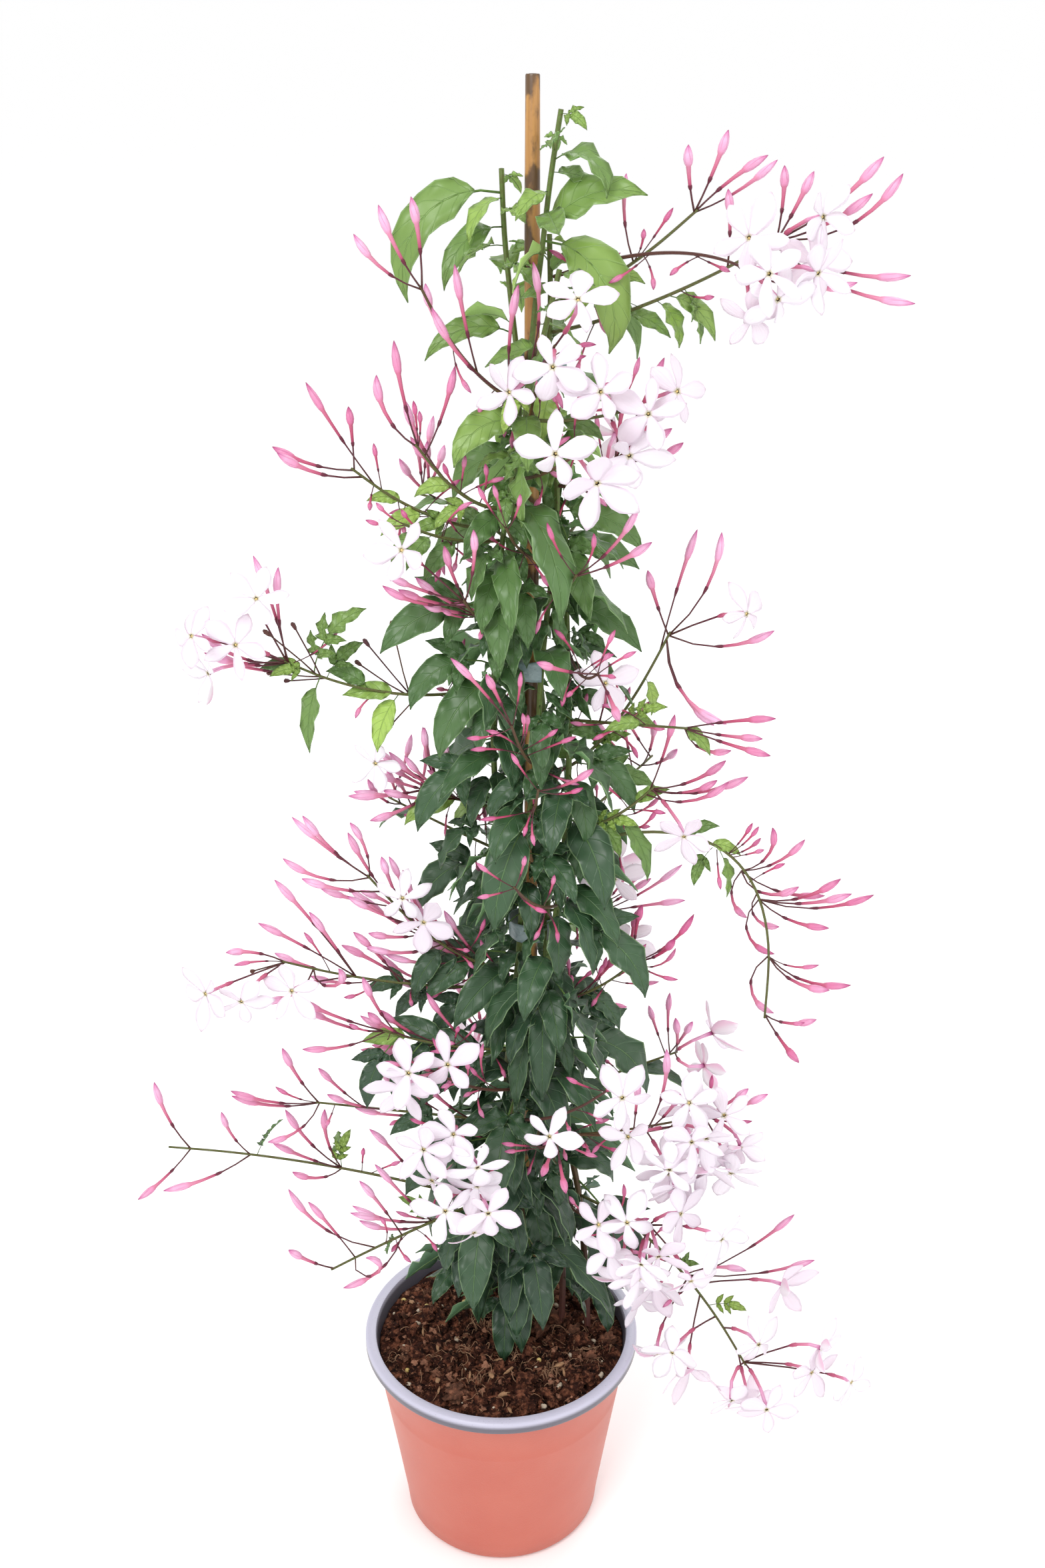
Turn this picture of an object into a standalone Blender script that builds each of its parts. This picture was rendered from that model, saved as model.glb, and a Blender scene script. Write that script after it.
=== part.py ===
# Potted pink jasmine: a climber trained up a bamboo cane in a round plastic pot.
# Metres, +Z up. The origin is the middle of the pot's underside, and the viewer of the
# reference picture stands on the -Y side. Run with blender --background --python part.py
import math
import random

import bmesh
import bpy
from mathutils import Vector
from mathutils.bvhtree import BVHTree
from mathutils.geometry import tessellate_polygon

# Pot and soil
POT_HEIGHT = 0.120
RIM_RADIUS = 0.075
RIM_WIDTH = 0.0045
RIM_DEPTH = 0.006
BASE_RADIUS = 0.053
POT_WALL = 0.0014
POT_STEPS = 32
DRAIN_RADIUS = 0.004
DRAIN_CIRCLE = 0.036
DRAIN_COUNT = 6
SOIL_TOP = 0.107
SOIL_RING_RADII = (0.024, 0.046)
SOIL_RELIEF = 0.0022
GAP = 0.0003

# Cane, ties and vines
CANE = Vector((0.016, 0.015, 0.0))
CANE_RADIUS = 0.0034
CANE_FOOT = 0.012
CANE_TOP = 0.765
CANE_JOINTS = (0.158, 0.300, 0.437, 0.566, 0.683)
CANE_STEPS = 8
TIE_HEIGHTS = (0.365, 0.505, 0.645)
TIE_WIDTH = 0.010
TIE_THICKNESS = 0.0008
TIE_TAIL = 0.012
TIE_KEEP_OUT = 0.008
TIE_START = math.radians(-40)
TIE_TURN = math.radians(336)
TIE_STEPS = 14
VINE_FOOT = 0.072
VINE_RADIUS_LOW = 0.0019
VINE_RADIUS_HIGH = 0.0011
VINE_TWIST = 9.5
VINE_STEP = 0.030
# name, angle round the cane at the soil in degrees, height of its tip, runs outside the ties
VINES = (
    ("vine_left", 190, 0.728, False),
    ("vine_front", 310, 0.752, False),
    ("vine_back", 70, 0.700, False),
    ("vine_outer_left", 140, 0.640, True),
    ("vine_outer_right", 320, 0.690, True),
)
# distance from the cane's axis at each height, inside and outside the ties
TIED_SPREAD = (
    (0.06, 0.024), (0.12, 0.019), (0.25, 0.013), (0.365, 0.008), (0.435, 0.012),
    (0.505, 0.008), (0.575, 0.012), (0.645, 0.008), (0.70, 0.012), (0.80, 0.018),
)
FREE_SPREAD = ((0.06, 0.038), (0.16, 0.030), (0.32, 0.021), (0.50, 0.018), (0.60, 0.022), (0.80, 0.030))

# Leaves, buds and flowers
BLADE = 0.0007
MARGIN = 0.0005
STEM_RADIUS = 0.0009
SHOOT_SIDES = 3
SHORT_BUD = 0.030
FLOWER_TUBE = 0.024
FLOWER_RADIUS = 0.0142
SLENDER = 2
LEAF_SPACING = 0.037
LEAF_TRIES = 16
SHOOT_TRIES = 14
STEM_TRIES = 24
KEPT_AT_JOINS = (0.67, 0.78, 0.90)
SPECK_FACES = 12
STEM_GAP = 0.0004
STEM_MARGIN = 0.0001

# One row for each spray: name, height of its root, sideways bow of its stem (x, y, z) and its tip
# (x, y, z). Then come its leaves, each as (place along the stem from 0 to 1, heading, angle above
# the horizon at its foot and at its tip, roll, length in mm, leaflets), its buds, each as (place
# along the stem, direction at its foot and at its tip, length in mm), and its open flowers, each as
# (place along the stem, direction, distance in mm from there to its throat). Angles are in degrees.
# Buds and flowers point in the upright plane that faces the viewer: 0 is right, 90 up, 180 left.
SPRAYS = (
    ("spray_top_left", 0.633, (-0.004, 0.0, -0.002), (-0.031, -0.012, 0.684),
     (),
     ((1, 160, 115, 36), (1, 125, 108, 39), (1, 88, 104, 38), (0.6, 140, 95, 31), (0.42, 105, 97, 45),
      (0.18, 145, 112, 49), (0.12, 95, 76, 48), (0.08, 55, 103, 59)),
     ()),
    ("spray_left_upper", 0.576, (0.0, 0.0, -0.006), (-0.063, -0.010, 0.606),
     ((0.50, 200, 10, -50, -55, 24, 1),),
     ((1, 182, 146, 37), (0.92, 186, 138, 40), (1, 88, 98, 28), (0.85, 126, 121, 51),
      (0.8, 100, 100, 20)),
     ()),
    ("spray_left_rising", 0.586, (0.0, 0.0, -0.006), (-0.034, -0.020, 0.619),
     (),
     ((1, 152, 90, 35), (1, 112, 95, 45), (1, 92, 96, 22), (0.9, 60, 78, 39)),
     ()),
    ("spray_left_dark", 0.571, (0.0, 0.0, -0.003), (-0.040, -0.024, 0.585),
     ((0.70, 230, -10, -60, -40, 22, 1), (0.40, 200, -20, -70, -50, 26, 1)),
     ((1, 188, 156, 18), (1, 160, 126, 16)),
     ()),
    ("spray_left_pink", 0.523, (0.0, 0.0, -0.003), (-0.014, -0.030, 0.552),
     (),
     ((1, 168, 152, 36), (1, 194, 136, 39), (1, 70, 95, 32), (0.3, 172, 162, 28)),
     ((1, 134, 38),)),
    ("spray_left_branch", 0.495, (0.0, 0.0, -0.014), (-0.098, -0.004, 0.514),
     ((0.83, 180, -65, -95, -60, 40, 2), (0.86, 10, 85, 15, 40, 42, 5), (0.92, 175, 20, -25, -55, 20, 1),
      (0.45, 190, -50, -88, -55, 32, 1), (0.45, 185, 15, -15, -50, 27, 1), (0.42, 5, 30, 10, 45, 20, 1)),
     ((1, 100, 112, 49), (0.98, 108, 86, 45), (1, 192, 133, 42), (1, 196, 150, 39),
      (0.93, 200, 148, 42), (0.97, 16, 50, 27)),
     ((1, 148, 25), (1, 172, 34), (1, 128, 35), (0.97, 158, 42))),
    ("spray_left_pale", 0.427, (0.0, 0.0, -0.004), (-0.032, 0.024, 0.439),
     (),
     ((1, 192, 168, 42), (1, 204, 166, 41), (0.8, 178, 150, 35), (0.6, 152, 122, 44)),
     ((1, 150, 33),)),
    ("spray_left_fan", 0.341, (0.0, 0.0, -0.006), (-0.063, -0.012, 0.407),
     ((0.25, 200, 0, -60, -50, 34, 1), (0.35, 175, -20, -80, -55, 30, 1)),
     ((1, 150, 135, 47), (1, 136, 113, 49), (1, 82, 122, 35), (1, 200, 141, 44), (0.72, 138, 168, 29),
      (0.58, 168, 138, 46), (0.5, 200, 146, 38), (0.5, 210, 172, 40), (0.55, 135, 112, 22),
      (0.42, 132, 115, 25)),
     ()),
    ("spray_far_left", 0.332, (0.0, 0.0, -0.002), (-0.105, -0.022, 0.365),
     (),
     ((1, 150, 188, 30), (1, 165, 190, 25), (0.69, 116, 120, 45), (0.69, 126, 135, 60),
      (0.69, 137, 142, 57), (0.87, -108, -172, 37)),
     ((1, 215, 25), (1, 200, 39))),
    ("spray_left_low", 0.305, (0.0, 0.0, -0.002), (-0.057, -0.026, 0.328),
     ((0.88, 205, -35, -92, -50, 44, 3), (0.80, 180, 15, -25, -55, 26, 1), (0.62, 190, -20, -70, -50, 34, 1),
      (0.40, 200, -10, -60, -50, 36, 1)),
     ((1, 162, 146, 48), (1, 194, 148, 44), (1, 208, 168, 42), (1, 168, 138, 21), (0.95, -95, -178, 23)),
     ()),
    ("spray_left_lower", 0.260, (0.0, 0.0, 0.004), (-0.094, -0.012, 0.276),
     (),
     ((1, 125, 106, 37), (1, 182, 145, 45), (1, 192, 153, 45), (1, 178, 140, 24), (0.98, -108, -178, 36)),
     ()),
    ("shoot_long_left", 0.205, (0.0, 0.0, 0.020), (-0.174, -0.002, 0.241),
     (),
     ((0.93, 130, 98, 42), (0.93, 232, 212, 39), (0.74, 132, 98, 32), (0.74, 217, 188, 50),
      (0.45, 138, 112, 48), (0.45, 155, 138, 42), (0.45, 125, 82, 34), (0.45, 225, 140, 29)),
     ()),
    ("spray_lower_left", 0.204, (0.0, 0.0, 0.006), (-0.085, -0.056, 0.205),
     (),
     ((1, 154, 126, 28), (0.85, 124, 134, 37), (0.72, 184, 116, 56), (0.85, -122, 182, 36),
      (0.55, 110, 119, 48), (0.55, -103, -166, 48), (0.35, 176, 154, 45), (0.35, 200, 151, 43),
      (0.35, 134, 127, 46)),
     ()),
    ("spray_top_right", 0.664, (0.0, 0.0, 0.002), (0.117, -0.020, 0.704),
     ((0.55, 0, -10, -75, 45, 30, 1), (0.50, 0, -30, -95, 45, 24, 1), (0.35, 0, -5, -50, 45, 24, 1)),
     ((0.8, 84, 96, 31), (1, 80, 92, 29), (1, 56, 64, 30), (1, -6, 62, 58), (1, 12, 40, 44),
      (1, 24, 52, 53), (1, -34, 10, 58), (0.97, -40, 0, 65)),
     ((1, -24, 14), (1, 40, 19))),
    ("spray_top_right_upper", 0.673, (0.0, 0.0, -0.006), (0.084, -0.008, 0.714),
     ((0.35, 0, 40, -40, 45, 22, 1), (0.45, 200, -20, -60, -50, 28, 1)),
     ((1, 10, 34, 42), (1, 46, 30, 38), (1, 104, 90, 27), (0.6, 112, 80, 35), (1, 62, 74, 34)),
     ()),
    ("spray_top_right_low", 0.653, (0.0, 0.0, 0.006), (0.105, -0.036, 0.693),
     (),
     ((1, -28, 14, 48), (0.9, -62, 78, 25)),
     ((1, 40, 5), (1, -45, 11), (1, 20, 25))),
    ("spray_crown_front", 0.649, (0.0, 0.0, 0.0), (0.025, -0.036, 0.664),
     (),
     (),
     ((1, 66, 23), (0.8, 218, 22), (1, -100, 4))),
    ("spray_crown_right", 0.621, (0.0, 0.0, 0.0), (0.052, -0.034, 0.636),
     (),
     ((1, 60, 80, 26),),
     ((1, 119, 15), (1, 25, 27), (1, 5, 13))),
    ("spray_crown_low", 0.600, (0.0, 0.0, 0.0), (0.035, -0.042, 0.621),
     (),
     ((1, 100, 70, 26),),
     ((1, -37, 10), (1, 153, 10))),
    ("spray_right_buds", 0.592, (0.0, 0.0, -0.004), (0.053, -0.012, 0.611),
     (),
     ((1, 22, 38, 29), (1, 46, 58, 33), (1, 66, 68, 49), (1, 88, 82, 32), (1, -10, 42, 32),
      (0.8, 104, 94, 24)),
     ()),
    ("shoot_right_upper", 0.423, (-0.004, 0.0, -0.012), (0.080, 0.002, 0.526),
     ((0.18, 0, -5, -30, 50, 42, 5), (0.25, 180, 30, -10, -50, 20, 1), (0.80, 0, -60, -100, 45, 20, 1)),
     ((1, 112, 104, 31), (0.92, 78, 70, 59), (1, 46, 90, 58), (1, -27, 30, 51), (0.97, -94, -14, 51),
      (0.97, -88, -34, 52)),
     ((1, 24, 37),)),
    ("spray_right_mid", 0.477, (0.0, 0.0, 0.004), (0.086, -0.034, 0.493),
     ((0.95, 0, -20, -70, 45, 20, 1),),
     ((1, 8, -3, 43), (1, -14, -2, 36), (1, -76, 14, 29)),
     ()),
    ("buds_front_right", 0.485, (0.0, 0.0, 0.0), (0.045, -0.046, 0.524),
     (),
     ((1, 178, 150, 29), (1, -62, -72, 27), (1, 42, 25, 20), (1, 78, 60, 20)),
     ()),
    ("spray_right_low_mid", 0.423, (0.0, 0.0, -0.003), (0.074, -0.010, 0.453),
     ((0.55, 0, -40, -95, 45, 42, 2), (0.35, 0, -30, -80, 45, 24, 1)),
     ((1, -2, 46, 38), (1, -12, 42, 33), (0.95, -14, 30, 48), (0.95, 68, 80, 38), (0.9, -22, 55, 42)),
     ((1, -53, 25),)),
    ("raceme_right", 0.415, (0.060, 0.0, 0.062), (0.131, -0.024, 0.334),
     ((0.45, 0, -60, -100, 45, 26, 2), (0.40, 0, 10, -50, 45, 18, 1)),
     ((1, -62, -50, 35), (1, -35, 22, 20), (1, -44, 16, 29), (0.85, -40, 22, 26), (0.85, -52, 8, 47),
      (0.85, -62, 2, 38), (0.85, 222, 335, 45), (0.68, -8, 34, 45), (0.68, -26, 22, 60),
      (0.68, -48, 2, 38), (0.68, 232, 342, 45), (0.56, 238, 318, 35), (0.56, -48, -3, 48),
      (0.56, -72, 40, 38), (0.56, -5, 52, 36), (0.56, 14, 112, 32)),
     ()),
    ("spray_right_dark", 0.323, (0.0, 0.0, -0.003), (0.069, 0.0, 0.353),
     (),
     ((1, 94, 74, 31), (1, 8, 64, 38), (1, -52, 74, 26), (0.6, 110, 96, 26)),
     ()),
    ("spray_right_pale", 0.368, (0.0, 0.0, 0.0), (0.051, 0.028, 0.364),
     (),
     ((1, 14, 37, 50), (1, 2, -2, 47), (1, 30, 26, 31)),
     ((1, 107, 37), (1, 72, 26))),
    ("bunch_low_right", 0.243, (0.0, 0.0, 0.006), (0.085, -0.058, 0.294),
     (),
     ((0.8, 60, 94, 42), (0.8, 48, 72, 31), (0.7, 84, 90, 28)),
     ((1, 172, 22), (1, 39, 10), (1, -116, 7), (0.85, 150, 10), (1, 0, 16), (1, -30, 24), (1, -80, 26),
      (1, -85, 16))),
    ("bunch_low_right_far", 0.248, (0.0, 0.0, 0.006), (0.104, -0.030, 0.281),
     (),
     ((1, 74, 92, 26), (1, 4, 30, 35), (1, 30, 50, 28), (1, -22, 18, 25)),
     ((1, -62, 29), (1, 58, 15), (1, -45, 17))),
    ("bunch_low_right_under", 0.189, (0.0, 0.0, 0.006), (0.075, -0.066, 0.241),
     (),
     ((0.8, -80, -100, 30),),
     ((1, 132, 18), (1, 170, 22), (0.9, -163, 15), (1, -139, 7), (1, -66, 9), (0.9, -128, 20),
      (1, -85, 17), (1, -50, 32), (1, -25, 35), (1, -9, 15), (1, -50, 17))),
    ("shoot_low_right", 0.199, (0.004, 0.0, 0.014), (0.129, -0.050, 0.137),
     ((0.75, 0, 20, -40, 45, 26, 1),),
     ((0.6, -4, 28, 71), (0.6, 32, -22, 34), (0.62, 20, 42, 68)),
     ((0.45, -113, 27), (0.62, -111, 43), (0.7, -97, 42), (0.85, 17, 17), (0.65, 11, 47), (1, 4, 34),
      (1, -4, 55), (1, -125, 13), (1, 28, 42), (1, -45, 14))),
    ("bunch_low_left", 0.224, (0.0, 0.0, 0.002), (-0.020, -0.080, 0.310),
     (),
     ((1, 190, 160, 22),),
     ((1, 174, 14), (1, 85, 8), (1, -8, 10), (1, -126, 13))),
    ("bunch_low_front", 0.194, (0.0, 0.0, 0.002), (-0.016, -0.078, 0.271),
     (),
     (),
     ((1, 165, 9), (1, 23, 11), (1, 97, 12))),
    ("spray_front_left", 0.282, (0.0, 0.0, 0.004), (-0.030, -0.072, 0.335),
     (),
     ((0.7, 122, 118, 27), (1, 182, 172, 24), (1, 150, 130, 21)),
     ((1, 133, 16), (1, 60, 13))),
    ("spray_front_single", 0.263, (0.0, 0.0, 0.002), (0.052, -0.066, 0.320),
     (),
     ((1, 175, 150, 20),),
     ((1, 56, 12),)),
    ("buds_front_low", 0.229, (0.0, 0.0, 0.002), (0.028, -0.080, 0.304),
     (),
     ((1, -100, -106, 30), (1, -84, -78, 29), (1, -45, -10, 23), (0.7, 176, 164, 22),
      (0.7, 200, 182, 20)),
     ((1, 105, 14),)),
    ("buds_front_mid", 0.385, (0.0, 0.0, 0.002), (0.008, -0.064, 0.428),
     (),
     ((1, 150, 138, 22), (1, 195, 180, 17), (1, -60, -8, 18), (1, 66, 84, 18)),
     ()),
    ("buds_front_upper", 0.459, (0.0, 0.0, 0.002), (0.007, -0.048, 0.500),
     (),
     ((1, 216, 180, 22), (1, 126, 134, 41), (1, 112, 116, 27), (1, 76, 88, 24)),
     ()),
    ("buds_core", 0.435, (0.0, 0.0, 0.0), (0.019, -0.046, 0.468),
     (),
     ((1, 14, 46, 29), (1, -18, 34, 21), (1, 128, 118, 23)),
     ()),
    ("buds_upper_front", 0.565, (0.0, 0.0, 0.0), (0.005, -0.038, 0.587),
     (),
     ((1, 108, 104, 22), (1, 132, 114, 22), (1, 56, 86, 18)),
     ()),
    ("buds_upper_right", 0.543, (0.0, 0.0, 0.0), (0.035, -0.040, 0.567),
     (),
     ((1, 12, 36, 37), (1, 44, 96, 22), (1, 132, 106, 26), (1, 26, 66, 41)),
     ()),
)
# The side that the picture doesn't show: angle round the cane in degrees, height, reach, flowers
BACK_SPRAYS = (
    (20, 0.250, 0.085, 3), (65, 0.310, 0.100, 1), (110, 0.235, 0.085, 3), (155, 0.400, 0.080, 0),
    (45, 0.410, 0.090, 0), (100, 0.460, 0.085, 2), (140, 0.555, 0.070, 0), (60, 0.560, 0.075, 1),
)
BACK_BUDS = 5
# Large leaves placed one by one: height on the vine, heading in degrees, start and end
# angle of the blade above the horizon in degrees, roll in degrees, length, leaflets (SLENDER
# stands for one narrow leaflet)
PLACED_LEAVES = (
    (0.718, 184, 15, -110, -62, 0.075, 2), (0.703, -6, 60, -20, 48, 0.050, 1),
    (0.700, -22, 0, -112, 45, 0.064, 1), (0.704, 215, 10, -85, -40, 0.044, 2),
    (0.676, 4, 20, -95, 40, 0.058, 2), (0.582, -58, 10, -95, 10, 0.088, 2),
    (0.658, 186, 30, -60, -55, 0.046, 2), (0.640, 20, 10, -70, 40, 0.042, 1),
    (0.625, 200, 25, -80, -50, 0.042, 1), (0.602, 165, 10, -80, -60, 0.044, 1),
    (0.585, 200, 10, -70, -50, 0.040, 1), (0.590, -25, 65, 25, 35, 0.038, 1),
    (0.580, -12, 15, -60, 42, 0.046, 1), (0.560, 2, 5, -45, 45, 0.040, 1),
    (0.553, 240, -10, -85, -30, 0.040, 1), (0.548, 0, -30, -85, 45, 0.038, 2),
    (0.537, 195, 20, -55, -55, 0.062, 3), (0.532, -20, 0, -55, 40, 0.044, 1),
    (0.525, 285, -45, -88, 10, 0.040, 2), (0.500, 215, -10, -85, -40, 0.050, 1),
    (0.500, 185, 15, -75, -50, 0.066, 3), (0.478, 250, -30, -90, -20, 0.048, 1),
    (0.470, 0, 10, -80, 45, 0.060, 3), (0.455, 200, 0, -80, -50, 0.056, 3),
    (0.430, 230, -35, -92, -35, 0.060, 1), (0.430, -60, 0, -90, 20, 0.056, 1),
    (0.400, 185, 5, -75, -50, 0.064, 3), (0.380, 245, -45, -92, -25, 0.046, 1),
    (0.375, -20, 15, -85, 35, 0.066, 3), (0.345, 215, 0, -60, -50, 0.050, 1),
    (0.345, 190, 15, -85, -50, 0.072, 3), (0.340, 270, -45, -94, 0, 0.060, 2),
    (0.300, 10, 15, -85, 45, 0.076, 3), (0.290, 200, 10, -72, -45, 0.072, 5),
    (0.280, -110, 15, -95, -10, 0.072, 3), (0.250, 190, 10, -70, -50, 0.066, 3),
    (0.215, -100, 5, -92, -5, 0.072, 3), (0.190, -75, 0, -85, 8, 0.062, 3),
)


def clear_scene():
    for item in list(bpy.data.objects):
        bpy.data.objects.remove(item)


def between(table, at):
    """The value of a (place, value) table at one place, eased from row to row."""
    if at <= table[0][0]:
        return table[0][1]
    for (low, first), (high, second) in zip(table, table[1:]):
        if at <= high:
            share = (at - low) / (high - low)
            return first + (second - first) * share * share * (3 - 2 * share)
    return table[-1][1]


# Layout of the stems


def heading_vector(angle):
    return Vector((math.cos(angle), math.sin(angle), 0.0))


def vine_radius(height):
    share = min(1.0, max(0.0, (height - VINE_FOOT) / (CANE_TOP - VINE_FOOT)))
    return VINE_RADIUS_LOW + (VINE_RADIUS_HIGH - VINE_RADIUS_LOW) * share


def vine_point(vine, height):
    """Centre of a vine's stem at a height. All vines turn alike, so they never meet."""
    _, angle, _, free = vine
    turned = math.radians(angle) + VINE_TWIST * (height - VINE_FOOT)
    spread = between(FREE_SPREAD if free else TIED_SPREAD, height)
    return CANE + heading_vector(turned) * spread + Vector((0, 0, height))


def tie_path(height):
    """Middle line of a tie: its free end, then almost a full turn round the tied stems."""
    radius = between(TIED_SPREAD, height) + vine_radius(height) + 3 * GAP + TIE_THICKNESS / 2
    middle = CANE + Vector((0, 0, height))
    turns = [TIE_START + TIE_TURN * step / TIE_STEPS for step in range(TIE_STEPS + 1)]
    ring = [middle + heading_vector(turn) * radius for turn in turns]
    tail = ring[0] + heading_vector(TIE_START) * TIE_TAIL + heading_vector(TIE_START - math.pi / 2) * 0.004
    return [tail] + ring


def clear_of_ties(vine, height):
    """The nearest height at which something can leave this vine past the ties."""
    if vine[3]:
        return height
    for tie in TIE_HEIGHTS:
        if abs(height - tie) < TIE_KEEP_OUT:
            return tie + (TIE_KEEP_OUT if height >= tie else -TIE_KEEP_OUT)
    return height


def outermost_vine(height, toward):
    """The vine that stands furthest out in this direction at this height."""
    alive = [vine for vine in VINES if vine[2] > height + 0.006]
    return max(alive, key=lambda vine: (vine_point(vine, height) - CANE).dot(toward))


# Shapes of leaves and flowers, flat


def leaflets_of(count):
    """Leaflets as (place of the foot, angle in degrees, length, half width), in leaf lengths."""
    if count == 1:
        return [(0.13, 0, 0.87, 0.155)]
    if count == SLENDER:
        return [(0.16, 0, 0.84, 0.115)]
    if count == 3:
        return [(0.27, 50, 0.38, 0.070), (0.27, -50, 0.38, 0.070), (0.36, 0, 0.64, 0.120)]
    return [
        (0.22, 54, 0.29, 0.060), (0.22, -54, 0.29, 0.060),
        (0.40, 48, 0.31, 0.064), (0.40, -48, 0.31, 0.064), (0.50, 0, 0.50, 0.105),
    ]


def leaf_outline(leaf):
    """One outline round a whole leaf, cut in to the rib between its leaflets."""
    length, rib = leaf["length"], 0.0006
    side = [(0.0, rib)]
    for foot, angle, long, half in leaflets_of(leaf["leaflets"]):
        turn = math.radians(angle)
        along, across = Vector((math.cos(turn), math.sin(turn))), Vector((-math.sin(turn), math.cos(turn)))
        start = Vector((foot, 0.0))
        if angle > 0:
            side.append(((foot - 0.02) * length, rib))
            for reach, wide in ((0.38, half), (1.0, 0.0), (0.46, -half)):
                place = (start + along * long * reach + across * wide) * length
                side.append((place.x, place.y))
            side.append(((foot + 0.03) * length, rib))
        elif angle == 0:
            for reach, wide in ((0.02, 0.0), (0.28, 0.9), (0.52, 0.85), (0.80, 0.34)):
                side.append(((foot + long * reach) * length, max(rib, half * wide * length)))
    return side + [(length, 0.0)] + [(x, -y) for x, y in reversed(side)]


def leaf_place(leaf, x, y, lift=0.0):
    """Where a point of the flat leaf lies: its midrib bends along an arc, and it folds up from the rib."""
    start, bend = leaf["rise"], (leaf["fall"] - leaf["rise"]) / leaf["length"]
    angle = start + bend * x
    run = (math.sin(angle) - math.sin(start)) / bend
    climb = (math.cos(start) - math.cos(angle)) / bend
    out = heading_vector(leaf["heading"])
    across = Vector((-out.y, out.x, 0.0))
    normal = out * -math.sin(angle) + Vector((0, 0, math.cos(angle)))
    roll = leaf["roll"] * min(1.0, x / (0.3 * leaf["length"]))
    side = across * math.cos(roll) + normal * math.sin(roll)
    top = normal * math.cos(roll) - across * math.sin(roll)
    middle = leaf["origin"] + out * run + Vector((0, 0, climb))
    return middle + side * y + top * (abs(y) * leaf["fold"] + lift)


def star_outline(star):
    """Five petals round the throat, each with a foot and two shoulders."""
    outline = []
    for petal in range(5):
        for turn, reach in ((-36, 0.28), (-18, 0.90), (16, 0.97)):
            angle = math.radians(72 * petal + turn)
            reach *= star["radius"]
            outline.append((math.cos(angle) * reach, math.sin(angle) * reach))
    return outline


def star_place(star, x, y, lift=0.0):
    """Where a point of the flat flower lies, with its petals curved by the square of the radius."""
    along, across = star["axes"]
    curve = star["cup"] * (x * x + y * y) / star["radius"]
    return star["centre"] + along * x + across * y + star["facing"] * (curve + lift)


# Clearance: each piece is laid out only where it misses the pieces of all other nodes

placed = []


def axes_across(direction):
    reference = Vector((0, 0, 1)) if abs(direction.z) < 0.9 else Vector((1, 0, 0))
    side = direction.cross(reference).normalized()
    return side, side.cross(direction).normalized()


def tube_hull(points, radii, margin=MARGIN, sides=4):
    corners, faces = [], []
    for index, point in enumerate(points):
        ahead, behind = points[min(index + 1, len(points) - 1)], points[max(index - 1, 0)]
        side, up = axes_across((ahead - behind).normalized())
        reach = radii[index] + margin
        for turn in range(sides):
            angle = math.tau * turn / sides
            corners.append(point + (side * math.cos(angle) + up * math.sin(angle)) * reach)
            if index:
                low, high = sides * (index - 1), sides * index
                ahead_turn = (turn + 1) % sides
                faces.append((low + turn, low + ahead_turn, high + ahead_turn, high + turn))
    last = sides * (len(points) - 1)
    faces += [tuple(range(sides)), tuple(range(last, last + sides))]
    return corners, faces


def sheet_hull(outline, place, margin=BLADE / 2 + MARGIN):
    flat = [Vector((x, y, 0.0)) for x, y in outline]
    triangles = tessellate_polygon([flat])
    count = len(outline)
    corners = [place(x, y, margin) for x, y in outline] + [place(x, y, -margin) for x, y in outline]
    faces = [tuple(t) for t in triangles] + [tuple(count + i for i in t) for t in triangles]
    for index in range(count):
        ahead = (index + 1) % count
        faces.append((index, ahead, count + ahead, count + index))
    return corners, faces


def leaf_hull(leaf):
    return sheet_hull(leaf_outline(leaf), lambda x, y, lift: leaf_place(leaf, x, y, lift))


def star_hull(star):
    return sheet_hull(star_outline(star), lambda x, y, lift: star_place(star, x, y, lift))


def as_obstacle(hull, owner):
    corners, faces = hull
    low = Vector(min(c[axis] for c in corners) for axis in range(3))
    high = Vector(max(c[axis] for c in corners) for axis in range(3))
    return {"tree": BVHTree.FromPolygons(corners, faces), "low": low, "high": high, "owner": owner}


def is_clear(obstacle, ignore=()):
    low, high = obstacle["low"], obstacle["high"]
    for other in placed:
        if other["owner"] in ignore:
            continue
        a, b = other["low"], other["high"]
        if a.x > high.x or b.x < low.x or a.y > high.y or b.y < low.y or a.z > high.z or b.z < low.z:
            continue
        if obstacle["tree"].overlap(other["tree"]):
            return False
    return True


def block_fixed_parts():
    """The cane, the ties, the pot's rim and the soil, as closed hulls that nothing may cross."""
    cane = [CANE + Vector((0, 0, CANE_FOOT)), CANE + Vector((0, 0, CANE_TOP))]
    placed.append(as_obstacle(tube_hull(cane, [CANE_RADIUS * 1.4] * 2), "cane"))
    for height in TIE_HEIGHTS:
        reach = TIE_WIDTH / 2 + 0.001
        ends = [CANE + Vector((0, 0, height - reach)), CANE + Vector((0, 0, height + reach))]
        placed.append(as_obstacle(tube_hull(ends, [0.0155] * 2), "tie"))
        tail, root = tie_path(height)[:2]
        placed.append(as_obstacle(tube_hull([tail, root], [TIE_WIDTH * 0.75] * 2), "tie"))
    ring = [heading_vector(math.tau * step / 16) for step in range(16)]
    lid = [d * 0.0705 + Vector((0, 0, SOIL_TOP + SOIL_RELIEF + 0.002)) for d in ring]
    placed.append(as_obstacle((lid, [tuple(range(16))]), "soil"))
    levels = ((0.0785, 0.02), (0.0785, POT_HEIGHT + 0.001), (0.0690, POT_HEIGHT + 0.001), (0.0690, 0.09))
    corners = [d * r + Vector((0, 0, z)) for r, z in levels for d in ring]
    faces = [
        (16 * row + step, 16 * row + (step + 1) % 16, 16 * row + 16 + (step + 1) % 16, 16 * row + 16 + step)
        for row in range(3)
        for step in range(16)
    ]
    placed.append(as_obstacle((corners, faces), "pot"))


# Growth


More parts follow.
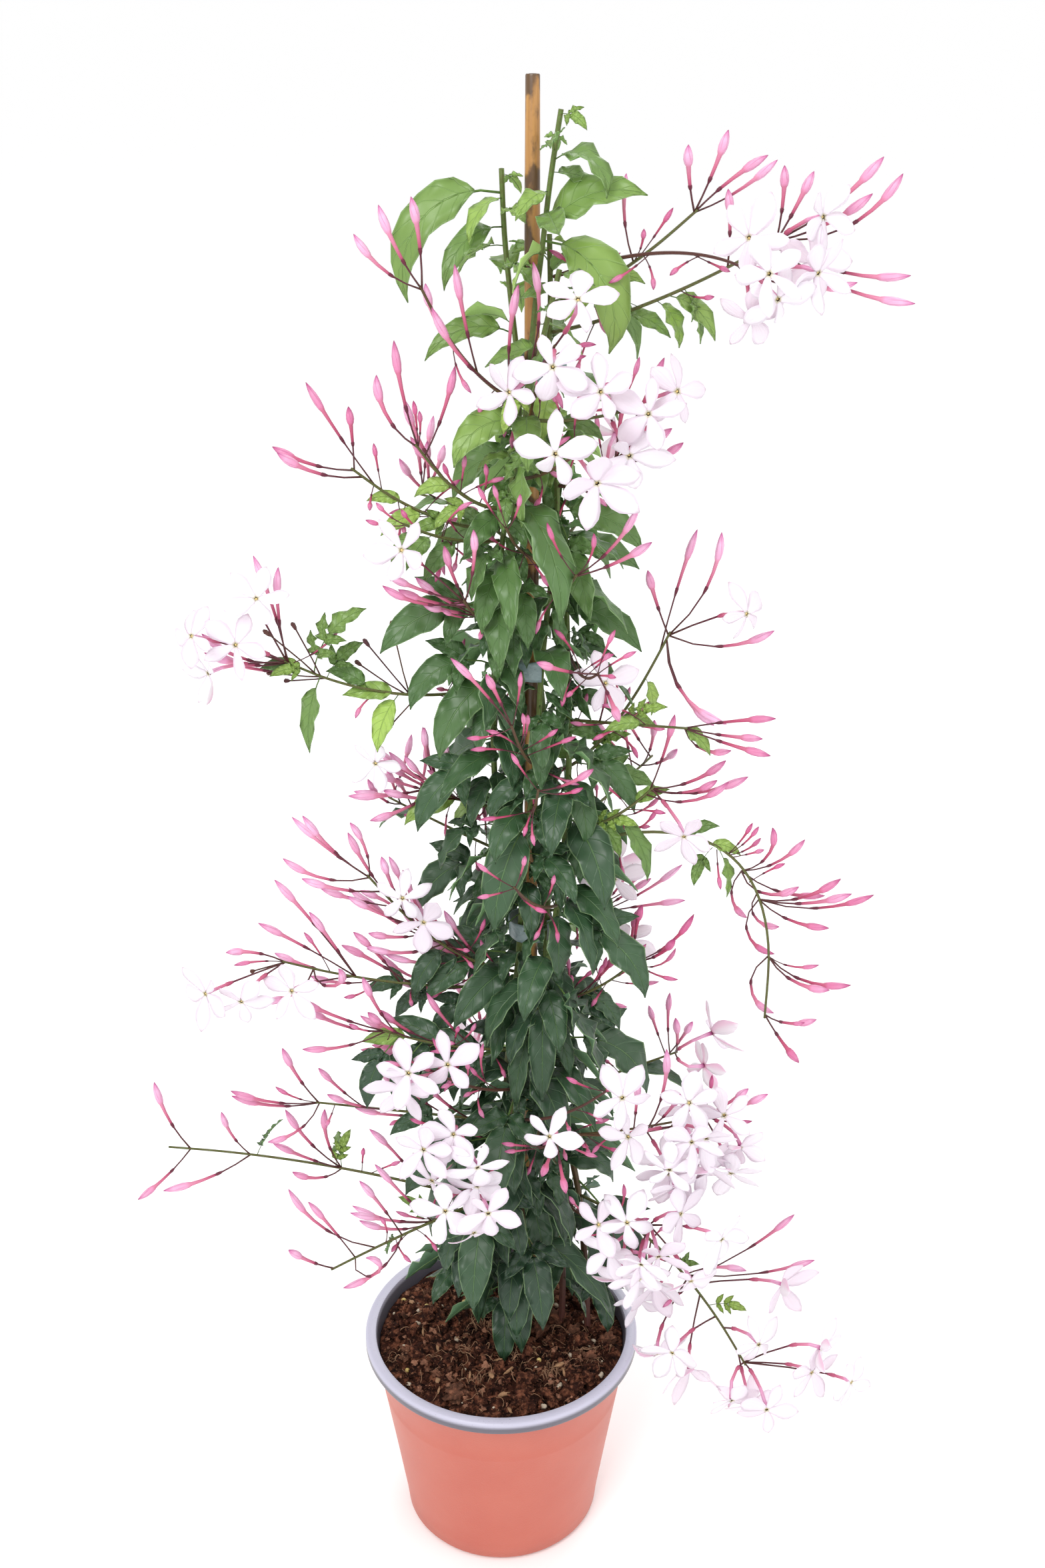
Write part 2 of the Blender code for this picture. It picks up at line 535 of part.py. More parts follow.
def vine_stem(vine):
    heights = [VINE_FOOT]
    for stop in TIE_HEIGHTS + (vine[2],):
        stop = min(stop, vine[2])
        start = heights[-1]
        count = math.ceil((stop - start) / VINE_STEP)
        heights += [start + (stop - start) * (step + 1) / count for step in range(count)]
    return [vine_point(vine, h) for h in heights], [vine_radius(h) for h in heights]


def bowed(first, middle, last, share):
    return first * (1 - share) ** 2 + middle * (2 * share * (1 - share)) + last * share**2


def on_line(points, share):
    """A point of a line of straight pieces, from its start at 0 to its end at 1."""
    reach = min(0.9999, max(0.0, share)) * (len(points) - 1)
    index = int(reach)
    return points[index].lerp(points[index + 1], reach - index)


BUD_SHARES = (0.0, 0.45, 0.80, 1.0)
BUD_RADII = (0.0004, 0.0008, 0.0020, 0.0003)
SHORT_BUD_SHARES = (0.0, 0.75, 1.0)
SHORT_BUD_RADII = (0.0005, 0.0018, 0.0003)
FLOWER_SHARES = (0.0, 0.5, 1.0)
FLOWER_RADII = (0.0004, 0.0008, 0.0014)


def plane_facing(heading):
    """Across, up and near for someone who looks at the plant from this side of it."""
    return heading_vector(heading + math.pi / 2), Vector((0, 0, 1)), heading_vector(heading)


def shoot_point(shoot, share):
    """A point of a shoot, from its foot at 0 to its tip at 1: an arc for a bud, a bow for a flower."""
    across, up, near = shoot["plane"]
    if shoot["open"]:
        return bowed(shoot["foot"], shoot["middle"], shoot["throat"], share)
    start, turn, length = shoot["start"], shoot["turn"], shoot["length"]
    run = (math.sin(start + turn * share) - math.sin(start)) / turn
    climb = (math.cos(start) - math.cos(start + turn * share)) / turn
    return shoot["foot"] + (across * run + up * climb + near * shoot["lean"] * share) * length


def facing_of(shoot):
    return (shoot_point(shoot, 1.0) - shoot_point(shoot, 0.9)).normalized()


def shoot_tube(shoot):
    """Middle line and radii of a shoot. A flower's tube ends just above its cupped star."""
    if shoot["open"]:
        points = [shoot_point(shoot, share) for share in FLOWER_SHARES]
        points[-1] += facing_of(shoot) * (BLADE / 2 + 0.8 * max(0.0, shoot["cup"]) * FLOWER_RADIUS)
        return points, FLOWER_RADII
    if shoot["length"] < SHORT_BUD:
        return [shoot_point(shoot, share) for share in SHORT_BUD_SHARES], SHORT_BUD_RADII
    return [shoot_point(shoot, share) for share in BUD_SHARES], BUD_RADII


def star_of(shoot, spin):
    facing = facing_of(shoot)
    return {
        "centre": shoot_point(shoot, 1.0),
        "facing": facing,
        "axes": tuple(v.copy() for v in spun_axes(facing, spin)),
        "radius": FLOWER_RADIUS * shoot["size"],
        "cup": shoot["cup"],
    }


def spun_axes(direction, spin):
    side, up = axes_across(direction)
    along = side * math.cos(spin) + up * math.sin(spin)
    return along, direction.cross(along)


def bud_of(foot, plane, bud, loose, draw):
    """One bud of a row, turned a little from its place as the tries go on."""
    _, start, end, length = bud
    start += (2 + 22 * loose) * draw.uniform(-1, 1)
    end += (2 + 22 * loose) * draw.uniform(-1, 1)
    turn = math.radians(end - start)
    return {
        "foot": foot,
        "plane": plane,
        "start": math.radians(start),
        "turn": turn if abs(turn) > 0.02 else 0.02,
        "lean": (0.30 + 0.5 * loose) * draw.uniform(-1, 1),
        "length": 0.001 * length * draw.uniform(0.97 - 0.2 * loose, 1.03),
        "open": False,
    }


def flower_of(foot, plane, flower, loose, draw):
    """One open flower of a row: its tube leaves sideways and turns to the near side."""
    _, angle, distance = flower
    across, up, near = plane
    angle = math.radians(angle + 40 * loose * draw.uniform(-1, 1))
    distance = 0.001 * distance + 0.006 * loose * draw.uniform(-0.5, 1)
    aside = (across * math.cos(angle) + up * math.sin(angle)) * distance
    out = math.sqrt(max(FLOWER_TUBE**2 - distance**2, (0.5 * FLOWER_TUBE) ** 2))
    out *= 0.95 + (0.15 + 0.35 * loose) * draw.uniform(-1, 1)
    tilt = (across * draw.uniform(-1, 1) + up * draw.uniform(-1, 1)) * 0.004
    reach = min(1.0, distance / FLOWER_TUBE)
    return {
        "foot": foot,
        "plane": plane,
        "middle": foot + aside * (0.62 + 0.24 * reach) + near * out * 0.2 + tilt,
        "throat": foot + aside + near * out,
        "size": draw.uniform(0.94, 1.08),
        "cup": draw.uniform(-0.08, 0.18),
        "open": True,
    }


def try_shoot(owner, stem, plane, row, is_open, draw):
    """Turns one shoot a little until it misses every other node and its own neighbours, or gives up."""
    inside = 0.0015 / sum((b - a).length for a, b in zip(stem, stem[1:]))
    foot = on_line(stem, min(row[0], 1 - inside))
    for attempt in range(SHOOT_TRIES):
        shoot = (flower_of if is_open else bud_of)(foot, plane, row, attempt / SHOOT_TRIES, draw)
        points, radii = shoot_tube(shoot)
        tries = [as_obstacle(tube_hull(points, radii), owner)]
        apart = [as_obstacle(tube_hull(points[1:], radii[1:]), owner)]
        if is_open:
            shoot["star"] = star_of(shoot, draw.uniform(0, math.tau))
            star = as_obstacle(star_hull(shoot["star"]), owner)
            tries.append(star)
            apart.append(star)
        if min(p.z for p in points) < 0.012:
            continue
        if not is_clear(tries[0], (owner, owner + " stem")):
            continue
        if not all(is_clear(hull, (owner + " stem",)) for hull in apart):
            continue
        placed.extend(tries)
        return shoot
    return None


def find_route(name, root, bow, tip, steps, draw):
    """A way for a spray's stem from one of the vines to its tip that crosses nothing laid out before."""
    toward = ((tip - CANE) * Vector((1, 1, 0))).normalized()
    for attempt in range(STEM_TRIES):
        height = root + 0.006 * attempt * draw.uniform(-1, 1)
        alive = [vine for vine in VINES if vine[2] > height + 0.006]
        alive.sort(key=lambda vine: -(vine_point(vine, height) - CANE).dot(toward))
        vine = alive[(attempt // 3) % min(3, len(alive))]
        height = clear_of_ties(vine, height)
        heart = vine_point(vine, height)
        out = ((tip - heart) * Vector((1, 1, 0))).normalized()
        foot = heart + out * (vine_radius(height) + STEM_GAP)
        middle = foot.lerp(tip, 0.5) + bow + Vector((0, 0, 0.25 * (foot.z - tip.z)))
        middle += Vector((draw.uniform(-1, 1), draw.uniform(-1, 1), draw.uniform(-1, 1))) * 0.002 * attempt
        stem = [bowed(foot, middle, tip, step / steps) for step in range(steps + 1)]
        hull = as_obstacle(tube_hull(stem, [STEM_RADIUS] * (steps + 1), STEM_MARGIN, 8), name + " stem")
        if is_clear(hull):
            return vine, stem, hull
    print("the stem of", name, "crosses another node")
    return vine, stem, hull


def route_spray(row):
    """A spray's stem from the vine that stands nearest its tip."""
    name, root, bow, tip = row[:4]
    tip = Vector(tip)
    steps = 4 if (tip - CANE - Vector((0, 0, tip.z))).length < 0.09 else 6
    vine, stem, hull = find_route(name, root, Vector(bow), tip, steps, random.Random(name))
    stem_radii = [STEM_RADIUS * (1 - 0.35 * step / steps) for step in range(steps + 1)]
    placed.append(hull)
    return {"name": name, "vine": vine[0], "stem": (stem, stem_radii), "shoots": [], "leaves": []}


def grow_spray(row, spray):
    """The flowers, buds and leaves of a spray, along its stem."""
    name, _, _, _, leaf_rows, buds, flowers, *side = row
    stem = spray["stem"][0]
    plane = plane_facing(side[0] if side else -math.pi / 2)
    for shoots, is_open in ((flowers, True), (buds, False)):
        for number, shoot_row in enumerate(shoots):
            draw = random.Random(name + (" flower " if is_open else " bud ") + str(number))
            shoot = try_shoot(name, stem, plane, shoot_row, is_open, draw)
            spray["shoots"] += [shoot] if shoot else []
    for number, (share, heading, rise, fall, roll, length, leaflets) in enumerate(leaf_rows):
        draw = random.Random(f"{name} leaf {number}")
        for attempt in range(LEAF_TRIES):
            loose = attempt / LEAF_TRIES
            leaf = try_leaf(
                name,
                on_line(stem, share + 0.2 * loose * draw.uniform(-1, 0)),
                heading + 60 * loose * draw.uniform(-1, 1),
                rise + 30 * loose * draw.uniform(-1, 1),
                fall + 20 * loose * draw.uniform(-1, 1),
                roll,
                0.001 * length * (1 - 0.3 * loose),
                leaflets,
            )
            if leaf:
                spray["leaves"].append(leaf)
                break


def back_rows():
    """The sprays of the far side, as rows like those of the near side."""
    rows = []
    for index, (angle, height, reach, flowers) in enumerate(BACK_SPRAYS):
        name = f"spray_back_{index + 1}"
        draw = random.Random(name + " rows")
        heading = math.radians(angle)
        tip = CANE + heading_vector(heading) * reach + Vector((0, 0, height + 0.02))
        buds = []
        for number in range(BACK_BUDS - flowers // 2):
            side = 1 if number % 2 else -1
            start, end = 90 + side * draw.uniform(20, 75), 90 + side * draw.uniform(0, 40)
            buds.append((draw.uniform(0.75, 1), start, end, draw.uniform(28, 42)))
        turns = [draw.uniform(0, 120) + 120 * number for number in range(flowers)]
        blooms = [(1, turn, draw.uniform(10, 20)) for turn in turns]
        leaf = (0.6, angle + draw.uniform(-40, 40), 20, -60, 0, draw.uniform(26, 36), 1)
        rows.append((name, height, (0, 0, 0.004), tuple(tip), (leaf,), buds, blooms, heading))
    return rows


def try_leaf(owner, origin, heading, rise, fall, roll, length, leaflets):
    """A leaf of a vine or spray, with its angles in degrees, if it misses all other nodes."""
    on_vine = owner.startswith("vine")
    leaf = {
        "origin": origin,
        "heading": math.radians(heading),
        "rise": math.radians(rise),
        "fall": math.radians(fall),
        "roll": math.radians(roll),
        "length": length,
        "leaflets": leaflets,
        "fold": 0.22,
        "young": origin.z > 0.60 or not on_vine,
    }
    hull = as_obstacle(leaf_hull(leaf), owner)
    if not is_clear(hull, (owner + " stem",) if on_vine else (owner, owner + " stem")):
        return None
    placed.append(hull)
    return leaf


def grow_placed_leaves():
    found = []
    for index, (height, heading, rise, fall, roll, length, leaflets) in enumerate(PLACED_LEAVES):
        draw = random.Random(f"placed leaf {index}")
        vine = outermost_vine(height, heading_vector(math.radians(heading)))
        for attempt in range(LEAF_TRIES):
            loose = attempt / LEAF_TRIES
            leaf = try_leaf(
                vine[0],
                vine_point(vine, clear_of_ties(vine, height + 0.020 * loose * draw.uniform(-1, 1))),
                heading + 50 * loose * draw.uniform(-1, 1),
                rise + 25 * loose * draw.uniform(-1, 1),
                fall + 20 * loose * draw.uniform(-1, 1),
                roll,
                length * (1 - 0.3 * loose),
                leaflets,
            )
            if leaf:
                found.append((vine[0], leaf))
                break
        else:
            print("placed leaf", index, "found no room")
    return found


def grow_leaves():
    """Leaves up every vine, longer and cut into more leaflets near the pot."""
    found = []
    for number, vine in enumerate(VINES):
        draw = random.Random(vine[0])
        height = 0.130 + 0.007 * number
        side = 1
        while height < vine[2] - 0.012:
            outward = vine_point(vine, height) - CANE
            low = 1 - min(1.0, (height - 0.12) / 0.60)
            for attempt in range(LEAF_TRIES):
                leaf = try_leaf(
                    vine[0],
                    vine_point(vine, clear_of_ties(vine, height + 0.010 * draw.uniform(-1, 1))),
                    math.degrees(math.atan2(outward.y, outward.x) + side * draw.uniform(0.1, 1.5)),
                    draw.uniform(-40, 45),
                    draw.uniform(-100, -45),
                    draw.uniform(-60, 60),
                    min(
                        (0.037 + 0.030 * low) * draw.uniform(0.80, 1.20) * (1 - 0.025 * attempt),
                        0.9 * (height - SOIL_TOP),
                    ),
                    draw.choice((3, 3, 1, 2) if low > 0.45 else (3, 1, 1, 2)),
                )
                if leaf:
                    found.append((vine[0], leaf))
                    break
            side = -side
            height += LEAF_SPACING * draw.uniform(0.85, 1.15)
    return found


def grow_plant():
    placed.clear()
    block_fixed_parts()
    stems = {vine[0]: vine_stem(vine) for vine in VINES}
    for name, (points, radii) in stems.items():
        placed.append(as_obstacle(tube_hull(points, radii, STEM_MARGIN, 8), name + " stem"))
    rows = SPRAYS + tuple(back_rows())
    sprays = [route_spray(row) for row in rows]
    leaves = grow_placed_leaves()
    for row, spray in zip(rows, sprays):
        grow_spray(row, spray)
    leaves += grow_leaves()
    return stems, sprays, leaves


# Solids


def material(name, colour, roughness):
    made = bpy.data.materials.new(name)
    made.use_nodes = True
    shader = made.node_tree.nodes["Principled BSDF"]
    shader.inputs["Base Color"].default_value = (*colour, 1.0)
    shader.inputs["Roughness"].default_value = roughness
    return made


def new_collection(name, parent=None):
    made = bpy.data.collections.new(name)
    (parent or bpy.context.scene.collection).children.link(made)
    return made


def mesh_object(name, mesh, collection):
    made = bpy.data.objects.new(name, mesh)
    collection.objects.link(made)
    return made


def weld(mesh, distance=1e-6):
    work = bmesh.new()
    work.from_mesh(mesh)
    bmesh.ops.remove_doubles(work, verts=work.verts, dist=distance)
    bmesh.ops.triangulate(work, faces=work.faces)
    bmesh.ops.recalc_face_normals(work, faces=work.faces)
    work.to_mesh(mesh)
    work.free()


def islands(work):
    """The groups of faces that hang together, each as a set."""
    unseen, groups = set(work.faces), []
    while unseen:
        group, edge_of_group = set(), [unseen.pop()]
        while edge_of_group:
            face = edge_of_group.pop()
            group.add(face)
            for edge in face.edges:
                for neighbour in edge.link_faces:
                    if neighbour in unseen:
                        unseen.remove(neighbour)
                        edge_of_group.append(neighbour)
        groups.append(group)
    return groups


def drop_specks(mesh):
    """Deletes the tiny closed specks that a union can leave where two surfaces graze each other."""
    work = bmesh.new()
    work.from_mesh(mesh)
    for group in islands(work):
        if len(group) < SPECK_FACES:
            bmesh.ops.delete(work, geom=list(group), context="FACES")
    work.to_mesh(mesh)
    work.free()


def is_whole(mesh):
    """Whether the mesh is one body with a closed surface, nowhere pinched to a point."""
    work = bmesh.new()
    work.from_mesh(mesh)
    whole = all(vertex.is_manifold for vertex in work.verts) and all(edge.is_manifold for edge in work.edges)
    whole = whole and len(islands(work)) == 1
    work.free()
    return whole


def evaluated_mesh(source):
    bpy.context.view_layer.update()
    graph = bpy.context.evaluated_depsgraph_get()
    return bpy.data.meshes.new_from_object(source.evaluated_get(graph), depsgraph=graph)


def tube(name, points, radii, collection, sides=4, section=None):
    """A round stem through its points, as a curve with a bevel or a section and filled caps, made a mesh."""
    curve = bpy.data.curves.new(name, "CURVE")
    curve.dimensions = "3D"
    if section:
        curve.bevel_mode = "OBJECT"
        curve.bevel_object = section
    else:
        curve.bevel_depth = 1.0
        curve.bevel_resolution = (sides - 4) // 2
    curve.use_fill_caps = True
    spline = curve.splines.new("POLY")
    spline.points.add(len(points) - 1)
    for point, place, radius in zip(spline.points, points, radii):
        point.co = (*place, 1.0)
        point.radius = radius
    guide = mesh_object(name, curve, collection)
    mesh = evaluated_mesh(guide)
    bpy.data.objects.remove(guide)
    weld(mesh)
    return mesh_object(name, mesh, collection)


def section_curve(sides, collection):
    """A ring of this many corners that thin shoots take as their cross-section."""
    curve = bpy.data.curves.new("section", "CURVE")
    curve.dimensions = "2D"
    spline = curve.splines.new("POLY")
    spline.points.add(sides - 1)
    for step, point in enumerate(spline.points):
        point.co = (*heading_vector(math.tau * step / sides), 1.0)
    spline.use_cyclic_u = True
    return mesh_object("section", curve, collection)


def sheet(name, outline, place, collection):
    """A flat outline filled as a 2D curve, bent point by point, and given its thickness by Solidify."""
    curve = bpy.data.curves.new(name, "CURVE")
    curve.dimensions = "2D"
    curve.fill_mode = "BOTH"
    spline = curve.splines.new("POLY")
    spline.points.add(len(outline) - 1)
    for point, (x, y) in zip(spline.points, outline):
        point.co = (x, y, 0.0, 1.0)
    spline.use_cyclic_u = True
    guide = mesh_object(name, curve, collection)
    mesh = evaluated_mesh(guide)
    bpy.data.objects.remove(guide)
    weld(mesh)
    for vertex in mesh.vertices:
        vertex.co = place(vertex.co.x, vertex.co.y)
    blade = mesh_object(name, mesh, collection)
    solidify = blade.modifiers.new("thickness", "SOLIDIFY")
    solidify.thickness = BLADE
    solidify.offset = 0.0
    blade.data = evaluated_mesh(blade)
    blade.modifiers.clear()
    weld(blade.data)
    return blade


def fuse(name, parts, collection, finish):
    """Joins overlapping bodies into one object by a Boolean union over a collection."""
    body, others = parts[0], parts[1:]
    if others:
        tools = new_collection(name + " parts")
        for part in others:
            collection.objects.unlink(part)
            tools.objects.link(part)
        union = body.modifiers.new("union", "BOOLEAN")
        union.operation = "UNION"
        union.operand_type = "COLLECTION"
        union.collection = tools
        union.solver = "MANIFOLD"
        body.data = evaluated_mesh(body)
        body.modifiers.clear()
        weld(body.data)
        drop_specks(body.data)
        for kept in KEPT_AT_JOINS:
            tidy = body.modifiers.new("tidy joins", "DECIMATE")
            tidy.ratio = kept
            tidied = evaluated_mesh(body)
            body.modifiers.clear()
            drop_specks(tidied)
            if is_whole(tidied):
                body.data = tidied
                break
        for part in others:
            bpy.data.objects.remove(part)
        bpy.data.collections.remove(tools)
    body.name = name
    body.data.name = name
    body.data.materials.clear()
    body.data.materials.append(finish)
    return body


def turned(name, profile, steps, collection, finish):
    """A profile of (radius, height) points turned round the Z axis by a Screw modifier."""
    mesh = bpy.data.meshes.new(name)
    corners = [(radius, 0.0, height) for radius, height in profile]
    mesh.from_pydata(corners, [(i, i + 1) for i in range(len(corners) - 1)], [])
    made = mesh_object(name, mesh, collection)
    screw = made.modifiers.new("turn", "SCREW")
    screw.steps = screw.render_steps = steps
    screw.merge_threshold = 0.00001
    screw.use_merge_vertices = True
    made.data = evaluated_mesh(made)
    made.modifiers.clear()
    weld(made.data)
    made.data.materials.append(finish)
    return made


def wall_radius(height, inset=0.0):
    """Outer radius of the pot's wall at a height, less an inset."""
    top = RIM_RADIUS - RIM_WIDTH
    return BASE_RADIUS + (top - BASE_RADIUS) * height / POT_HEIGHT - inset


def build_pot(collection, cutters, finish):
    under = POT_HEIGHT - RIM_DEPTH
    inner = POT_HEIGHT - 0.0012
    profile = [
        (0.0, POT_WALL + 0.0008),
        (wall_radius(0.004, POT_WALL + 0.0022), POT_WALL + 0.0008),
        (wall_radius(0.006, POT_WALL), 0.0060),
        (wall_radius(inner, POT_WALL), inner),
        (wall_radius(inner, POT_WALL) + 0.0012, POT_HEIGHT),
        (RIM_RADIUS - 0.0012, POT_HEIGHT),
        (RIM_RADIUS, POT_HEIGHT - 0.0012),
        (RIM_RADIUS, under),
        (RIM_RADIUS - 0.0012, under - 0.0010),
        (wall_radius(under) + 0.0010, under - 0.0010),
        (wall_radius(0.088), 0.086),
        (wall_radius(0.006), 0.0030),
        (wall_radius(0.0, 0.0025), 0.0),
        (0.0, 0.0),
    ]
    pot = turned("pot", profile, POT_STEPS, collection, finish)
    for index in range(DRAIN_COUNT):
        turn = math.tau * (index + 0.5) / DRAIN_COUNT
        place = heading_vector(turn) * DRAIN_CIRCLE
        bpy.ops.mesh.primitive_cylinder_add(vertices=8, radius=DRAIN_RADIUS, depth=0.02, location=place)
        cutter = bpy.context.object
        cutter.name = f"drain_cutter_{index + 1}"
        cutter.hide_render = True
        cutter.display_type = "WIRE"
        for owner in list(cutter.users_collection):
            owner.objects.unlink(cutter)
        cutters.objects.link(cutter)
    drain = pot.modifiers.new("drain holes", "BOOLEAN")
    drain.operation = "DIFFERENCE"
    drain.operand_type = "COLLECTION"
    drain.collection = cutters
    drain.solver = "MANIFOLD"
    return pot


def soil_height(x, y):
    """Crumbly relief of the soil's surface, from a few crossed waves, dipping at the wall."""
    waves = math.sin(210 * x + 1.3) * math.cos(185 * y) + 0.6 * math.sin(330 * y + 90 * x)
    waves += 0.5 * math.cos(410 * x - 160 * y)
    dip = 0.003 * (math.hypot(x, y) / 0.066) ** 4
    return SOIL_TOP + SOIL_RELIEF * waves / 2.1 - dip


def build_soil(collection, stems, finish):
    """The potting mix: it fills the pot up to its crumbly surface and has a plain hole for each stem."""
    low, high = 0.0060 + GAP, 0.098
    base = POT_WALL + 0.0008 + GAP
    rings = [(0.0, SOIL_TOP)] + [(radius, SOIL_TOP) for radius in SOIL_RING_RADII]
    inset = POT_WALL + GAP
    profile = rings + [
        (wall_radius(0.105, inset) - 0.0004, SOIL_TOP - 0.002),
        (wall_radius(high, inset), high),
        (wall_radius(low, inset + 0.0004), low + 0.0004),
        (wall_radius(0.004, inset + 0.0026), base),
        (0.0, base),
    ]
    profile.reverse()
    soil = turned("soil", [(r, z) for r, z in reversed(profile)], POT_STEPS, collection, finish)
    for vertex in soil.data.vertices:
        if vertex.co.z > high + 0.003:
            vertex.co.z += soil_height(vertex.co.x, vertex.co.y) - SOIL_TOP
    holes = new_collection("soil holes")
    cane = [CANE + Vector((0, 0, CANE_FOOT - GAP)), CANE + Vector((0, 0, 0.14))]
    tube("cane_hole", cane, [(CANE_RADIUS + GAP) * 1.1] * 2, holes, 8)
    for name, (points, radii) in stems.items():
        run = [points[0] - Vector((0, 0, GAP))] + points[1:3]
        tube(name + "_hole", run, [r + 3 * GAP for r in radii[:3]], holes, 6)
    for cutter in holes.objects:
        cutter.hide_render = True
    cut = soil.modifiers.new("stem holes", "BOOLEAN")
    cut.operation = "DIFFERENCE"
    cut.operand_type = "COLLECTION"
    cut.collection = holes
    cut.solver = "MANIFOLD"
    soil.data = evaluated_mesh(soil)
    soil.modifiers.clear()
    for cutter in list(holes.objects):
        bpy.data.objects.remove(cutter)
    bpy.data.collections.remove(holes)
    return soil


def build_cane(collection, finish):
    """A bamboo cane with a slight ring at each of its joints."""
    profile = [(0.0, CANE_TOP), (CANE_RADIUS * 0.86, CANE_TOP)]
    for joint in reversed(CANE_JOINTS):
        profile += [(CANE_RADIUS, joint + 0.004), (CANE_RADIUS * 1.16, joint)]
        profile += [(CANE_RADIUS * 0.97, joint - 0.003)]
    profile += [(CANE_RADIUS, CANE_FOOT), (0.0, CANE_FOOT)]
    cane = turned("cane", profile, CANE_STEPS, collection, finish)
    for vertex in cane.data.vertices:
        vertex.co += CANE
    return cane


def build_tie(index, height, collection, finish):
    """A flat plastic tie, made from its path by an extrusion and a Solidify."""
    path = tie_path(height)
    curve = bpy.data.curves.new(f"tie_{index}", "CURVE")
    curve.dimensions = "3D"
    curve.extrude = TIE_WIDTH / 2
    spline = curve.splines.new("POLY")
    spline.points.add(len(path) - 1)
    for point, place in zip(spline.points, path):
        point.co = (*place, 1.0)
    guide = mesh_object(f"tie_{index}_guide", curve, collection)
    band = mesh_object(f"tie_{index}", evaluated_mesh(guide), collection)
    bpy.data.objects.remove(guide)
    solidify = band.modifiers.new("thickness", "SOLIDIFY")
    solidify.thickness = TIE_THICKNESS
    solidify.offset = 0.0
    band.data = evaluated_mesh(band)
    band.modifiers.clear()
    weld(band.data)
    band.data.materials.append(finish)
    return band


def leaf_part(name, leaf, collection):
    return sheet(name, leaf_outline(leaf), lambda x, y: leaf_place(leaf, x, y), collection)


def build_spray(spray, section, collection, finish):
    parts = [tube("stem", *spray["stem"], collection)]
    for shoot in spray["shoots"]:
        parts.append(tube("shoot", *shoot_tube(shoot), collection, section=section))
        if shoot["open"]:
            star = shoot["star"]
            outline = star_outline(star)
            parts.append(sheet("flower", outline, lambda x, y: star_place(star, x, y), collection))
    parts += [leaf_part("leaf", leaf, collection) for leaf in spray["leaves"]]
    return fuse(spray["name"], parts, collection, finish)


def build_vine(name, stem, leaves, collection, finish):
    parts = [tube(name, *stem, collection)]
    parts += [leaf_part("leaf", leaf, collection) for owner, leaf in leaves if owner == name]
    return fuse(name, parts, collection, finish)


def main():
    clear_scene()
    plant = new_collection("potted_pink_jasmine")
    cutters = new_collection("cutters")
    terracotta = material("terracotta_plastic", (0.72, 0.23, 0.16), 0.45)
    peat = material("peat_soil", (0.055, 0.022, 0.011), 0.95)
    bamboo = material("bamboo", (0.50, 0.27, 0.09), 0.5)
    grey_plastic = material("grey_tie", (0.23, 0.29, 0.29), 0.4)
    green = material("leaf_green", (0.035, 0.12, 0.03), 0.45)
    pink = material("bud_pink", (0.78, 0.20, 0.34), 0.5)
    white = material("petal_white", (0.90, 0.84, 0.88), 0.55)
    stems, sprays, leaves = grow_plant()
    build_pot(plant, cutters, terracotta)
    build_soil(plant, stems, peat)
    build_cane(plant, bamboo)
    for index, height in enumerate(TIE_HEIGHTS):
        build_tie(index + 1, height, plant, grey_plastic)
    for name, stem in stems.items():
        build_vine(name, stem, leaves, plant, green)
    section = section_curve(SHOOT_SIDES, new_collection("sections"))
    for spray in sprays:
        mostly_open = 2 * sum(shoot["open"] for shoot in spray["shoots"]) > len(spray["shoots"])
        build_spray(spray, section, plant, white if mostly_open else pink)
    bpy.data.objects.remove(section)
    print(sum(len(f.vertices) - 2 for item in plant.objects for f in item.data.polygons), "triangles")
    buds = sum(not shoot["open"] for spray in sprays for shoot in spray["shoots"])
    flowers = sum(shoot["open"] for spray in sprays for shoot in spray["shoots"])
    print(buds, "buds,", flowers, "flowers,", len(leaves), "leaves")
    for item in plant.objects:
        item.data.shade_smooth()
        item.data.set_sharp_from_angle(angle=math.radians(35))


main()
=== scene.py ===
# The looks of a potted pink jasmine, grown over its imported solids. Metres, +Z up.
import math
import random

import bmesh
import bpy
import numpy as np
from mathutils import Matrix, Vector, noise
from mathutils.bvhtree import BVHTree
from mathutils.geometry import tessellate_polygon


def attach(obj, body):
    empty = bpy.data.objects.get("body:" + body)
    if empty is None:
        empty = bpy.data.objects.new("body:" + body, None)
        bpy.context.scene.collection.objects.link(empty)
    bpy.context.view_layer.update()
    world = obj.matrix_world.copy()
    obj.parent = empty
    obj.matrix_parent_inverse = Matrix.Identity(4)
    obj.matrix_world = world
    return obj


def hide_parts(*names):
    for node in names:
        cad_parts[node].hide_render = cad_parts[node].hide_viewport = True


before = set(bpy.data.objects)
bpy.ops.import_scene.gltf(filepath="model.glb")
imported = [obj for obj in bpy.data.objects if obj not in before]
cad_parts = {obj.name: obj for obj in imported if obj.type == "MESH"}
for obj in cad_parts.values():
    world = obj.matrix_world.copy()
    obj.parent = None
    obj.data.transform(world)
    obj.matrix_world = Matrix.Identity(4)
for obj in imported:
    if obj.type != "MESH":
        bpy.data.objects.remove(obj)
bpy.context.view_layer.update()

bpy.ops.object.select_all(action="DESELECT")
print("frame loaded:", len(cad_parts), "solids")


# Camera, floor and light

cameraValues = {
    "place": (0.0118, -0.781, 0.809), "pitch": 65.3, "lens": 41.33, "filmHeight": 36.0, "reach": 200,
}
floorValues = {
    "size": 90.0, "cuts": 4, "colour": "#FFFFFF", "roughness": 0.85, "ior": 1.4,
    "more": {"Specular IOR Level": 0.1},
}
skyStrength = 1.0
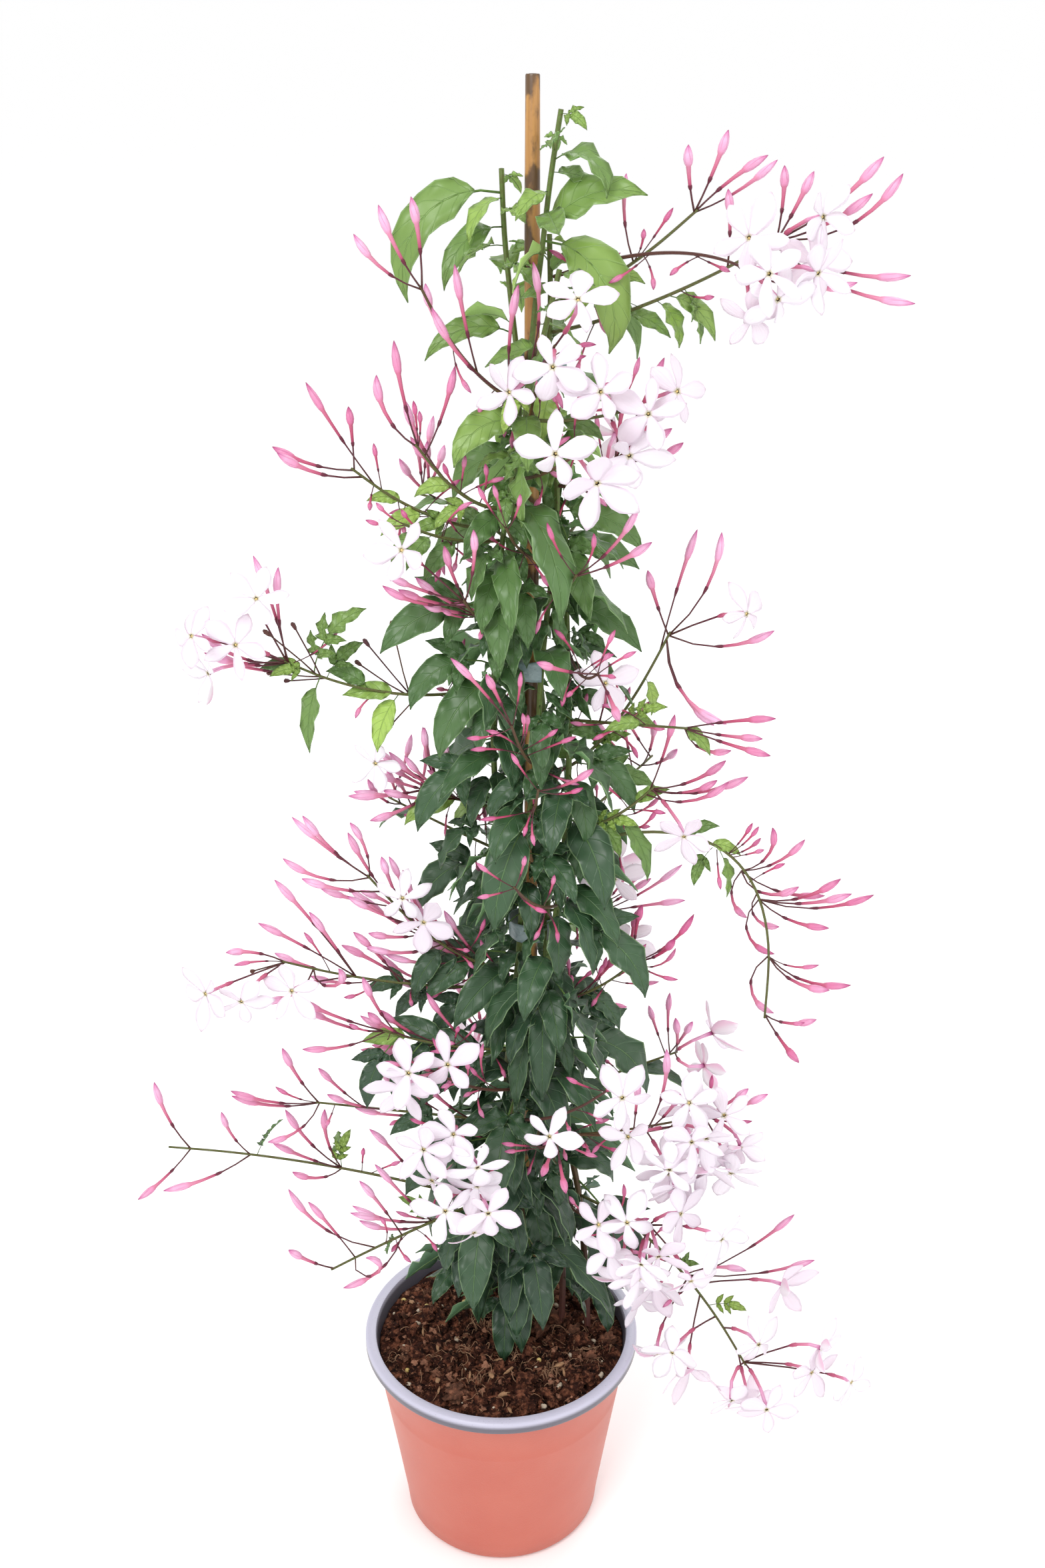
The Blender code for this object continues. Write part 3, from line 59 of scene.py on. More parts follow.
# place, aim, size and power in watts of each soft light
lightRows = {
    "key": ((-0.7, -1.5, 2.0), (0.0, 0.0, 0.35), 1.0, 24),
    "fill": ((1.5, -1.2, 1.2), (0.0, 0.0, 0.35), 1.4, 6),
    "back": ((0.6, 1.7, 1.9), (0.0, 0.0, 0.35), 1.4, 11),
}


def addCamera():
    tilt = math.radians(cameraValues["pitch"])
    bpy.ops.object.camera_add(location=cameraValues["place"], rotation=(tilt, 0, 0))
    camera = bpy.context.object
    camera.name = "camera"
    camera.data.lens = cameraValues["lens"]
    camera.data.sensor_fit = "VERTICAL"
    camera.data.sensor_height = cameraValues["filmHeight"]
    camera.data.clip_end = cameraValues["reach"]
    bpy.context.scene.camera = camera


def addLights():
    for name, (place, aim, size, power) in lightRows.items():
        bpy.ops.object.light_add(type="AREA", location=place)
        lamp = bpy.context.object
        lamp.name = name + "_light"
        lamp.rotation_euler = (Vector(aim) - Vector(place)).to_track_quat("-Z", "Y").to_euler()
        lamp.data.size = size
        lamp.data.energy = power


def addSky():
    world = bpy.data.worlds.new("studio")
    world.use_nodes = True
    world.node_tree.nodes["Background"].inputs["Color"].default_value = (1, 1, 1, 1)
    world.node_tree.nodes["Background"].inputs["Strength"].default_value = skyStrength
    bpy.context.scene.world = world
    bpy.context.scene.view_settings.view_transform = "Standard"


# Seamless white paper, quite matt.
def makeFloor():
    cuts = floorValues["cuts"]
    bpy.ops.mesh.primitive_grid_add(x_subdivisions=cuts, y_subdivisions=cuts, size=floorValues["size"])
    floor = bpy.context.object
    floor.name = "floor"
    paper = newMaterial("white_paper")[0]
    floor.data.materials.append(dressed(paper, floorValues, floorValues["colour"]))


# Materials

# settings of nodes that recur
times = {"operation": "MULTIPLY"}
timesPlus = {"operation": "MULTIPLY_ADD"}
plus = {"operation": "ADD"}
minus = {"operation": "SUBTRACT"}
unsigned = {"operation": "ABSOLUTE"}
sine = {"operation": "SINE"}
eased = {"interpolation_type": "SMOOTHSTEP"}
blend = {"data_type": "RGBA"}
ownTone = {"attribute_name": "tone"}


# An sRGB colour written in hex, as the linear colour that a shader takes.
def toLinear(colour):
    shares = [int(colour[place:place + 2], 16) / 255 for place in (1, 3, 5)]
    return [s / 12.92 if s <= 0.04045 else ((s + 0.055) / 1.055) ** 2.4 for s in shares] + [1.0]


# Inputs go by number or name, and each is a socket, a value or a hex colour.
def setInputs(tree, node, inputs):
    for key, value in (inputs.items() if isinstance(inputs, dict) else enumerate(inputs)):
        if isinstance(value, bpy.types.NodeSocket):
            tree.links.new(value, node.inputs[key])
        else:
            node.inputs[key].default_value = toLinear(value) if isinstance(value, str) else value


# Adds a node with its settings and links, and gives one of its outputs. The stops of a ramp are its places
# and colours.
def addNode(tree, kind, settings, inputs, output=0):
    node = tree.nodes.new("ShaderNode" + kind)
    for key, value in settings.items():
        if key == "stops":
            marks = node.color_ramp.elements
            while len(marks) < len(value):
                marks.new(0.5)
            for mark, (place, colour) in zip(marks, value):
                mark.position = place
                mark.color = toLinear(colour)
        else:
            setattr(node, key, value)
    setInputs(tree, node, inputs)
    return node.outputs[output]


def newMaterial(name):
    material = bpy.data.materials.new(name)
    material.use_nodes = True
    return material, material.node_tree


# Sets the shader by a finish, with a colour that is hex or a socket, and a relief as deep as it says.
def dressed(material, finish, colour, height=None):
    tree = material.node_tree
    inputs = {"Base Color": colour, "Roughness": finish["roughness"], "IOR": finish["ior"]}
    if height is not None:
        inputs["Normal"] = addNode(tree, "Bump", {}, {"Distance": finish["depth"], "Height": height})
    setInputs(tree, tree.nodes["Principled BSDF"], {**inputs, **finish.get("more", {})})
    return material


# Clouds fixed to the piece, from 0 to 1, with grains of a real size in metres.
def clouds(tree, grain, detail=3.0, place=None):
    place = place or addNode(tree, "TexCoord", {}, (), "Object")
    return addNode(tree, "TexNoise", {}, {"Vector": place, "Scale": 1 / grain, "Detail": detail}, "Fac")


# Thin lines wherever a value is a half past a whole number: 1 on the line, 0 from its half width on.
def stripes(tree, value, width):
    share = addNode(tree, "Math", {"operation": "FRACT"}, (value,))
    off = addNode(tree, "Math", unsigned, (addNode(tree, "Math", minus, (share, 0.5)),))
    return addNode(tree, "MapRange", eased, (off, 0, width, 1, 0))


# Lays colours over a colour, each as strongly as its mask times its share.
def overlaid(tree, colour, masks, rows):
    for mask, (share, upper) in zip(masks, rows):
        strength = addNode(tree, "Math", times, (mask, share))
        colour = addNode(tree, "Mix", blend, {0: strength, 6: colour, 7: upper}, 2)
    return colour


# Along a leaf or petal from 0 at its foot to 1 at its tip, and across from 0 at its midrib to 1 at its edge.
def bladePlace(tree):
    along = addNode(tree, "SeparateXYZ", {}, (addNode(tree, "UVMap", {"uv_map": "UVMap"}, ()),))
    side = addNode(tree, "MapRange", {}, (along.node.outputs[1], 0, 1, -1, 1))
    return along, addNode(tree, "Math", unsigned, (side,))


# Along a turned piece from 0 to 1, and round it from 0 to 1. The primitive keeps its wall in the map's
# upper half.
def tubePlace(tree):
    around = addNode(tree, "SeparateXYZ", {}, (addNode(tree, "UVMap", {"uv_map": "UVMap"}, ()),))
    return addNode(tree, "MapRange", {}, (around.node.outputs[1], 0.5, 1, 0, 1)), around


leafFinish = {
    "roughness": 0.39, "ior": 1.50, "mottle": 0.009, "mottleTone": 0.035, "mottleDepth": 0.10,
    "sideVeins": 8.0, "slant": 1.3, "veinWidth": 0.07, "depth": 0.00030, "waves": 4.3,
    "waveDepth": 0.0009, "veinShare": 0.5, "midrib": (0.01, 0.06), "edge": (0.91, 0.98),
    # how strongly the veins, the midrib and the edge show, and in what colour
    "pale": ((0.12, "#7FA877"), (0.25, "#86AC6A"), (0.36, "#A3C489")),
    "tones": ((0.0, "#263F2C"), (0.30, "#365535"), (0.58, "#51733B"), (0.80, "#749447"), (1.0, "#9DBD58")),
}


# Living leaf: a waxy cuticle with a soft shine, sunk veins, a groove down the midrib and a thin pale edge.
def makeLeafBlade():
    material, tree = newMaterial("jasmine_leaf")
    along, across = bladePlace(tree)
    mottle = clouds(tree, leafFinish["mottle"], 1.0)
    shade = leafFinish["mottleTone"]
    shaded = addNode(tree, "MapRange", {}, (mottle, 0, 1, -shade, shade))
    tone = addNode(tree, "Math", plus, (addNode(tree, "Attribute", ownTone, (), "Fac"), shaded))
    back = addNode(tree, "Math", times, (across, -leafFinish["slant"]))
    slanted = addNode(tree, "Math", timesPlus, (along, leafFinish["sideVeins"], back))
    veins = stripes(tree, slanted, leafFinish["veinWidth"])
    midrib = addNode(tree, "MapRange", eased, (across, *leafFinish["midrib"], 1, 0))
    edge = addNode(tree, "MapRange", eased, (across, *leafFinish["edge"]))
    green = addNode(tree, "ValToRGB", {"stops": leafFinish["tones"]}, (tone,))
    relief = addNode(tree, "Math", timesPlus, (veins, leafFinish["veinShare"], midrib))
    fine = addNode(tree, "Math", times, (mottle, leafFinish["mottleDepth"]))
    fine = addNode(tree, "Math", minus, (fine, relief))
    wave = addNode(tree, "Math", times, (along, leafFinish["waves"] * math.tau))
    swing = addNode(tree, "Math", times, (across, leafFinish["waveDepth"] / leafFinish["depth"]))
    height = addNode(tree, "Math", timesPlus, (addNode(tree, "Math", sine, (wave,)), swing, fine))
    green = overlaid(tree, green, (veins, midrib, edge), leafFinish["pale"])
    return dressed(material, leafFinish, green, height)


leafBackFinish = {
    "roughness": 0.62, "ior": 1.50, "midrib": (0.03, 0.10), "pale": (0.6, "#A8C48A"), "pores": 0.0015,
    "depth": 0.00030, "tones": ((0.0, "#4B6B52"), (0.6, "#6F9A5A"), (1.0, "#A2C56B")),
}


# The leaf's lower face: matt and greyer, with its veins raised.
def makeLeafBack():
    material, tree = newMaterial("jasmine_leaf_underside")
    across = bladePlace(tree)[1]
    midrib = addNode(tree, "MapRange", eased, (across, *leafBackFinish["midrib"], 1, 0))
    tone = addNode(tree, "Attribute", ownTone, (), "Fac")
    green = addNode(tree, "ValToRGB", {"stops": leafBackFinish["tones"]}, (tone,))
    height = addNode(tree, "Math", plus, (midrib, clouds(tree, leafBackFinish["pores"])))
    green = overlaid(tree, green, (midrib,), (leafBackFinish["pale"],))
    return dressed(material, leafBackFinish, green, height)


stemFinish = {
    "roughness": 0.55, "ior": 1.45, "ridges": 5.0, "depth": 0.00012, "fleck": 0.0011, "fleckTone": 0.175,
    "tones": ((0.0, "#4A1F2A"), (0.35, "#5E3B2B"), (0.6, "#5C5A30"), (0.8, "#5F7F3A"), (1.0, "#7FA352")),
}


# Young jasmine wood: smooth, faintly ridged along its length, maroon at the buds and green at the leaves.
def makeStem():
    material, tree = newMaterial("jasmine_stem")
    around = tubePlace(tree)[1]
    shade = stemFinish["fleckTone"]
    fleck = addNode(tree, "MapRange", {}, (clouds(tree, stemFinish["fleck"]), 0, 1, -shade, shade))
    tone = addNode(tree, "Math", plus, (addNode(tree, "Attribute", ownTone, (), "Fac"), fleck))
    ridge = addNode(tree, "Math", times, (around, stemFinish["ridges"] * math.tau))
    ridge = addNode(tree, "Math", sine, (ridge,))
    bark = addNode(tree, "ValToRGB", {"stops": stemFinish["tones"]}, (tone,))
    return dressed(material, stemFinish, bark, ridge)


budFinish = {
    "roughness": 0.42, "ior": 1.42, "streaks": 5.0, "swirl": 2.2, "streakWidth": 0.13,
    "streaked": (0.70, 0.82), "streak": (0.40, "#C75C93"), "grain": 0.0012, "depth": 0.00012,
    # along the bud: stalk, calyx, tube, shoulder of the head, tip
    "ripe": (
        (0.0, "#4F2E28"), (0.30, "#551E2C"), (0.385, "#661B34"), (0.40, "#A94868"), (0.52, "#C76C8A"),
        (0.69, "#D98CA9"), (0.73, "#E4A6C8"), (0.88, "#E9B8D6"), (0.96, "#DA8CBA"), (1.0, "#B84888"),
    ),
    "young": (
        (0.0, "#482A26"), (0.30, "#50182A"), (0.385, "#59142E"), (0.40, "#8C2247"), (0.52, "#A63458"),
        (0.69, "#B34468"), (0.73, "#C65A88"), (0.88, "#C86692"), (0.96, "#AC3A70"), (1.0, "#842350"),
    ),
}


# Flower bud: thin waxy skin, dark stalk and calyx, coral tube and a paler head with its petals' edges
# wound round it.
def makeBudSkin():
    material, tree = newMaterial("jasmine_bud")
    along, around = tubePlace(tree)
    tone = addNode(tree, "Attribute", ownTone, (), "Fac")
    young = addNode(tree, "ValToRGB", {"stops": budFinish["young"]}, (along,))
    ripe = addNode(tree, "ValToRGB", {"stops": budFinish["ripe"]}, (along,))
    skin = addNode(tree, "Mix", blend, {0: tone, 6: young, 7: ripe}, 2)
    swirl = addNode(tree, "Math", times, (along, budFinish["swirl"]))
    wound = addNode(tree, "Math", timesPlus, (around, budFinish["streaks"], swirl))
    head = addNode(tree, "MapRange", eased, (along, *budFinish["streaked"]))
    streak = addNode(tree, "Math", times, (stripes(tree, wound, budFinish["streakWidth"]), head))
    height = addNode(tree, "Math", minus, (clouds(tree, budFinish["grain"]), streak))
    return dressed(material, budFinish, overlaid(tree, skin, (streak,), (budFinish["streak"],)), height)


petalFinish = {
    "roughness": 0.55, "ior": 1.40, "veins": 19.0, "depth": 0.00003,
    "more": {"Subsurface Weight": 0.25, "Subsurface Radius": (0.004, 0.003, 0.003), "Subsurface Scale": 1.0},
    "face": ("#EDE7EF", "#E4D6E2"), "back": ("#E4B6CF", "#E9DDE7"), "blushed": (0.15, 0.75),
    # where the sides, the tip and the throat begin and end, and how strongly they show in what colour; the
    # lilac at the sides is painted shade
    "zones": ((0.45, 1.0), (0.86, 1.0), (0.0, 0.12)),
    "shades": ((0.22, "#D8BFD6"), (0.35, "#DDB0CB"), (1.0, "#DFD6B4")),
    "backFoot": (0.0, 0.30), "backShade": (1.0, "#DC92B2"),
}


# Petal: soft white tissue with fine lengthwise veins and a breath of lilac, painted lilac shade towards its
# sides, yellow-green down in the throat.
def makePetalFace():
    material, tree = newMaterial("jasmine_petal")
    along, across = bladePlace(tree)
    veins = addNode(tree, "Math", sine, (addNode(tree, "Math", times, (across, petalFinish["veins"])),))
    tone = addNode(tree, "Attribute", ownTone, (), "Fac")
    clean, lilac = petalFinish["face"]
    white = addNode(tree, "Mix", blend, {0: tone, 6: clean, 7: lilac}, 2)
    sides, tips, throat = petalFinish["zones"]
    # the first mask darkens the petal's sides to lilac as painted shade
    masks = (
        addNode(tree, "MapRange", eased, (across, *sides)),
        addNode(tree, "MapRange", eased, (along, *tips)),
        addNode(tree, "MapRange", eased, (along, *throat, 1, 0)),
    )
    return dressed(material, petalFinish, overlaid(tree, white, masks, petalFinish["shades"]), veins)


# The petal's outer face, which was the pink skin of the bud, strongest along the edge that lay outside.
def makePetalBack():
    material, tree = newMaterial("jasmine_petal_back")
    along = addNode(tree, "SeparateXYZ", {}, (addNode(tree, "UVMap", {"uv_map": "UVMap"}, ()),))
    side = addNode(tree, "MapRange", eased, (along.node.outputs[1], *petalFinish["blushed"]))
    pink, white = petalFinish["back"]
    blush = addNode(tree, "Mix", blend, {0: side, 6: pink, 7: white}, 2)
    foot = addNode(tree, "MapRange", eased, (along, *petalFinish["backFoot"], 1, 0))
    return dressed(material, petalFinish, overlaid(tree, blush, (foot,), (petalFinish["backShade"],)))


# Anything with two colours in clouds of one grain and a fine relief of another.
def makeMottled(name, finish):
    material, tree = newMaterial(name)
    first, second = finish["colours"]
    mottle = clouds(tree, finish["mottle"], finish.get("detail", 3.0))
    colour = addNode(tree, "Mix", blend, {0: mottle, 6: first, 7: second}, 2)
    return dressed(material, finish, colour, clouds(tree, finish["relief"]) if "relief" in finish else None)


# The mouth of the flower: pale yellow mottled with yellow-orange.
throatFinish = {"colours": ("#D9B66A", "#F2DFA0"), "mottle": 0.0006, "roughness": 0.6, "ior": 1.4}


# Sizes of the solids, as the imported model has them

potValues = {
    "height": 0.120, "rimRadius": 0.075, "rimWidth": 0.0045, "rimDepth": 0.006, "baseRadius": 0.053,
    "wall": 0.0014, "drainRadius": 0.004, "drainCircle": 0.036, "drains": 6, "gap": 0.0003, "sides": 128,
}
soilValues = {"top": 0.107, "relief": 0.0022}
caneValues = {
    "middle": Vector((0.016, 0.015, 0.0)), "radius": 0.0034, "foot": 0.012, "top": 0.765,
    "joints": (0.158, 0.300, 0.437, 0.566, 0.683),
}
tieValues = {
    "heights": (0.365, 0.505, 0.645), "width": 0.010, "thickness": 0.0008, "tail": 0.012, "tailBend": 0.004,
    "keepOut": 0.008, "hull": 0.0155, "hullMargin": 0.001, "tailHull": 0.75,
    "start": math.radians(-40), "turn": math.radians(336), "steps": 14,
}
vineValues = {"foot": 0.072, "lowRadius": 0.0019, "highRadius": 0.0011, "twist": 9.5, "step": 0.030}
leafValues = {"blade": 0.0007, "slender": 2, "spacing": 0.033, "tries": 16}
# how far a leaf may stray to find room: along its stem, in degrees of heading, rise and fall, and in length
sprayLeafStray = {"share": 0.2, "heading": 60, "rise": 30, "fall": 20, "length": 0.3}
vineLeafStray = {"height": 0.020, "heading": 50, "rise": 25, "fall": 20, "length": 0.3}
sprayValues = {
    "margin": 0.0005, "stemRadius": 0.0009, "flowerTube": 0.024, "flowerRadius": 0.0142, "shortBud": 0.030,
    "shootTries": 14, "stemTries": 24, "stemGap": 0.0004, "stemMargin": 0.0001, "backBuds": 5,
    "lowest": 0.012, "endMargin": 0.0015, "tipMargin": 0.006, "rootShift": 0.006, "bowShift": 0.002,
    "sag": 0.25, "shortReach": 0.09, "taper": 0.35, "stemSides": 8,
}
# name, angle round the cane at the soil in degrees, height of its tip, runs outside the ties
vineRows = (
    ("vine_left", 190, 0.728, False),
    ("vine_front", 310, 0.752, False),
    ("vine_back", 70, 0.700, False),
    ("vine_outer_left", 140, 0.640, True),
    ("vine_outer_right", 320, 0.690, True),
)
# distance from the cane's axis at each height, inside and outside the ties
tiedSpread = (
    (0.06, 0.024), (0.12, 0.019), (0.25, 0.013), (0.365, 0.008), (0.435, 0.012),
    (0.505, 0.008), (0.575, 0.012), (0.645, 0.008), (0.70, 0.012), (0.80, 0.018),
)
freeSpread = ((0.06, 0.038), (0.16, 0.030), (0.32, 0.021), (0.50, 0.018), (0.60, 0.022), (0.80, 0.030))

# One row for each spray: name, height of its root, sideways bow of its stem (x, y, z) and its tip
# (x, y, z). Then come its leaves, each as (place along the stem from 0 to 1, heading, angle above
# the horizon at its foot and at its tip, roll, length in mm, leaflets), its buds, each as (place
# along the stem, direction at its foot and at its tip, length in mm), and its open flowers, each as
# (place along the stem, direction, distance in mm from there to its throat). Angles are in degrees.
# Buds and flowers point in the upright plane that faces the viewer: 0 is right, 90 up, 180 left.
sprayRows = (
    ("spray_top_left", 0.633, (-0.004, 0.0, -0.002), (-0.031, -0.012, 0.684),
     (),
     ((1, 160, 115, 36), (1, 125, 108, 39), (1, 88, 104, 38), (0.6, 140, 95, 31), (0.42, 105, 97, 45),
      (0.18, 145, 112, 49), (0.12, 95, 76, 48), (0.08, 55, 103, 59)),
     ()),
    ("spray_left_upper", 0.576, (0.0, 0.0, -0.006), (-0.063, -0.010, 0.606),
     ((0.50, 200, 10, -50, -55, 24, 1),),
     ((1, 182, 146, 37), (0.92, 186, 138, 40), (1, 88, 98, 28), (0.85, 126, 121, 51),
      (0.8, 100, 100, 20)),
     ()),
    ("spray_left_rising", 0.586, (0.0, 0.0, -0.006), (-0.034, -0.020, 0.619),
     (),
     ((1, 152, 90, 35), (1, 112, 95, 45), (1, 92, 96, 22), (0.9, 60, 78, 39)),
     ()),
    ("spray_left_dark", 0.571, (0.0, 0.0, -0.003), (-0.040, -0.024, 0.585),
     ((0.70, 230, -10, -60, -40, 22, 1), (0.40, 200, -20, -70, -50, 26, 1)),
     ((1, 188, 156, 18), (1, 160, 126, 16)),
     ()),
    ("spray_left_pink", 0.523, (0.0, 0.0, -0.003), (-0.014, -0.030, 0.552),
     (),
     ((1, 168, 152, 36), (1, 194, 136, 39), (1, 70, 95, 32), (0.3, 172, 162, 28)),
     ((1, 134, 38),)),
    ("spray_left_branch", 0.495, (0.0, 0.0, -0.014), (-0.098, -0.004, 0.514),
     ((0.83, 180, -65, -95, -60, 40, 2), (0.86, 10, 85, 15, 40, 42, 5), (0.92, 175, 20, -25, -55, 20, 1),
      (0.45, 190, -50, -88, -55, 32, 1), (0.45, 185, 15, -15, -50, 27, 1), (0.42, 5, 30, 10, 45, 20, 1)),
     ((1, 100, 112, 49), (0.98, 108, 86, 45), (1, 192, 133, 42), (1, 196, 150, 39),
      (0.93, 200, 148, 42), (0.97, 16, 50, 27)),
     ((1, 148, 25), (1, 172, 34), (1, 128, 35), (0.97, 158, 42))),
    ("spray_left_pale", 0.427, (0.0, 0.0, -0.004), (-0.032, 0.024, 0.439),
     (),
     ((1, 192, 168, 42), (1, 204, 166, 41), (0.8, 178, 150, 35), (0.6, 152, 122, 44)),
     ((1, 150, 33),)),
    ("spray_left_fan", 0.341, (0.0, 0.0, -0.006), (-0.063, -0.012, 0.407),
     ((0.25, 200, 0, -60, -50, 34, 1), (0.35, 175, -20, -80, -55, 30, 1)),
     ((1, 150, 135, 47), (1, 136, 113, 49), (1, 82, 122, 35), (1, 200, 141, 44), (0.72, 138, 168, 29),
      (0.58, 168, 138, 46), (0.5, 200, 146, 38), (0.5, 210, 172, 40), (0.55, 135, 112, 22),
      (0.42, 132, 115, 25)),
     ()),
    ("spray_far_left", 0.332, (0.0, 0.0, -0.002), (-0.105, -0.022, 0.365),
     (),
     ((1, 150, 188, 30), (1, 165, 190, 25), (0.69, 116, 120, 45), (0.69, 126, 135, 60),
      (0.69, 137, 142, 57), (0.87, -108, -172, 37)),
     ((1, 215, 25), (1, 200, 39))),
    ("spray_left_low", 0.305, (0.0, 0.0, -0.002), (-0.057, -0.026, 0.328),
     ((0.88, 205, -35, -92, -50, 44, 3), (0.80, 180, 15, -25, -55, 26, 1), (0.62, 190, -20, -70, -50, 34, 1),
      (0.40, 200, -10, -60, -50, 36, 1)),
     ((1, 162, 146, 48), (1, 194, 148, 44), (1, 208, 168, 42), (1, 168, 138, 21), (0.95, -95, -178, 23)),
     ()),
    ("spray_left_lower", 0.260, (0.0, 0.0, 0.004), (-0.094, -0.012, 0.276),
     (),
     ((1, 125, 106, 37), (1, 182, 145, 45), (1, 192, 153, 45), (1, 178, 140, 24), (0.98, -108, -178, 36)),
     ()),
    ("shoot_long_left", 0.205, (0.0, 0.0, 0.020), (-0.174, -0.002, 0.241),
     (),
     ((0.93, 130, 98, 42), (0.93, 232, 212, 39), (0.74, 132, 98, 32), (0.74, 217, 188, 50),
      (0.45, 138, 112, 48), (0.45, 155, 138, 42), (0.45, 125, 82, 34), (0.45, 225, 140, 29)),
     ()),
    ("spray_lower_left", 0.204, (0.0, 0.0, 0.006), (-0.085, -0.056, 0.205),
     (),
     ((1, 154, 126, 28), (0.85, 124, 134, 37), (0.72, 184, 116, 56), (0.85, -122, 182, 36),
      (0.55, 110, 119, 48), (0.55, -103, -166, 48), (0.35, 176, 154, 45), (0.35, 200, 151, 43),
      (0.35, 134, 127, 46)),
     ()),
    ("spray_top_right", 0.664, (0.0, 0.0, 0.002), (0.117, -0.020, 0.704),
     ((0.55, 0, -10, -75, 45, 30, 1), (0.50, 0, -30, -95, 45, 24, 1), (0.35, 0, -5, -50, 45, 24, 1)),
     ((0.8, 84, 96, 31), (1, 80, 92, 29), (1, 56, 64, 30), (1, -6, 62, 58), (1, 12, 40, 44),
      (1, 24, 52, 53), (1, -34, 10, 58), (0.97, -40, 0, 65)),
     ((1, -24, 14), (1, 40, 19))),
    ("spray_top_right_upper", 0.673, (0.0, 0.0, -0.006), (0.084, -0.008, 0.714),
     ((0.35, 0, 40, -40, 45, 22, 1), (0.45, 200, -20, -60, -50, 28, 1)),
     ((1, 10, 34, 42), (1, 46, 30, 38), (1, 104, 90, 27), (0.6, 112, 80, 35), (1, 62, 74, 34)),
     ()),
    ("spray_top_right_low", 0.653, (0.0, 0.0, 0.006), (0.105, -0.036, 0.693),
     (),
     ((1, -28, 14, 48), (0.9, -62, 78, 25)),
     ((1, 40, 5), (1, -45, 11), (1, 20, 25))),
    ("spray_crown_front", 0.649, (0.0, 0.0, 0.0), (0.025, -0.036, 0.664),
     (),
     (),
     ((1, 66, 23), (0.8, 218, 22), (1, -100, 4))),
    ("spray_crown_right", 0.621, (0.0, 0.0, 0.0), (0.052, -0.034, 0.636),
     (),
     ((1, 60, 80, 26),),
     ((1, 119, 15), (1, 25, 27), (1, 5, 13))),
    ("spray_crown_low", 0.600, (0.0, 0.0, 0.0), (0.035, -0.042, 0.621),
     (),
     ((1, 100, 70, 26),),
     ((1, -37, 10), (1, 153, 10))),
    ("spray_right_buds", 0.592, (0.0, 0.0, -0.004), (0.053, -0.012, 0.611),
     (),
     ((1, 22, 38, 29), (1, 46, 58, 33), (1, 66, 68, 49), (1, 88, 82, 32), (1, -10, 42, 32),
      (0.8, 104, 94, 24)),
     ()),
    ("shoot_right_upper", 0.423, (-0.004, 0.0, -0.012), (0.080, 0.002, 0.526),
     ((0.18, 0, -5, -30, 50, 42, 5), (0.25, 180, 30, -10, -50, 20, 1), (0.80, 0, -60, -100, 45, 20, 1)),
     ((1, 112, 104, 31), (0.92, 78, 70, 59), (1, 46, 90, 58), (1, -27, 30, 51), (0.97, -94, -14, 51),
      (0.97, -88, -34, 52)),
     ((1, 24, 37),)),
    ("spray_right_mid", 0.477, (0.0, 0.0, 0.004), (0.086, -0.034, 0.493),
     ((0.95, 0, -20, -70, 45, 20, 1),),
     ((1, 8, -3, 43), (1, -14, -2, 36), (1, -76, 14, 29)),
     ()),
    ("buds_front_right", 0.485, (0.0, 0.0, 0.0), (0.045, -0.046, 0.524),
     (),
     ((1, 178, 150, 29), (1, -62, -72, 27), (1, 42, 25, 20), (1, 78, 60, 20)),
     ()),
    ("spray_right_low_mid", 0.423, (0.0, 0.0, -0.003), (0.074, -0.010, 0.453),
     ((0.55, 0, -40, -95, 45, 42, 2), (0.35, 0, -30, -80, 45, 24, 1)),
     ((1, -2, 46, 38), (1, -12, 42, 33), (0.95, -14, 30, 48), (0.95, 68, 80, 38), (0.9, -22, 55, 42)),
     ((1, -53, 25),)),
    ("raceme_right", 0.415, (0.060, 0.0, 0.062), (0.131, -0.024, 0.334),
     ((0.45, 0, -60, -100, 45, 26, 2), (0.40, 0, 10, -50, 45, 18, 1)),
     ((1, -62, -50, 35), (1, -35, 22, 20), (1, -44, 16, 29), (0.85, -40, 22, 26), (0.85, -52, 8, 47),
      (0.85, -62, 2, 38), (0.85, 222, 335, 45), (0.68, -8, 34, 45), (0.68, -26, 22, 60),
      (0.68, -48, 2, 38), (0.68, 232, 342, 45), (0.56, 238, 318, 35), (0.56, -48, -3, 48),
      (0.56, -72, 40, 38), (0.56, -5, 52, 36), (0.56, 14, 112, 32)),
     ()),
    ("spray_right_dark", 0.323, (0.0, 0.0, -0.003), (0.069, 0.0, 0.353),
     (),
     ((1, 94, 74, 31), (1, 8, 64, 38), (1, -52, 74, 26), (0.6, 110, 96, 26)),
     ()),
    ("spray_right_pale", 0.368, (0.0, 0.0, 0.0), (0.051, 0.028, 0.364),
     (),
     ((1, 14, 37, 50), (1, 2, -2, 47), (1, 30, 26, 31)),
     ((1, 107, 37), (1, 72, 26))),
    ("bunch_low_right", 0.243, (0.0, 0.0, 0.006), (0.085, -0.058, 0.294),
     (),
     ((0.8, 60, 94, 42), (0.8, 48, 72, 31), (0.7, 84, 90, 28)),
     ((1, 172, 22), (1, 39, 10), (1, -116, 7), (0.85, 150, 10), (1, 0, 16), (1, -30, 24), (1, -80, 26),
      (1, -85, 16))),
    ("bunch_low_right_far", 0.248, (0.0, 0.0, 0.006), (0.104, -0.030, 0.281),
     (),
     ((1, 74, 92, 26), (1, 4, 30, 35), (1, 30, 50, 28), (1, -22, 18, 25)),
     ((1, -62, 29), (1, 58, 15), (1, -45, 17))),
    ("bunch_low_right_under", 0.189, (0.0, 0.0, 0.006), (0.075, -0.066, 0.241),
     (),
     ((0.8, -80, -100, 30),),
     ((1, 132, 18), (1, 170, 22), (0.9, -163, 15), (1, -139, 7), (1, -66, 9), (0.9, -128, 20),
      (1, -85, 17), (1, -50, 32), (1, -25, 35), (1, -9, 15), (1, -50, 17))),
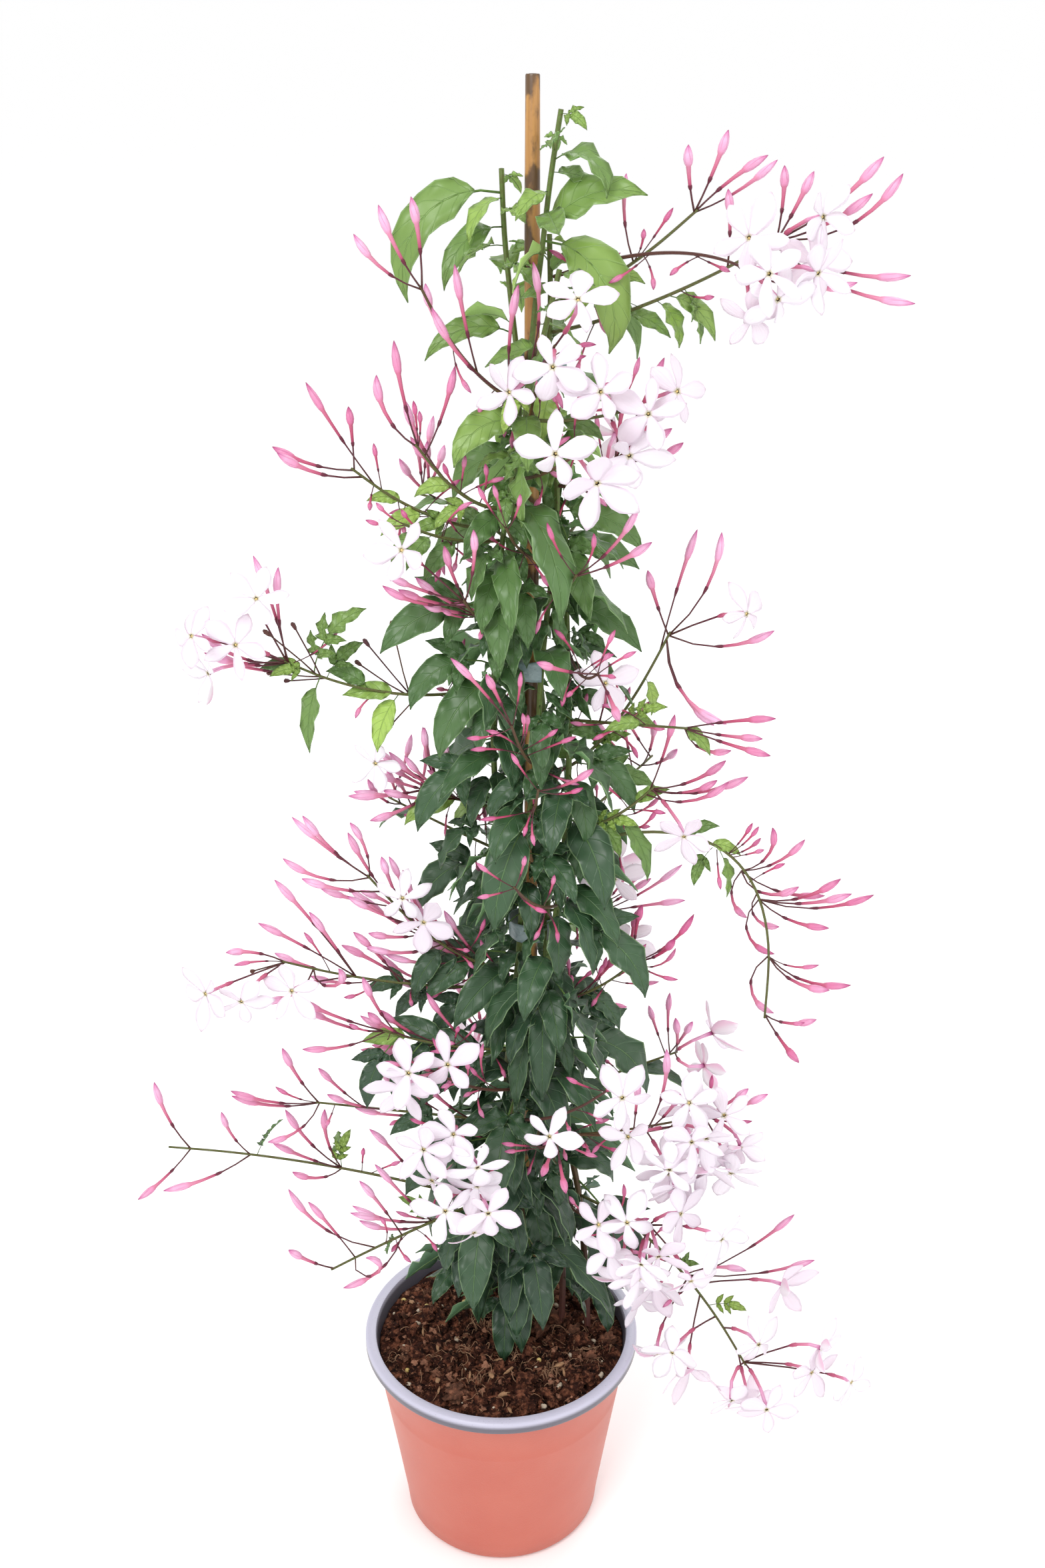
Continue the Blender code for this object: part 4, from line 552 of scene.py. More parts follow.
    ("shoot_low_right", 0.199, (0.004, 0.0, 0.014), (0.129, -0.050, 0.137),
     ((0.75, 0, 20, -40, 45, 22, 5),),
     ((0.6, -4, 28, 71), (0.6, 32, -22, 34), (0.62, 20, 42, 68)),
     ((0.45, -113, 27), (0.62, -111, 43), (0.7, -97, 42), (0.85, 17, 17), (0.65, 11, 47), (1, 4, 34),
      (1, -4, 55), (1, -125, 13), (1, 28, 42), (1, -45, 14))),
    ("bunch_low_left", 0.224, (0.0, 0.0, 0.002), (-0.020, -0.080, 0.310),
     (),
     ((1, 190, 160, 22),),
     ((1, 174, 14), (1, 85, 8), (1, -8, 10), (1, -126, 13))),
    ("bunch_low_front", 0.194, (0.0, 0.0, 0.002), (-0.016, -0.078, 0.271),
     (),
     (),
     ((1, 165, 9), (1, 23, 11), (1, 97, 12))),
    ("spray_front_left", 0.282, (0.0, 0.0, 0.004), (-0.030, -0.072, 0.335),
     (),
     ((0.7, 122, 118, 27), (1, 182, 172, 24), (1, 150, 130, 21)),
     ((1, 133, 16), (1, 60, 13))),
    ("spray_front_single", 0.263, (0.0, 0.0, 0.002), (0.052, -0.066, 0.320),
     (),
     ((1, 175, 150, 20),),
     ((1, 56, 12),)),
    ("buds_front_low", 0.229, (0.0, 0.0, 0.002), (0.028, -0.080, 0.304),
     (),
     ((1, -100, -106, 30), (1, -84, -78, 29), (1, -45, -10, 23), (0.7, 176, 164, 22),
      (0.7, 200, 182, 20)),
     ((1, 105, 14),)),
    ("buds_front_mid", 0.385, (0.0, 0.0, 0.002), (0.008, -0.064, 0.428),
     (),
     ((1, 150, 138, 22), (1, 195, 180, 17), (1, -60, -8, 18), (1, 66, 84, 18)),
     ()),
    ("buds_front_upper", 0.459, (0.0, 0.0, 0.002), (0.007, -0.048, 0.500),
     (),
     ((1, 216, 180, 22), (1, 126, 134, 41), (1, 112, 116, 27), (1, 76, 88, 24)),
     ()),
    ("buds_core", 0.435, (0.0, 0.0, 0.0), (0.019, -0.046, 0.468),
     (),
     ((1, 14, 46, 29), (1, -18, 34, 21), (1, 128, 118, 23)),
     ()),
    ("buds_upper_front", 0.565, (0.0, 0.0, 0.0), (0.005, -0.038, 0.587),
     (),
     ((1, 108, 104, 22), (1, 132, 114, 22), (1, 56, 86, 18)),
     ()),
    ("buds_upper_right", 0.543, (0.0, 0.0, 0.0), (0.035, -0.040, 0.567),
     (),
     ((1, 12, 36, 37), (1, 44, 96, 22), (1, 132, 106, 26), (1, 26, 66, 41)),
     ()),
)
# The side that the picture doesn't show: angle round the cane in degrees, height, reach, flowers
backSprayRows = (
    (20, 0.250, 0.085, 3), (65, 0.310, 0.100, 1), (110, 0.235, 0.085, 3), (155, 0.400, 0.080, 0),
    (45, 0.410, 0.090, 0), (100, 0.460, 0.085, 2), (140, 0.555, 0.070, 0), (60, 0.560, 0.075, 1),
)
# Large leaves placed one by one: height on the vine, heading in degrees, start and end
# angle of the blade above the horizon in degrees, roll in degrees, length, leaflets (2 stands for
# stands for one narrow leaflet)
placedLeafRows = (
    (0.718, 184, 15, -110, -62, 0.075, 2), (0.703, -6, 60, -20, 48, 0.050, 1),
    (0.700, -22, 0, -112, 45, 0.064, 1), (0.704, 215, 10, -85, -40, 0.044, 2),
    (0.676, 4, 20, -95, 40, 0.058, 2), (0.582, -58, 10, -95, 10, 0.088, 2),
    (0.658, 186, 30, -60, -55, 0.046, 2), (0.640, 20, 10, -70, 40, 0.042, 1),
    (0.625, 200, 25, -80, -50, 0.042, 1), (0.602, 165, 10, -80, -60, 0.044, 1),
    (0.585, 200, 10, -70, -50, 0.040, 1), (0.590, -25, 65, 25, 35, 0.038, 1),
    (0.580, -12, 15, -60, 42, 0.046, 1), (0.560, 2, 5, -45, 45, 0.040, 1),
    (0.553, 240, -10, -85, -30, 0.040, 1), (0.548, 0, -30, -85, 45, 0.038, 2),
    (0.537, 195, 20, -55, -55, 0.062, 3), (0.532, -20, 0, -55, 40, 0.044, 1),
    (0.525, 285, -45, -88, 10, 0.040, 2), (0.500, 215, -10, -85, -40, 0.050, 1),
    (0.500, 185, 15, -75, -50, 0.066, 3), (0.478, 250, -30, -90, -20, 0.048, 1),
    (0.470, 0, 10, -80, 45, 0.060, 3), (0.455, 200, 0, -80, -50, 0.056, 3),
    (0.430, 230, -35, -92, -35, 0.060, 1), (0.430, -60, 0, -90, 20, 0.056, 1),
    (0.400, 185, 5, -75, -50, 0.064, 3), (0.380, 245, -45, -92, -25, 0.046, 1),
    (0.375, -20, 15, -85, 35, 0.066, 3), (0.345, 215, 0, -60, -50, 0.050, 1),
    (0.345, 190, 15, -85, -50, 0.072, 3), (0.340, 270, -45, -94, 0, 0.060, 2),
    (0.300, 10, 15, -85, 45, 0.076, 3), (0.290, 200, 10, -72, -45, 0.072, 5),
    (0.280, -110, 15, -95, -10, 0.072, 3), (0.250, 190, 10, -70, -50, 0.066, 3),
    (0.215, -100, 5, -92, -5, 0.072, 3), (0.190, -75, 0, -85, 8, 0.062, 3),
)


# The value of a (place, value) table at one place, eased from row to row.
def between(table, at):
    if at <= table[0][0]:
        return table[0][1]
    for (low, first), (high, second) in zip(table, table[1:]):
        if at <= high:
            share = (at - low) / (high - low)
            return first + (second - first) * share * share * (3 - 2 * share)
    return table[-1][1]


# Layout of the stems


def headingVector(angle):
    return Vector((math.cos(angle), math.sin(angle), 0.0))


def vineRadius(height):
    share = min(1.0, max(0.0, (height - vineValues["foot"]) / (caneValues["top"] - vineValues["foot"])))
    return vineValues["lowRadius"] + (vineValues["highRadius"] - vineValues["lowRadius"]) * share


# Centre of a vine's stem at a height. All vines turn alike, so they never meet.
def vinePoint(vine, height):
    _, angle, _, free = vine
    turned = math.radians(angle) + vineValues["twist"] * (height - vineValues["foot"])
    spread = between(freeSpread if free else tiedSpread, height)
    return caneValues["middle"] + headingVector(turned) * spread + Vector((0, 0, height))


# Middle line of a tie: its free end, then almost a full turn round the tied stems.
def tiePath(height):
    start, steps = tieValues["start"], tieValues["steps"]
    radius = between(tiedSpread, height) + vineRadius(height) + 3 * potValues["gap"]
    radius += tieValues["thickness"] / 2
    middle = caneValues["middle"] + Vector((0, 0, height))
    turns = [start + tieValues["turn"] * step / steps for step in range(steps + 1)]
    ring = [middle + headingVector(turn) * radius for turn in turns]
    tail = ring[0] + headingVector(start) * tieValues["tail"]
    tail += headingVector(start - math.pi / 2) * tieValues["tailBend"]
    return [tail] + ring


# The nearest height at which something can leave this vine past the ties.
def clearOfTies(vine, height):
    if vine[3]:
        return height
    for tie in tieValues["heights"]:
        if abs(height - tie) < tieValues["keepOut"]:
            return tie + (tieValues["keepOut"] if height >= tie else -tieValues["keepOut"])
    return height


# The vine that stands furthest out in this direction at this height.
def outermostVine(height, toward):
    alive = [vine for vine in vineRows if vine[2] > height + sprayValues["tipMargin"]]
    return max(alive, key=lambda vine: (vinePoint(vine, height) - caneValues["middle"]).dot(toward))


# Shapes of leaves and flowers, flat


# Leaflets as (place of the foot, angle in degrees, length, half width), in leaf lengths.
def leafletsOf(count):
    if count == 1:
        return [(0.13, 0, 0.87, 0.155)]
    if count == leafValues["slender"]:
        return [(0.16, 0, 0.84, 0.115)]
    if count == 3:
        return [(0.27, 50, 0.38, 0.070), (0.27, -50, 0.38, 0.070), (0.36, 0, 0.64, 0.120)]
    return [
        (0.22, 54, 0.29, 0.060), (0.22, -54, 0.29, 0.060),
        (0.40, 48, 0.31, 0.064), (0.40, -48, 0.31, 0.064), (0.50, 0, 0.50, 0.105),
    ]


# One outline round a whole leaf, cut in to the rib between its leaflets.
def leafOutline(leaf):
    length, rib = leaf["length"], 0.0006
    side = [(0.0, rib)]
    for foot, angle, long, half in leafletsOf(leaf["leaflets"]):
        turn = math.radians(angle)
        along, across = Vector((math.cos(turn), math.sin(turn))), Vector((-math.sin(turn), math.cos(turn)))
        start = Vector((foot, 0.0))
        if angle > 0:
            side.append(((foot - 0.02) * length, rib))
            for reach, wide in ((0.38, half), (1.0, 0.0), (0.46, -half)):
                place = (start + along * long * reach + across * wide) * length
                side.append((place.x, place.y))
            side.append(((foot + 0.03) * length, rib))
        elif angle == 0:
            for reach, wide in ((0.02, 0.0), (0.28, 0.9), (0.52, 0.85), (0.80, 0.34)):
                side.append(((foot + long * reach) * length, max(rib, half * wide * length)))
    return side + [(length, 0.0)] + [(x, -y) for x, y in reversed(side)]


# Where a point of the flat leaf lies: its midrib bends along an arc, and it folds up from the rib.
def leafPlace(leaf, x, y, lift=0.0):
    start, bend = leaf["rise"], (leaf["fall"] - leaf["rise"]) / leaf["length"]
    angle = start + bend * x
    run = (math.sin(angle) - math.sin(start)) / bend
    climb = (math.cos(start) - math.cos(angle)) / bend
    out = headingVector(leaf["heading"])
    across = Vector((-out.y, out.x, 0.0))
    normal = out * -math.sin(angle) + Vector((0, 0, math.cos(angle)))
    roll = leaf["roll"] * min(1.0, x / (0.3 * leaf["length"]))
    side = across * math.cos(roll) + normal * math.sin(roll)
    top = normal * math.cos(roll) - across * math.sin(roll)
    middle = leaf["origin"] + out * run + Vector((0, 0, climb))
    return middle + side * y + top * (abs(y) * leaf["fold"] + lift)


# Five petals round the throat, each with a foot and two shoulders.
def starOutline(star):
    outline = []
    for petal in range(5):
        for turn, reach in ((-36, 0.28), (-18, 0.90), (16, 0.97)):
            angle = math.radians(72 * petal + turn)
            reach *= star["radius"]
            outline.append((math.cos(angle) * reach, math.sin(angle) * reach))
    return outline


# Where a point of the flat flower lies, with its petals curved by the square of the radius.
def starPlace(star, x, y, lift=0.0):
    along, across = star["axes"]
    curve = star["cup"] * (x * x + y * y) / star["radius"]
    return star["centre"] + along * x + across * y + star["facing"] * (curve + lift)


# Clearance: each piece is laid out only where it misses the pieces of all other nodes

placed = []


def axesAcross(direction):
    reference = Vector((0, 0, 1)) if abs(direction.z) < 0.9 else Vector((1, 0, 0))
    side = direction.cross(reference).normalized()
    return side, side.cross(direction).normalized()


def tubeHull(points, radii, margin=sprayValues["margin"], sides=4):
    corners, faces = [], []
    for index, point in enumerate(points):
        ahead, behind = points[min(index + 1, len(points) - 1)], points[max(index - 1, 0)]
        side, up = axesAcross((ahead - behind).normalized())
        reach = radii[index] + margin
        for turn in range(sides):
            angle = math.tau * turn / sides
            corners.append(point + (side * math.cos(angle) + up * math.sin(angle)) * reach)
            if index:
                low, high = sides * (index - 1), sides * index
                aheadTurn = (turn + 1) % sides
                faces.append((low + turn, low + aheadTurn, high + aheadTurn, high + turn))
    last = sides * (len(points) - 1)
    faces += [tuple(range(sides)), tuple(range(last, last + sides))]
    return corners, faces


def sheetHull(outline, place, margin=leafValues["blade"] / 2 + sprayValues["margin"]):
    flat = [Vector((x, y, 0.0)) for x, y in outline]
    triangles = tessellate_polygon([flat])
    count = len(outline)
    corners = [place(x, y, margin) for x, y in outline] + [place(x, y, -margin) for x, y in outline]
    faces = [tuple(t) for t in triangles] + [tuple(count + i for i in t) for t in triangles]
    for index in range(count):
        ahead = (index + 1) % count
        faces.append((index, ahead, count + ahead, count + index))
    return corners, faces


def leafHull(leaf):
    return sheetHull(leafOutline(leaf), lambda x, y, lift: leafPlace(leaf, x, y, lift))


def starHull(star):
    return sheetHull(starOutline(star), lambda x, y, lift: starPlace(star, x, y, lift))


def asObstacle(hull, owner):
    corners, faces = hull
    low = Vector(min(c[axis] for c in corners) for axis in range(3))
    high = Vector(max(c[axis] for c in corners) for axis in range(3))
    return {"tree": BVHTree.FromPolygons(corners, faces), "low": low, "high": high, "owner": owner}


def isClear(obstacle, ignore=()):
    low, high = obstacle["low"], obstacle["high"]
    for other in placed:
        if other["owner"] in ignore:
            continue
        a, b = other["low"], other["high"]
        if a.x > high.x or b.x < low.x or a.y > high.y or b.y < low.y or a.z > high.z or b.z < low.z:
            continue
        if obstacle["tree"].overlap(other["tree"]):
            return False
    return True


# Hulls of the pot's rim, of the mix's lid and of the cane: sides, radii, lower ends and margins
rimHull = {
    "sides": 16, "outer": 0.0785, "inner": 0.0690, "outerFoot": 0.02, "innerFoot": 0.09, "margin": 0.001,
    "lid": 0.0705, "lidMargin": 0.002, "cane": 1.4,
}


# The cane, the ties, the pot's rim and the soil, as closed hulls that nothing may cross.
def blockFixedParts():
    cane = [caneValues["middle"] + Vector((0, 0, caneValues[end])) for end in ("foot", "top")]
    placed.append(asObstacle(tubeHull(cane, [caneValues["radius"] * rimHull["cane"]] * 2), "cane"))
    for height in tieValues["heights"]:
        reach = tieValues["width"] / 2 + tieValues["hullMargin"]
        ends = [caneValues["middle"] + Vector((0, 0, end)) for end in (height - reach, height + reach)]
        placed.append(asObstacle(tubeHull(ends, [tieValues["hull"]] * 2), "tie"))
        tail, root = tiePath(height)[:2]
        broad = tieValues["width"] * tieValues["tailHull"]
        placed.append(asObstacle(tubeHull([tail, root], [broad] * 2), "tie"))
    sides, outer, inner = (rimHull[key] for key in ("sides", "outer", "inner"))
    ring = [headingVector(math.tau * step / sides) for step in range(sides)]
    lidHeight = soilValues["top"] + soilValues["relief"] + rimHull["lidMargin"]
    lid = [d * rimHull["lid"] + Vector((0, 0, lidHeight)) for d in ring]
    placed.append(asObstacle((lid, [tuple(range(sides))]), "soil"))
    top = potValues["height"] + rimHull["margin"]
    levels = ((outer, rimHull["outerFoot"]), (outer, top), (inner, top), (inner, rimHull["innerFoot"]))
    corners = [d * r + Vector((0, 0, z)) for r, z in levels for d in ring]
    faces = []
    for low in range(0, 3 * sides, sides):
        for step in range(sides):
            after = (step + 1) % sides
            faces.append((low + step, low + after, low + sides + after, low + sides + step))
    placed.append(asObstacle((corners, faces), "pot"))


# Growth


def vineStem(vine):
    heights = [vineValues["foot"]]
    for stop in tieValues["heights"] + (vine[2],):
        stop = min(stop, vine[2])
        start = heights[-1]
        count = math.ceil((stop - start) / vineValues["step"])
        heights += [start + (stop - start) * (step + 1) / count for step in range(count)]
    return [vinePoint(vine, h) for h in heights], [vineRadius(h) for h in heights]


def bowed(first, middle, last, share):
    return first * (1 - share) ** 2 + middle * (2 * share * (1 - share)) + last * share**2


# A point of a line of straight pieces, from its start at 0 to its end at 1.
def onLine(points, share):
    reach = min(0.9999, max(0.0, share)) * (len(points) - 1)
    index = int(reach)
    return points[index].lerp(points[index + 1], reach - index)


budShares = (0.0, 0.45, 0.80, 1.0)
budRadii = (0.0004, 0.0008, 0.0020, 0.0003)
shortBudShares = (0.0, 0.75, 1.0)
shortBudRadii = (0.0005, 0.0018, 0.0003)
flowerShares = (0.0, 0.5, 1.0)
flowerRadii = (0.0004, 0.0008, 0.0014)


# Across, up and near for someone who looks at the plant from this side of it.
def planeFacing(heading):
    return headingVector(heading + math.pi / 2), Vector((0, 0, 1)), headingVector(heading)


# A point of a shoot, from its foot at 0 to its tip at 1: an arc for a bud, a bow for a flower.
def shootPoint(shoot, share):
    across, up, near = shoot["plane"]
    if shoot["open"]:
        return bowed(shoot["foot"], shoot["middle"], shoot["throat"], share)
    start, turn, length = shoot["start"], shoot["turn"], shoot["length"]
    run = (math.sin(start + turn * share) - math.sin(start)) / turn
    climb = (math.cos(start) - math.cos(start + turn * share)) / turn
    return shoot["foot"] + (across * run + up * climb + near * shoot["lean"] * share) * length


def facingOf(shoot):
    return (shootPoint(shoot, 1.0) - shootPoint(shoot, 0.9)).normalized()


# Middle line and radii of a shoot. A flower's tube ends just above its cupped star.
def shootTube(shoot):
    if shoot["open"]:
        points = [shootPoint(shoot, share) for share in flowerShares]
        cup = 0.8 * max(0.0, shoot["cup"]) * sprayValues["flowerRadius"]
        points[-1] += facingOf(shoot) * (leafValues["blade"] / 2 + cup)
        return points, flowerRadii
    if shoot["length"] < sprayValues["shortBud"]:
        return [shootPoint(shoot, share) for share in shortBudShares], shortBudRadii
    return [shootPoint(shoot, share) for share in budShares], budRadii


def starOf(shoot, spin):
    facing = facingOf(shoot)
    return {
        "centre": shootPoint(shoot, 1.0),
        "facing": facing,
        "axes": tuple(v.copy() for v in spunAxes(facing, spin)),
        "radius": sprayValues["flowerRadius"] * shoot["size"],
        "cup": shoot["cup"],
    }


def spunAxes(direction, spin):
    side, up = axesAcross(direction)
    along = side * math.cos(spin) + up * math.sin(spin)
    return along, direction.cross(along)


# One bud of a row, turned a little from its place as the tries go on.
def budOf(foot, plane, bud, loose, draw):
    _, start, end, length = bud
    start += (2 + 22 * loose) * draw.uniform(-1, 1)
    end += (2 + 22 * loose) * draw.uniform(-1, 1)
    turn = math.radians(end - start)
    return {
        "foot": foot,
        "plane": plane,
        "start": math.radians(start),
        "turn": turn if abs(turn) > 0.02 else 0.02,
        "lean": (0.30 + 0.5 * loose) * draw.uniform(-1, 1),
        "length": 0.001 * length * draw.uniform(0.97 - 0.2 * loose, 1.03),
        "open": False,
    }


# One open flower of a row: its tube leaves sideways and turns to the near side.
def flowerOf(foot, plane, flower, loose, draw):
    _, angle, distance = flower
    across, up, near = plane
    angle = math.radians(angle + 40 * loose * draw.uniform(-1, 1))
    distance = 0.001 * distance + 0.006 * loose * draw.uniform(-0.5, 1)
    aside = (across * math.cos(angle) + up * math.sin(angle)) * distance
    out = math.sqrt(max(sprayValues["flowerTube"]**2 - distance**2, (0.5 * sprayValues["flowerTube"]) ** 2))
    out *= 0.95 + (0.15 + 0.35 * loose) * draw.uniform(-1, 1)
    tilt = (across * draw.uniform(-1, 1) + up * draw.uniform(-1, 1)) * 0.004
    reach = min(1.0, distance / sprayValues["flowerTube"])
    return {
        "foot": foot,
        "plane": plane,
        "middle": foot + aside * (0.62 + 0.24 * reach) + near * out * 0.2 + tilt,
        "throat": foot + aside + near * out,
        "size": draw.uniform(0.94, 1.08),
        "cup": draw.uniform(-0.08, 0.18),
        "open": True,
    }


# Turns one shoot a little until it misses every other node and its own neighbours, or gives up.
def tryShoot(owner, stem, plane, row, isOpen, draw):
    inside = sprayValues["endMargin"] / sum((b - a).length for a, b in zip(stem, stem[1:]))
    foot = onLine(stem, min(row[0], 1 - inside))
    for attempt in range(sprayValues["shootTries"]):
        shoot = (flowerOf if isOpen else budOf)(foot, plane, row, attempt / sprayValues["shootTries"], draw)
        points, radii = shootTube(shoot)
        tries = [asObstacle(tubeHull(points, radii), owner)]
        apart = [asObstacle(tubeHull(points[1:], radii[1:]), owner)]
        if isOpen:
            shoot["star"] = starOf(shoot, draw.uniform(0, math.tau))
            star = asObstacle(starHull(shoot["star"]), owner)
            tries.append(star)
            apart.append(star)
        if min(p.z for p in points) < sprayValues["lowest"]:
            continue
        if not isClear(tries[0], (owner, owner + " stem")):
            continue
        if not all(isClear(hull, (owner + " stem",)) for hull in apart):
            continue
        placed.extend(tries)
        return shoot
    return None


def stemHull(points, radii):
    return tubeHull(points, radii, sprayValues["stemMargin"], sprayValues["stemSides"])


# A way for a spray's stem from one of the vines to its tip that crosses nothing laid out before.
def findRoute(name, root, bow, tip, steps, draw):
    toward = ((tip - caneValues["middle"]) * Vector((1, 1, 0))).normalized()
    for attempt in range(sprayValues["stemTries"]):
        height = root + sprayValues["rootShift"] * attempt * draw.uniform(-1, 1)
        alive = [vine for vine in vineRows if vine[2] > height + sprayValues["tipMargin"]]
        alive.sort(key=lambda vine: -(vinePoint(vine, height) - caneValues["middle"]).dot(toward))
        vine = alive[(attempt // 3) % min(3, len(alive))]
        height = clearOfTies(vine, height)
        heart = vinePoint(vine, height)
        out = ((tip - heart) * Vector((1, 1, 0))).normalized()
        foot = heart + out * (vineRadius(height) + sprayValues["stemGap"])
        middle = foot.lerp(tip, 0.5) + bow + Vector((0, 0, sprayValues["sag"] * (foot.z - tip.z)))
        stray = Vector((draw.uniform(-1, 1), draw.uniform(-1, 1), draw.uniform(-1, 1)))
        middle += stray * sprayValues["bowShift"] * attempt
        stem = [bowed(foot, middle, tip, step / steps) for step in range(steps + 1)]
        hull = asObstacle(stemHull(stem, [sprayValues["stemRadius"]] * (steps + 1)), name + " stem")
        if isClear(hull):
            return stem, hull
    print("the stem of", name, "crosses another node")
    return stem, hull


# A spray's stem from the vine that stands nearest its tip.
def routeSpray(row):
    name, root, bow, tip = row[:4]
    tip = Vector(tip)
    reach = (tip - caneValues["middle"] - Vector((0, 0, tip.z))).length
    steps = 4 if reach < sprayValues["shortReach"] else 6
    stem, hull = findRoute(name, root, Vector(bow), tip, steps, random.Random(name))
    taper = sprayValues["taper"]
    stemRadii = [sprayValues["stemRadius"] * (1 - taper * step / steps) for step in range(steps + 1)]
    placed.append(hull)
    return {"name": name, "stem": (stem, stemRadii), "shoots": [], "leaves": []}


# The flowers, buds and leaves of a spray, along its stem.
def growSpray(row, spray):
    name, _, _, _, leafRows, buds, flowers, *side = row
    stem = spray["stem"][0]
    plane = planeFacing(side[0] if side else -math.pi / 2)
    for shoots, isOpen in ((flowers, True), (buds, False)):
        for number, shootRow in enumerate(shoots):
            draw = random.Random(name + (" flower " if isOpen else " bud ") + str(number))
            shoot = tryShoot(name, stem, plane, shootRow, isOpen, draw)
            spray["shoots"] += [shoot] if shoot else []
    for number, (share, heading, rise, fall, roll, length, leaflets) in enumerate(leafRows):
        draw = random.Random(f"{name} leaf {number}")
        grown = firstLeaf(
            (
                name,
                onLine(stem, share + sprayLeafStray["share"] * loose * draw.uniform(-1, 0)),
                heading + sprayLeafStray["heading"] * loose * draw.uniform(-1, 1),
                rise + sprayLeafStray["rise"] * loose * draw.uniform(-1, 1),
                fall + sprayLeafStray["fall"] * loose * draw.uniform(-1, 1),
                roll,
                0.001 * length * (1 - sprayLeafStray["length"] * loose),
                leaflets,
            )
            for loose in straying(leafValues["tries"])
        )
        spray["leaves"] += [leaf for _, leaf in grown]


# The sprays of the far side, as rows like those of the near side.
def backRows():
    rows = []
    for index, (angle, height, reach, flowers) in enumerate(backSprayRows):
        name = f"spray_back_{index + 1}"
        draw = random.Random(name + " rows")
        heading = math.radians(angle)
        tip = caneValues["middle"] + headingVector(heading) * reach + Vector((0, 0, height + 0.02))
        buds = []
        for number in range(sprayValues["backBuds"] - flowers // 2):
            side = 1 if number % 2 else -1
            start, end = 90 + side * draw.uniform(20, 75), 90 + side * draw.uniform(0, 40)
            buds.append((draw.uniform(0.75, 1), start, end, draw.uniform(28, 42)))
        turns = [draw.uniform(0, 120) + 120 * number for number in range(flowers)]
        blooms = [(1, turn, draw.uniform(10, 20)) for turn in turns]
        leaf = (0.6, angle + draw.uniform(-40, 40), 20, -60, 0, draw.uniform(26, 36), 1)
        rows.append((name, height, (0, 0, 0.004), tuple(tip), (leaf,), buds, blooms, heading))
    return rows


# A leaf of a vine or spray, with its angles in degrees, if it misses all other nodes.
def tryLeaf(owner, origin, heading, rise, fall, roll, length, leaflets):
    onVine = owner.startswith("vine")
    leaf = {
        "origin": origin,
        "heading": math.radians(heading),
        "rise": math.radians(rise),
        "fall": math.radians(fall),
        "roll": math.radians(roll),
        "length": length,
        "leaflets": leaflets,
        "fold": 0.22,
        "young": origin.z > 0.60 or not onVine,
    }
    hull = asObstacle(leafHull(leaf), owner)
    if not isClear(hull, (owner + " stem",) if onVine else (owner, owner + " stem")):
        return None
    placed.append(hull)
    return leaf


# The first of some leaves, each a row for tryLeaf, that finds room, with its owner.
def firstLeaf(rows):
    for row in rows:
        leaf = tryLeaf(*row)
        if leaf:
            return [(row[0], leaf)]
    return []


# Shares from 0 to just under 1, by which each new try at a leaf strays further.
def straying(tries):
    return [attempt / tries for attempt in range(tries)]


def growPlacedLeaves():
    found = []
    for index, (height, heading, rise, fall, roll, length, leaflets) in enumerate(placedLeafRows):
        draw = random.Random(f"placed leaf {index}")
        vine = outermostVine(height, headingVector(math.radians(heading)))
        shift = vineLeafStray["height"]
        grown = firstLeaf(
            (
                vine[0],
                vinePoint(vine, clearOfTies(vine, height + shift * loose * draw.uniform(-1, 1))),
                heading + vineLeafStray["heading"] * loose * draw.uniform(-1, 1),
                rise + vineLeafStray["rise"] * loose * draw.uniform(-1, 1),
                fall + vineLeafStray["fall"] * loose * draw.uniform(-1, 1),
                roll,
                length * (1 - vineLeafStray["length"] * loose),
                leaflets,
            )
            for loose in straying(leafValues["tries"])
        )
        if not grown:
            print("placed leaf", index, "found no room")
        found += grown
    return found


# Lengths in metres, angles in degrees, but for the turn beside the way out from the cane, in radians
columnLeaves = {
    "from": 0.130, "stagger": 0.007, "belowTip": 0.012, "bottom": 0.12, "depth": 0.60, "shift": 0.010,
    "turn": (0.1, 1.5), "rise": (-40, 45), "fall": (-100, -45), "roll": (-60, 60), "sizes": (0.80, 1.20),
    # length at the top and what is added at the pot, loss at each try, and share of its height over the mix
    "length": 0.037, "lowLength": 0.030, "loss": 0.025, "reach": 0.9,
    "lowFrom": 0.45, "lowKinds": (3, 3, 1, 2), "highKinds": (3, 1, 1, 2), "steps": (0.85, 1.15),
}


# How low on the plant a height is, from 1 near the pot to 0 at the top.
def lowness(height):
    return 1 - min(1.0, (height - columnLeaves["bottom"]) / columnLeaves["depth"])


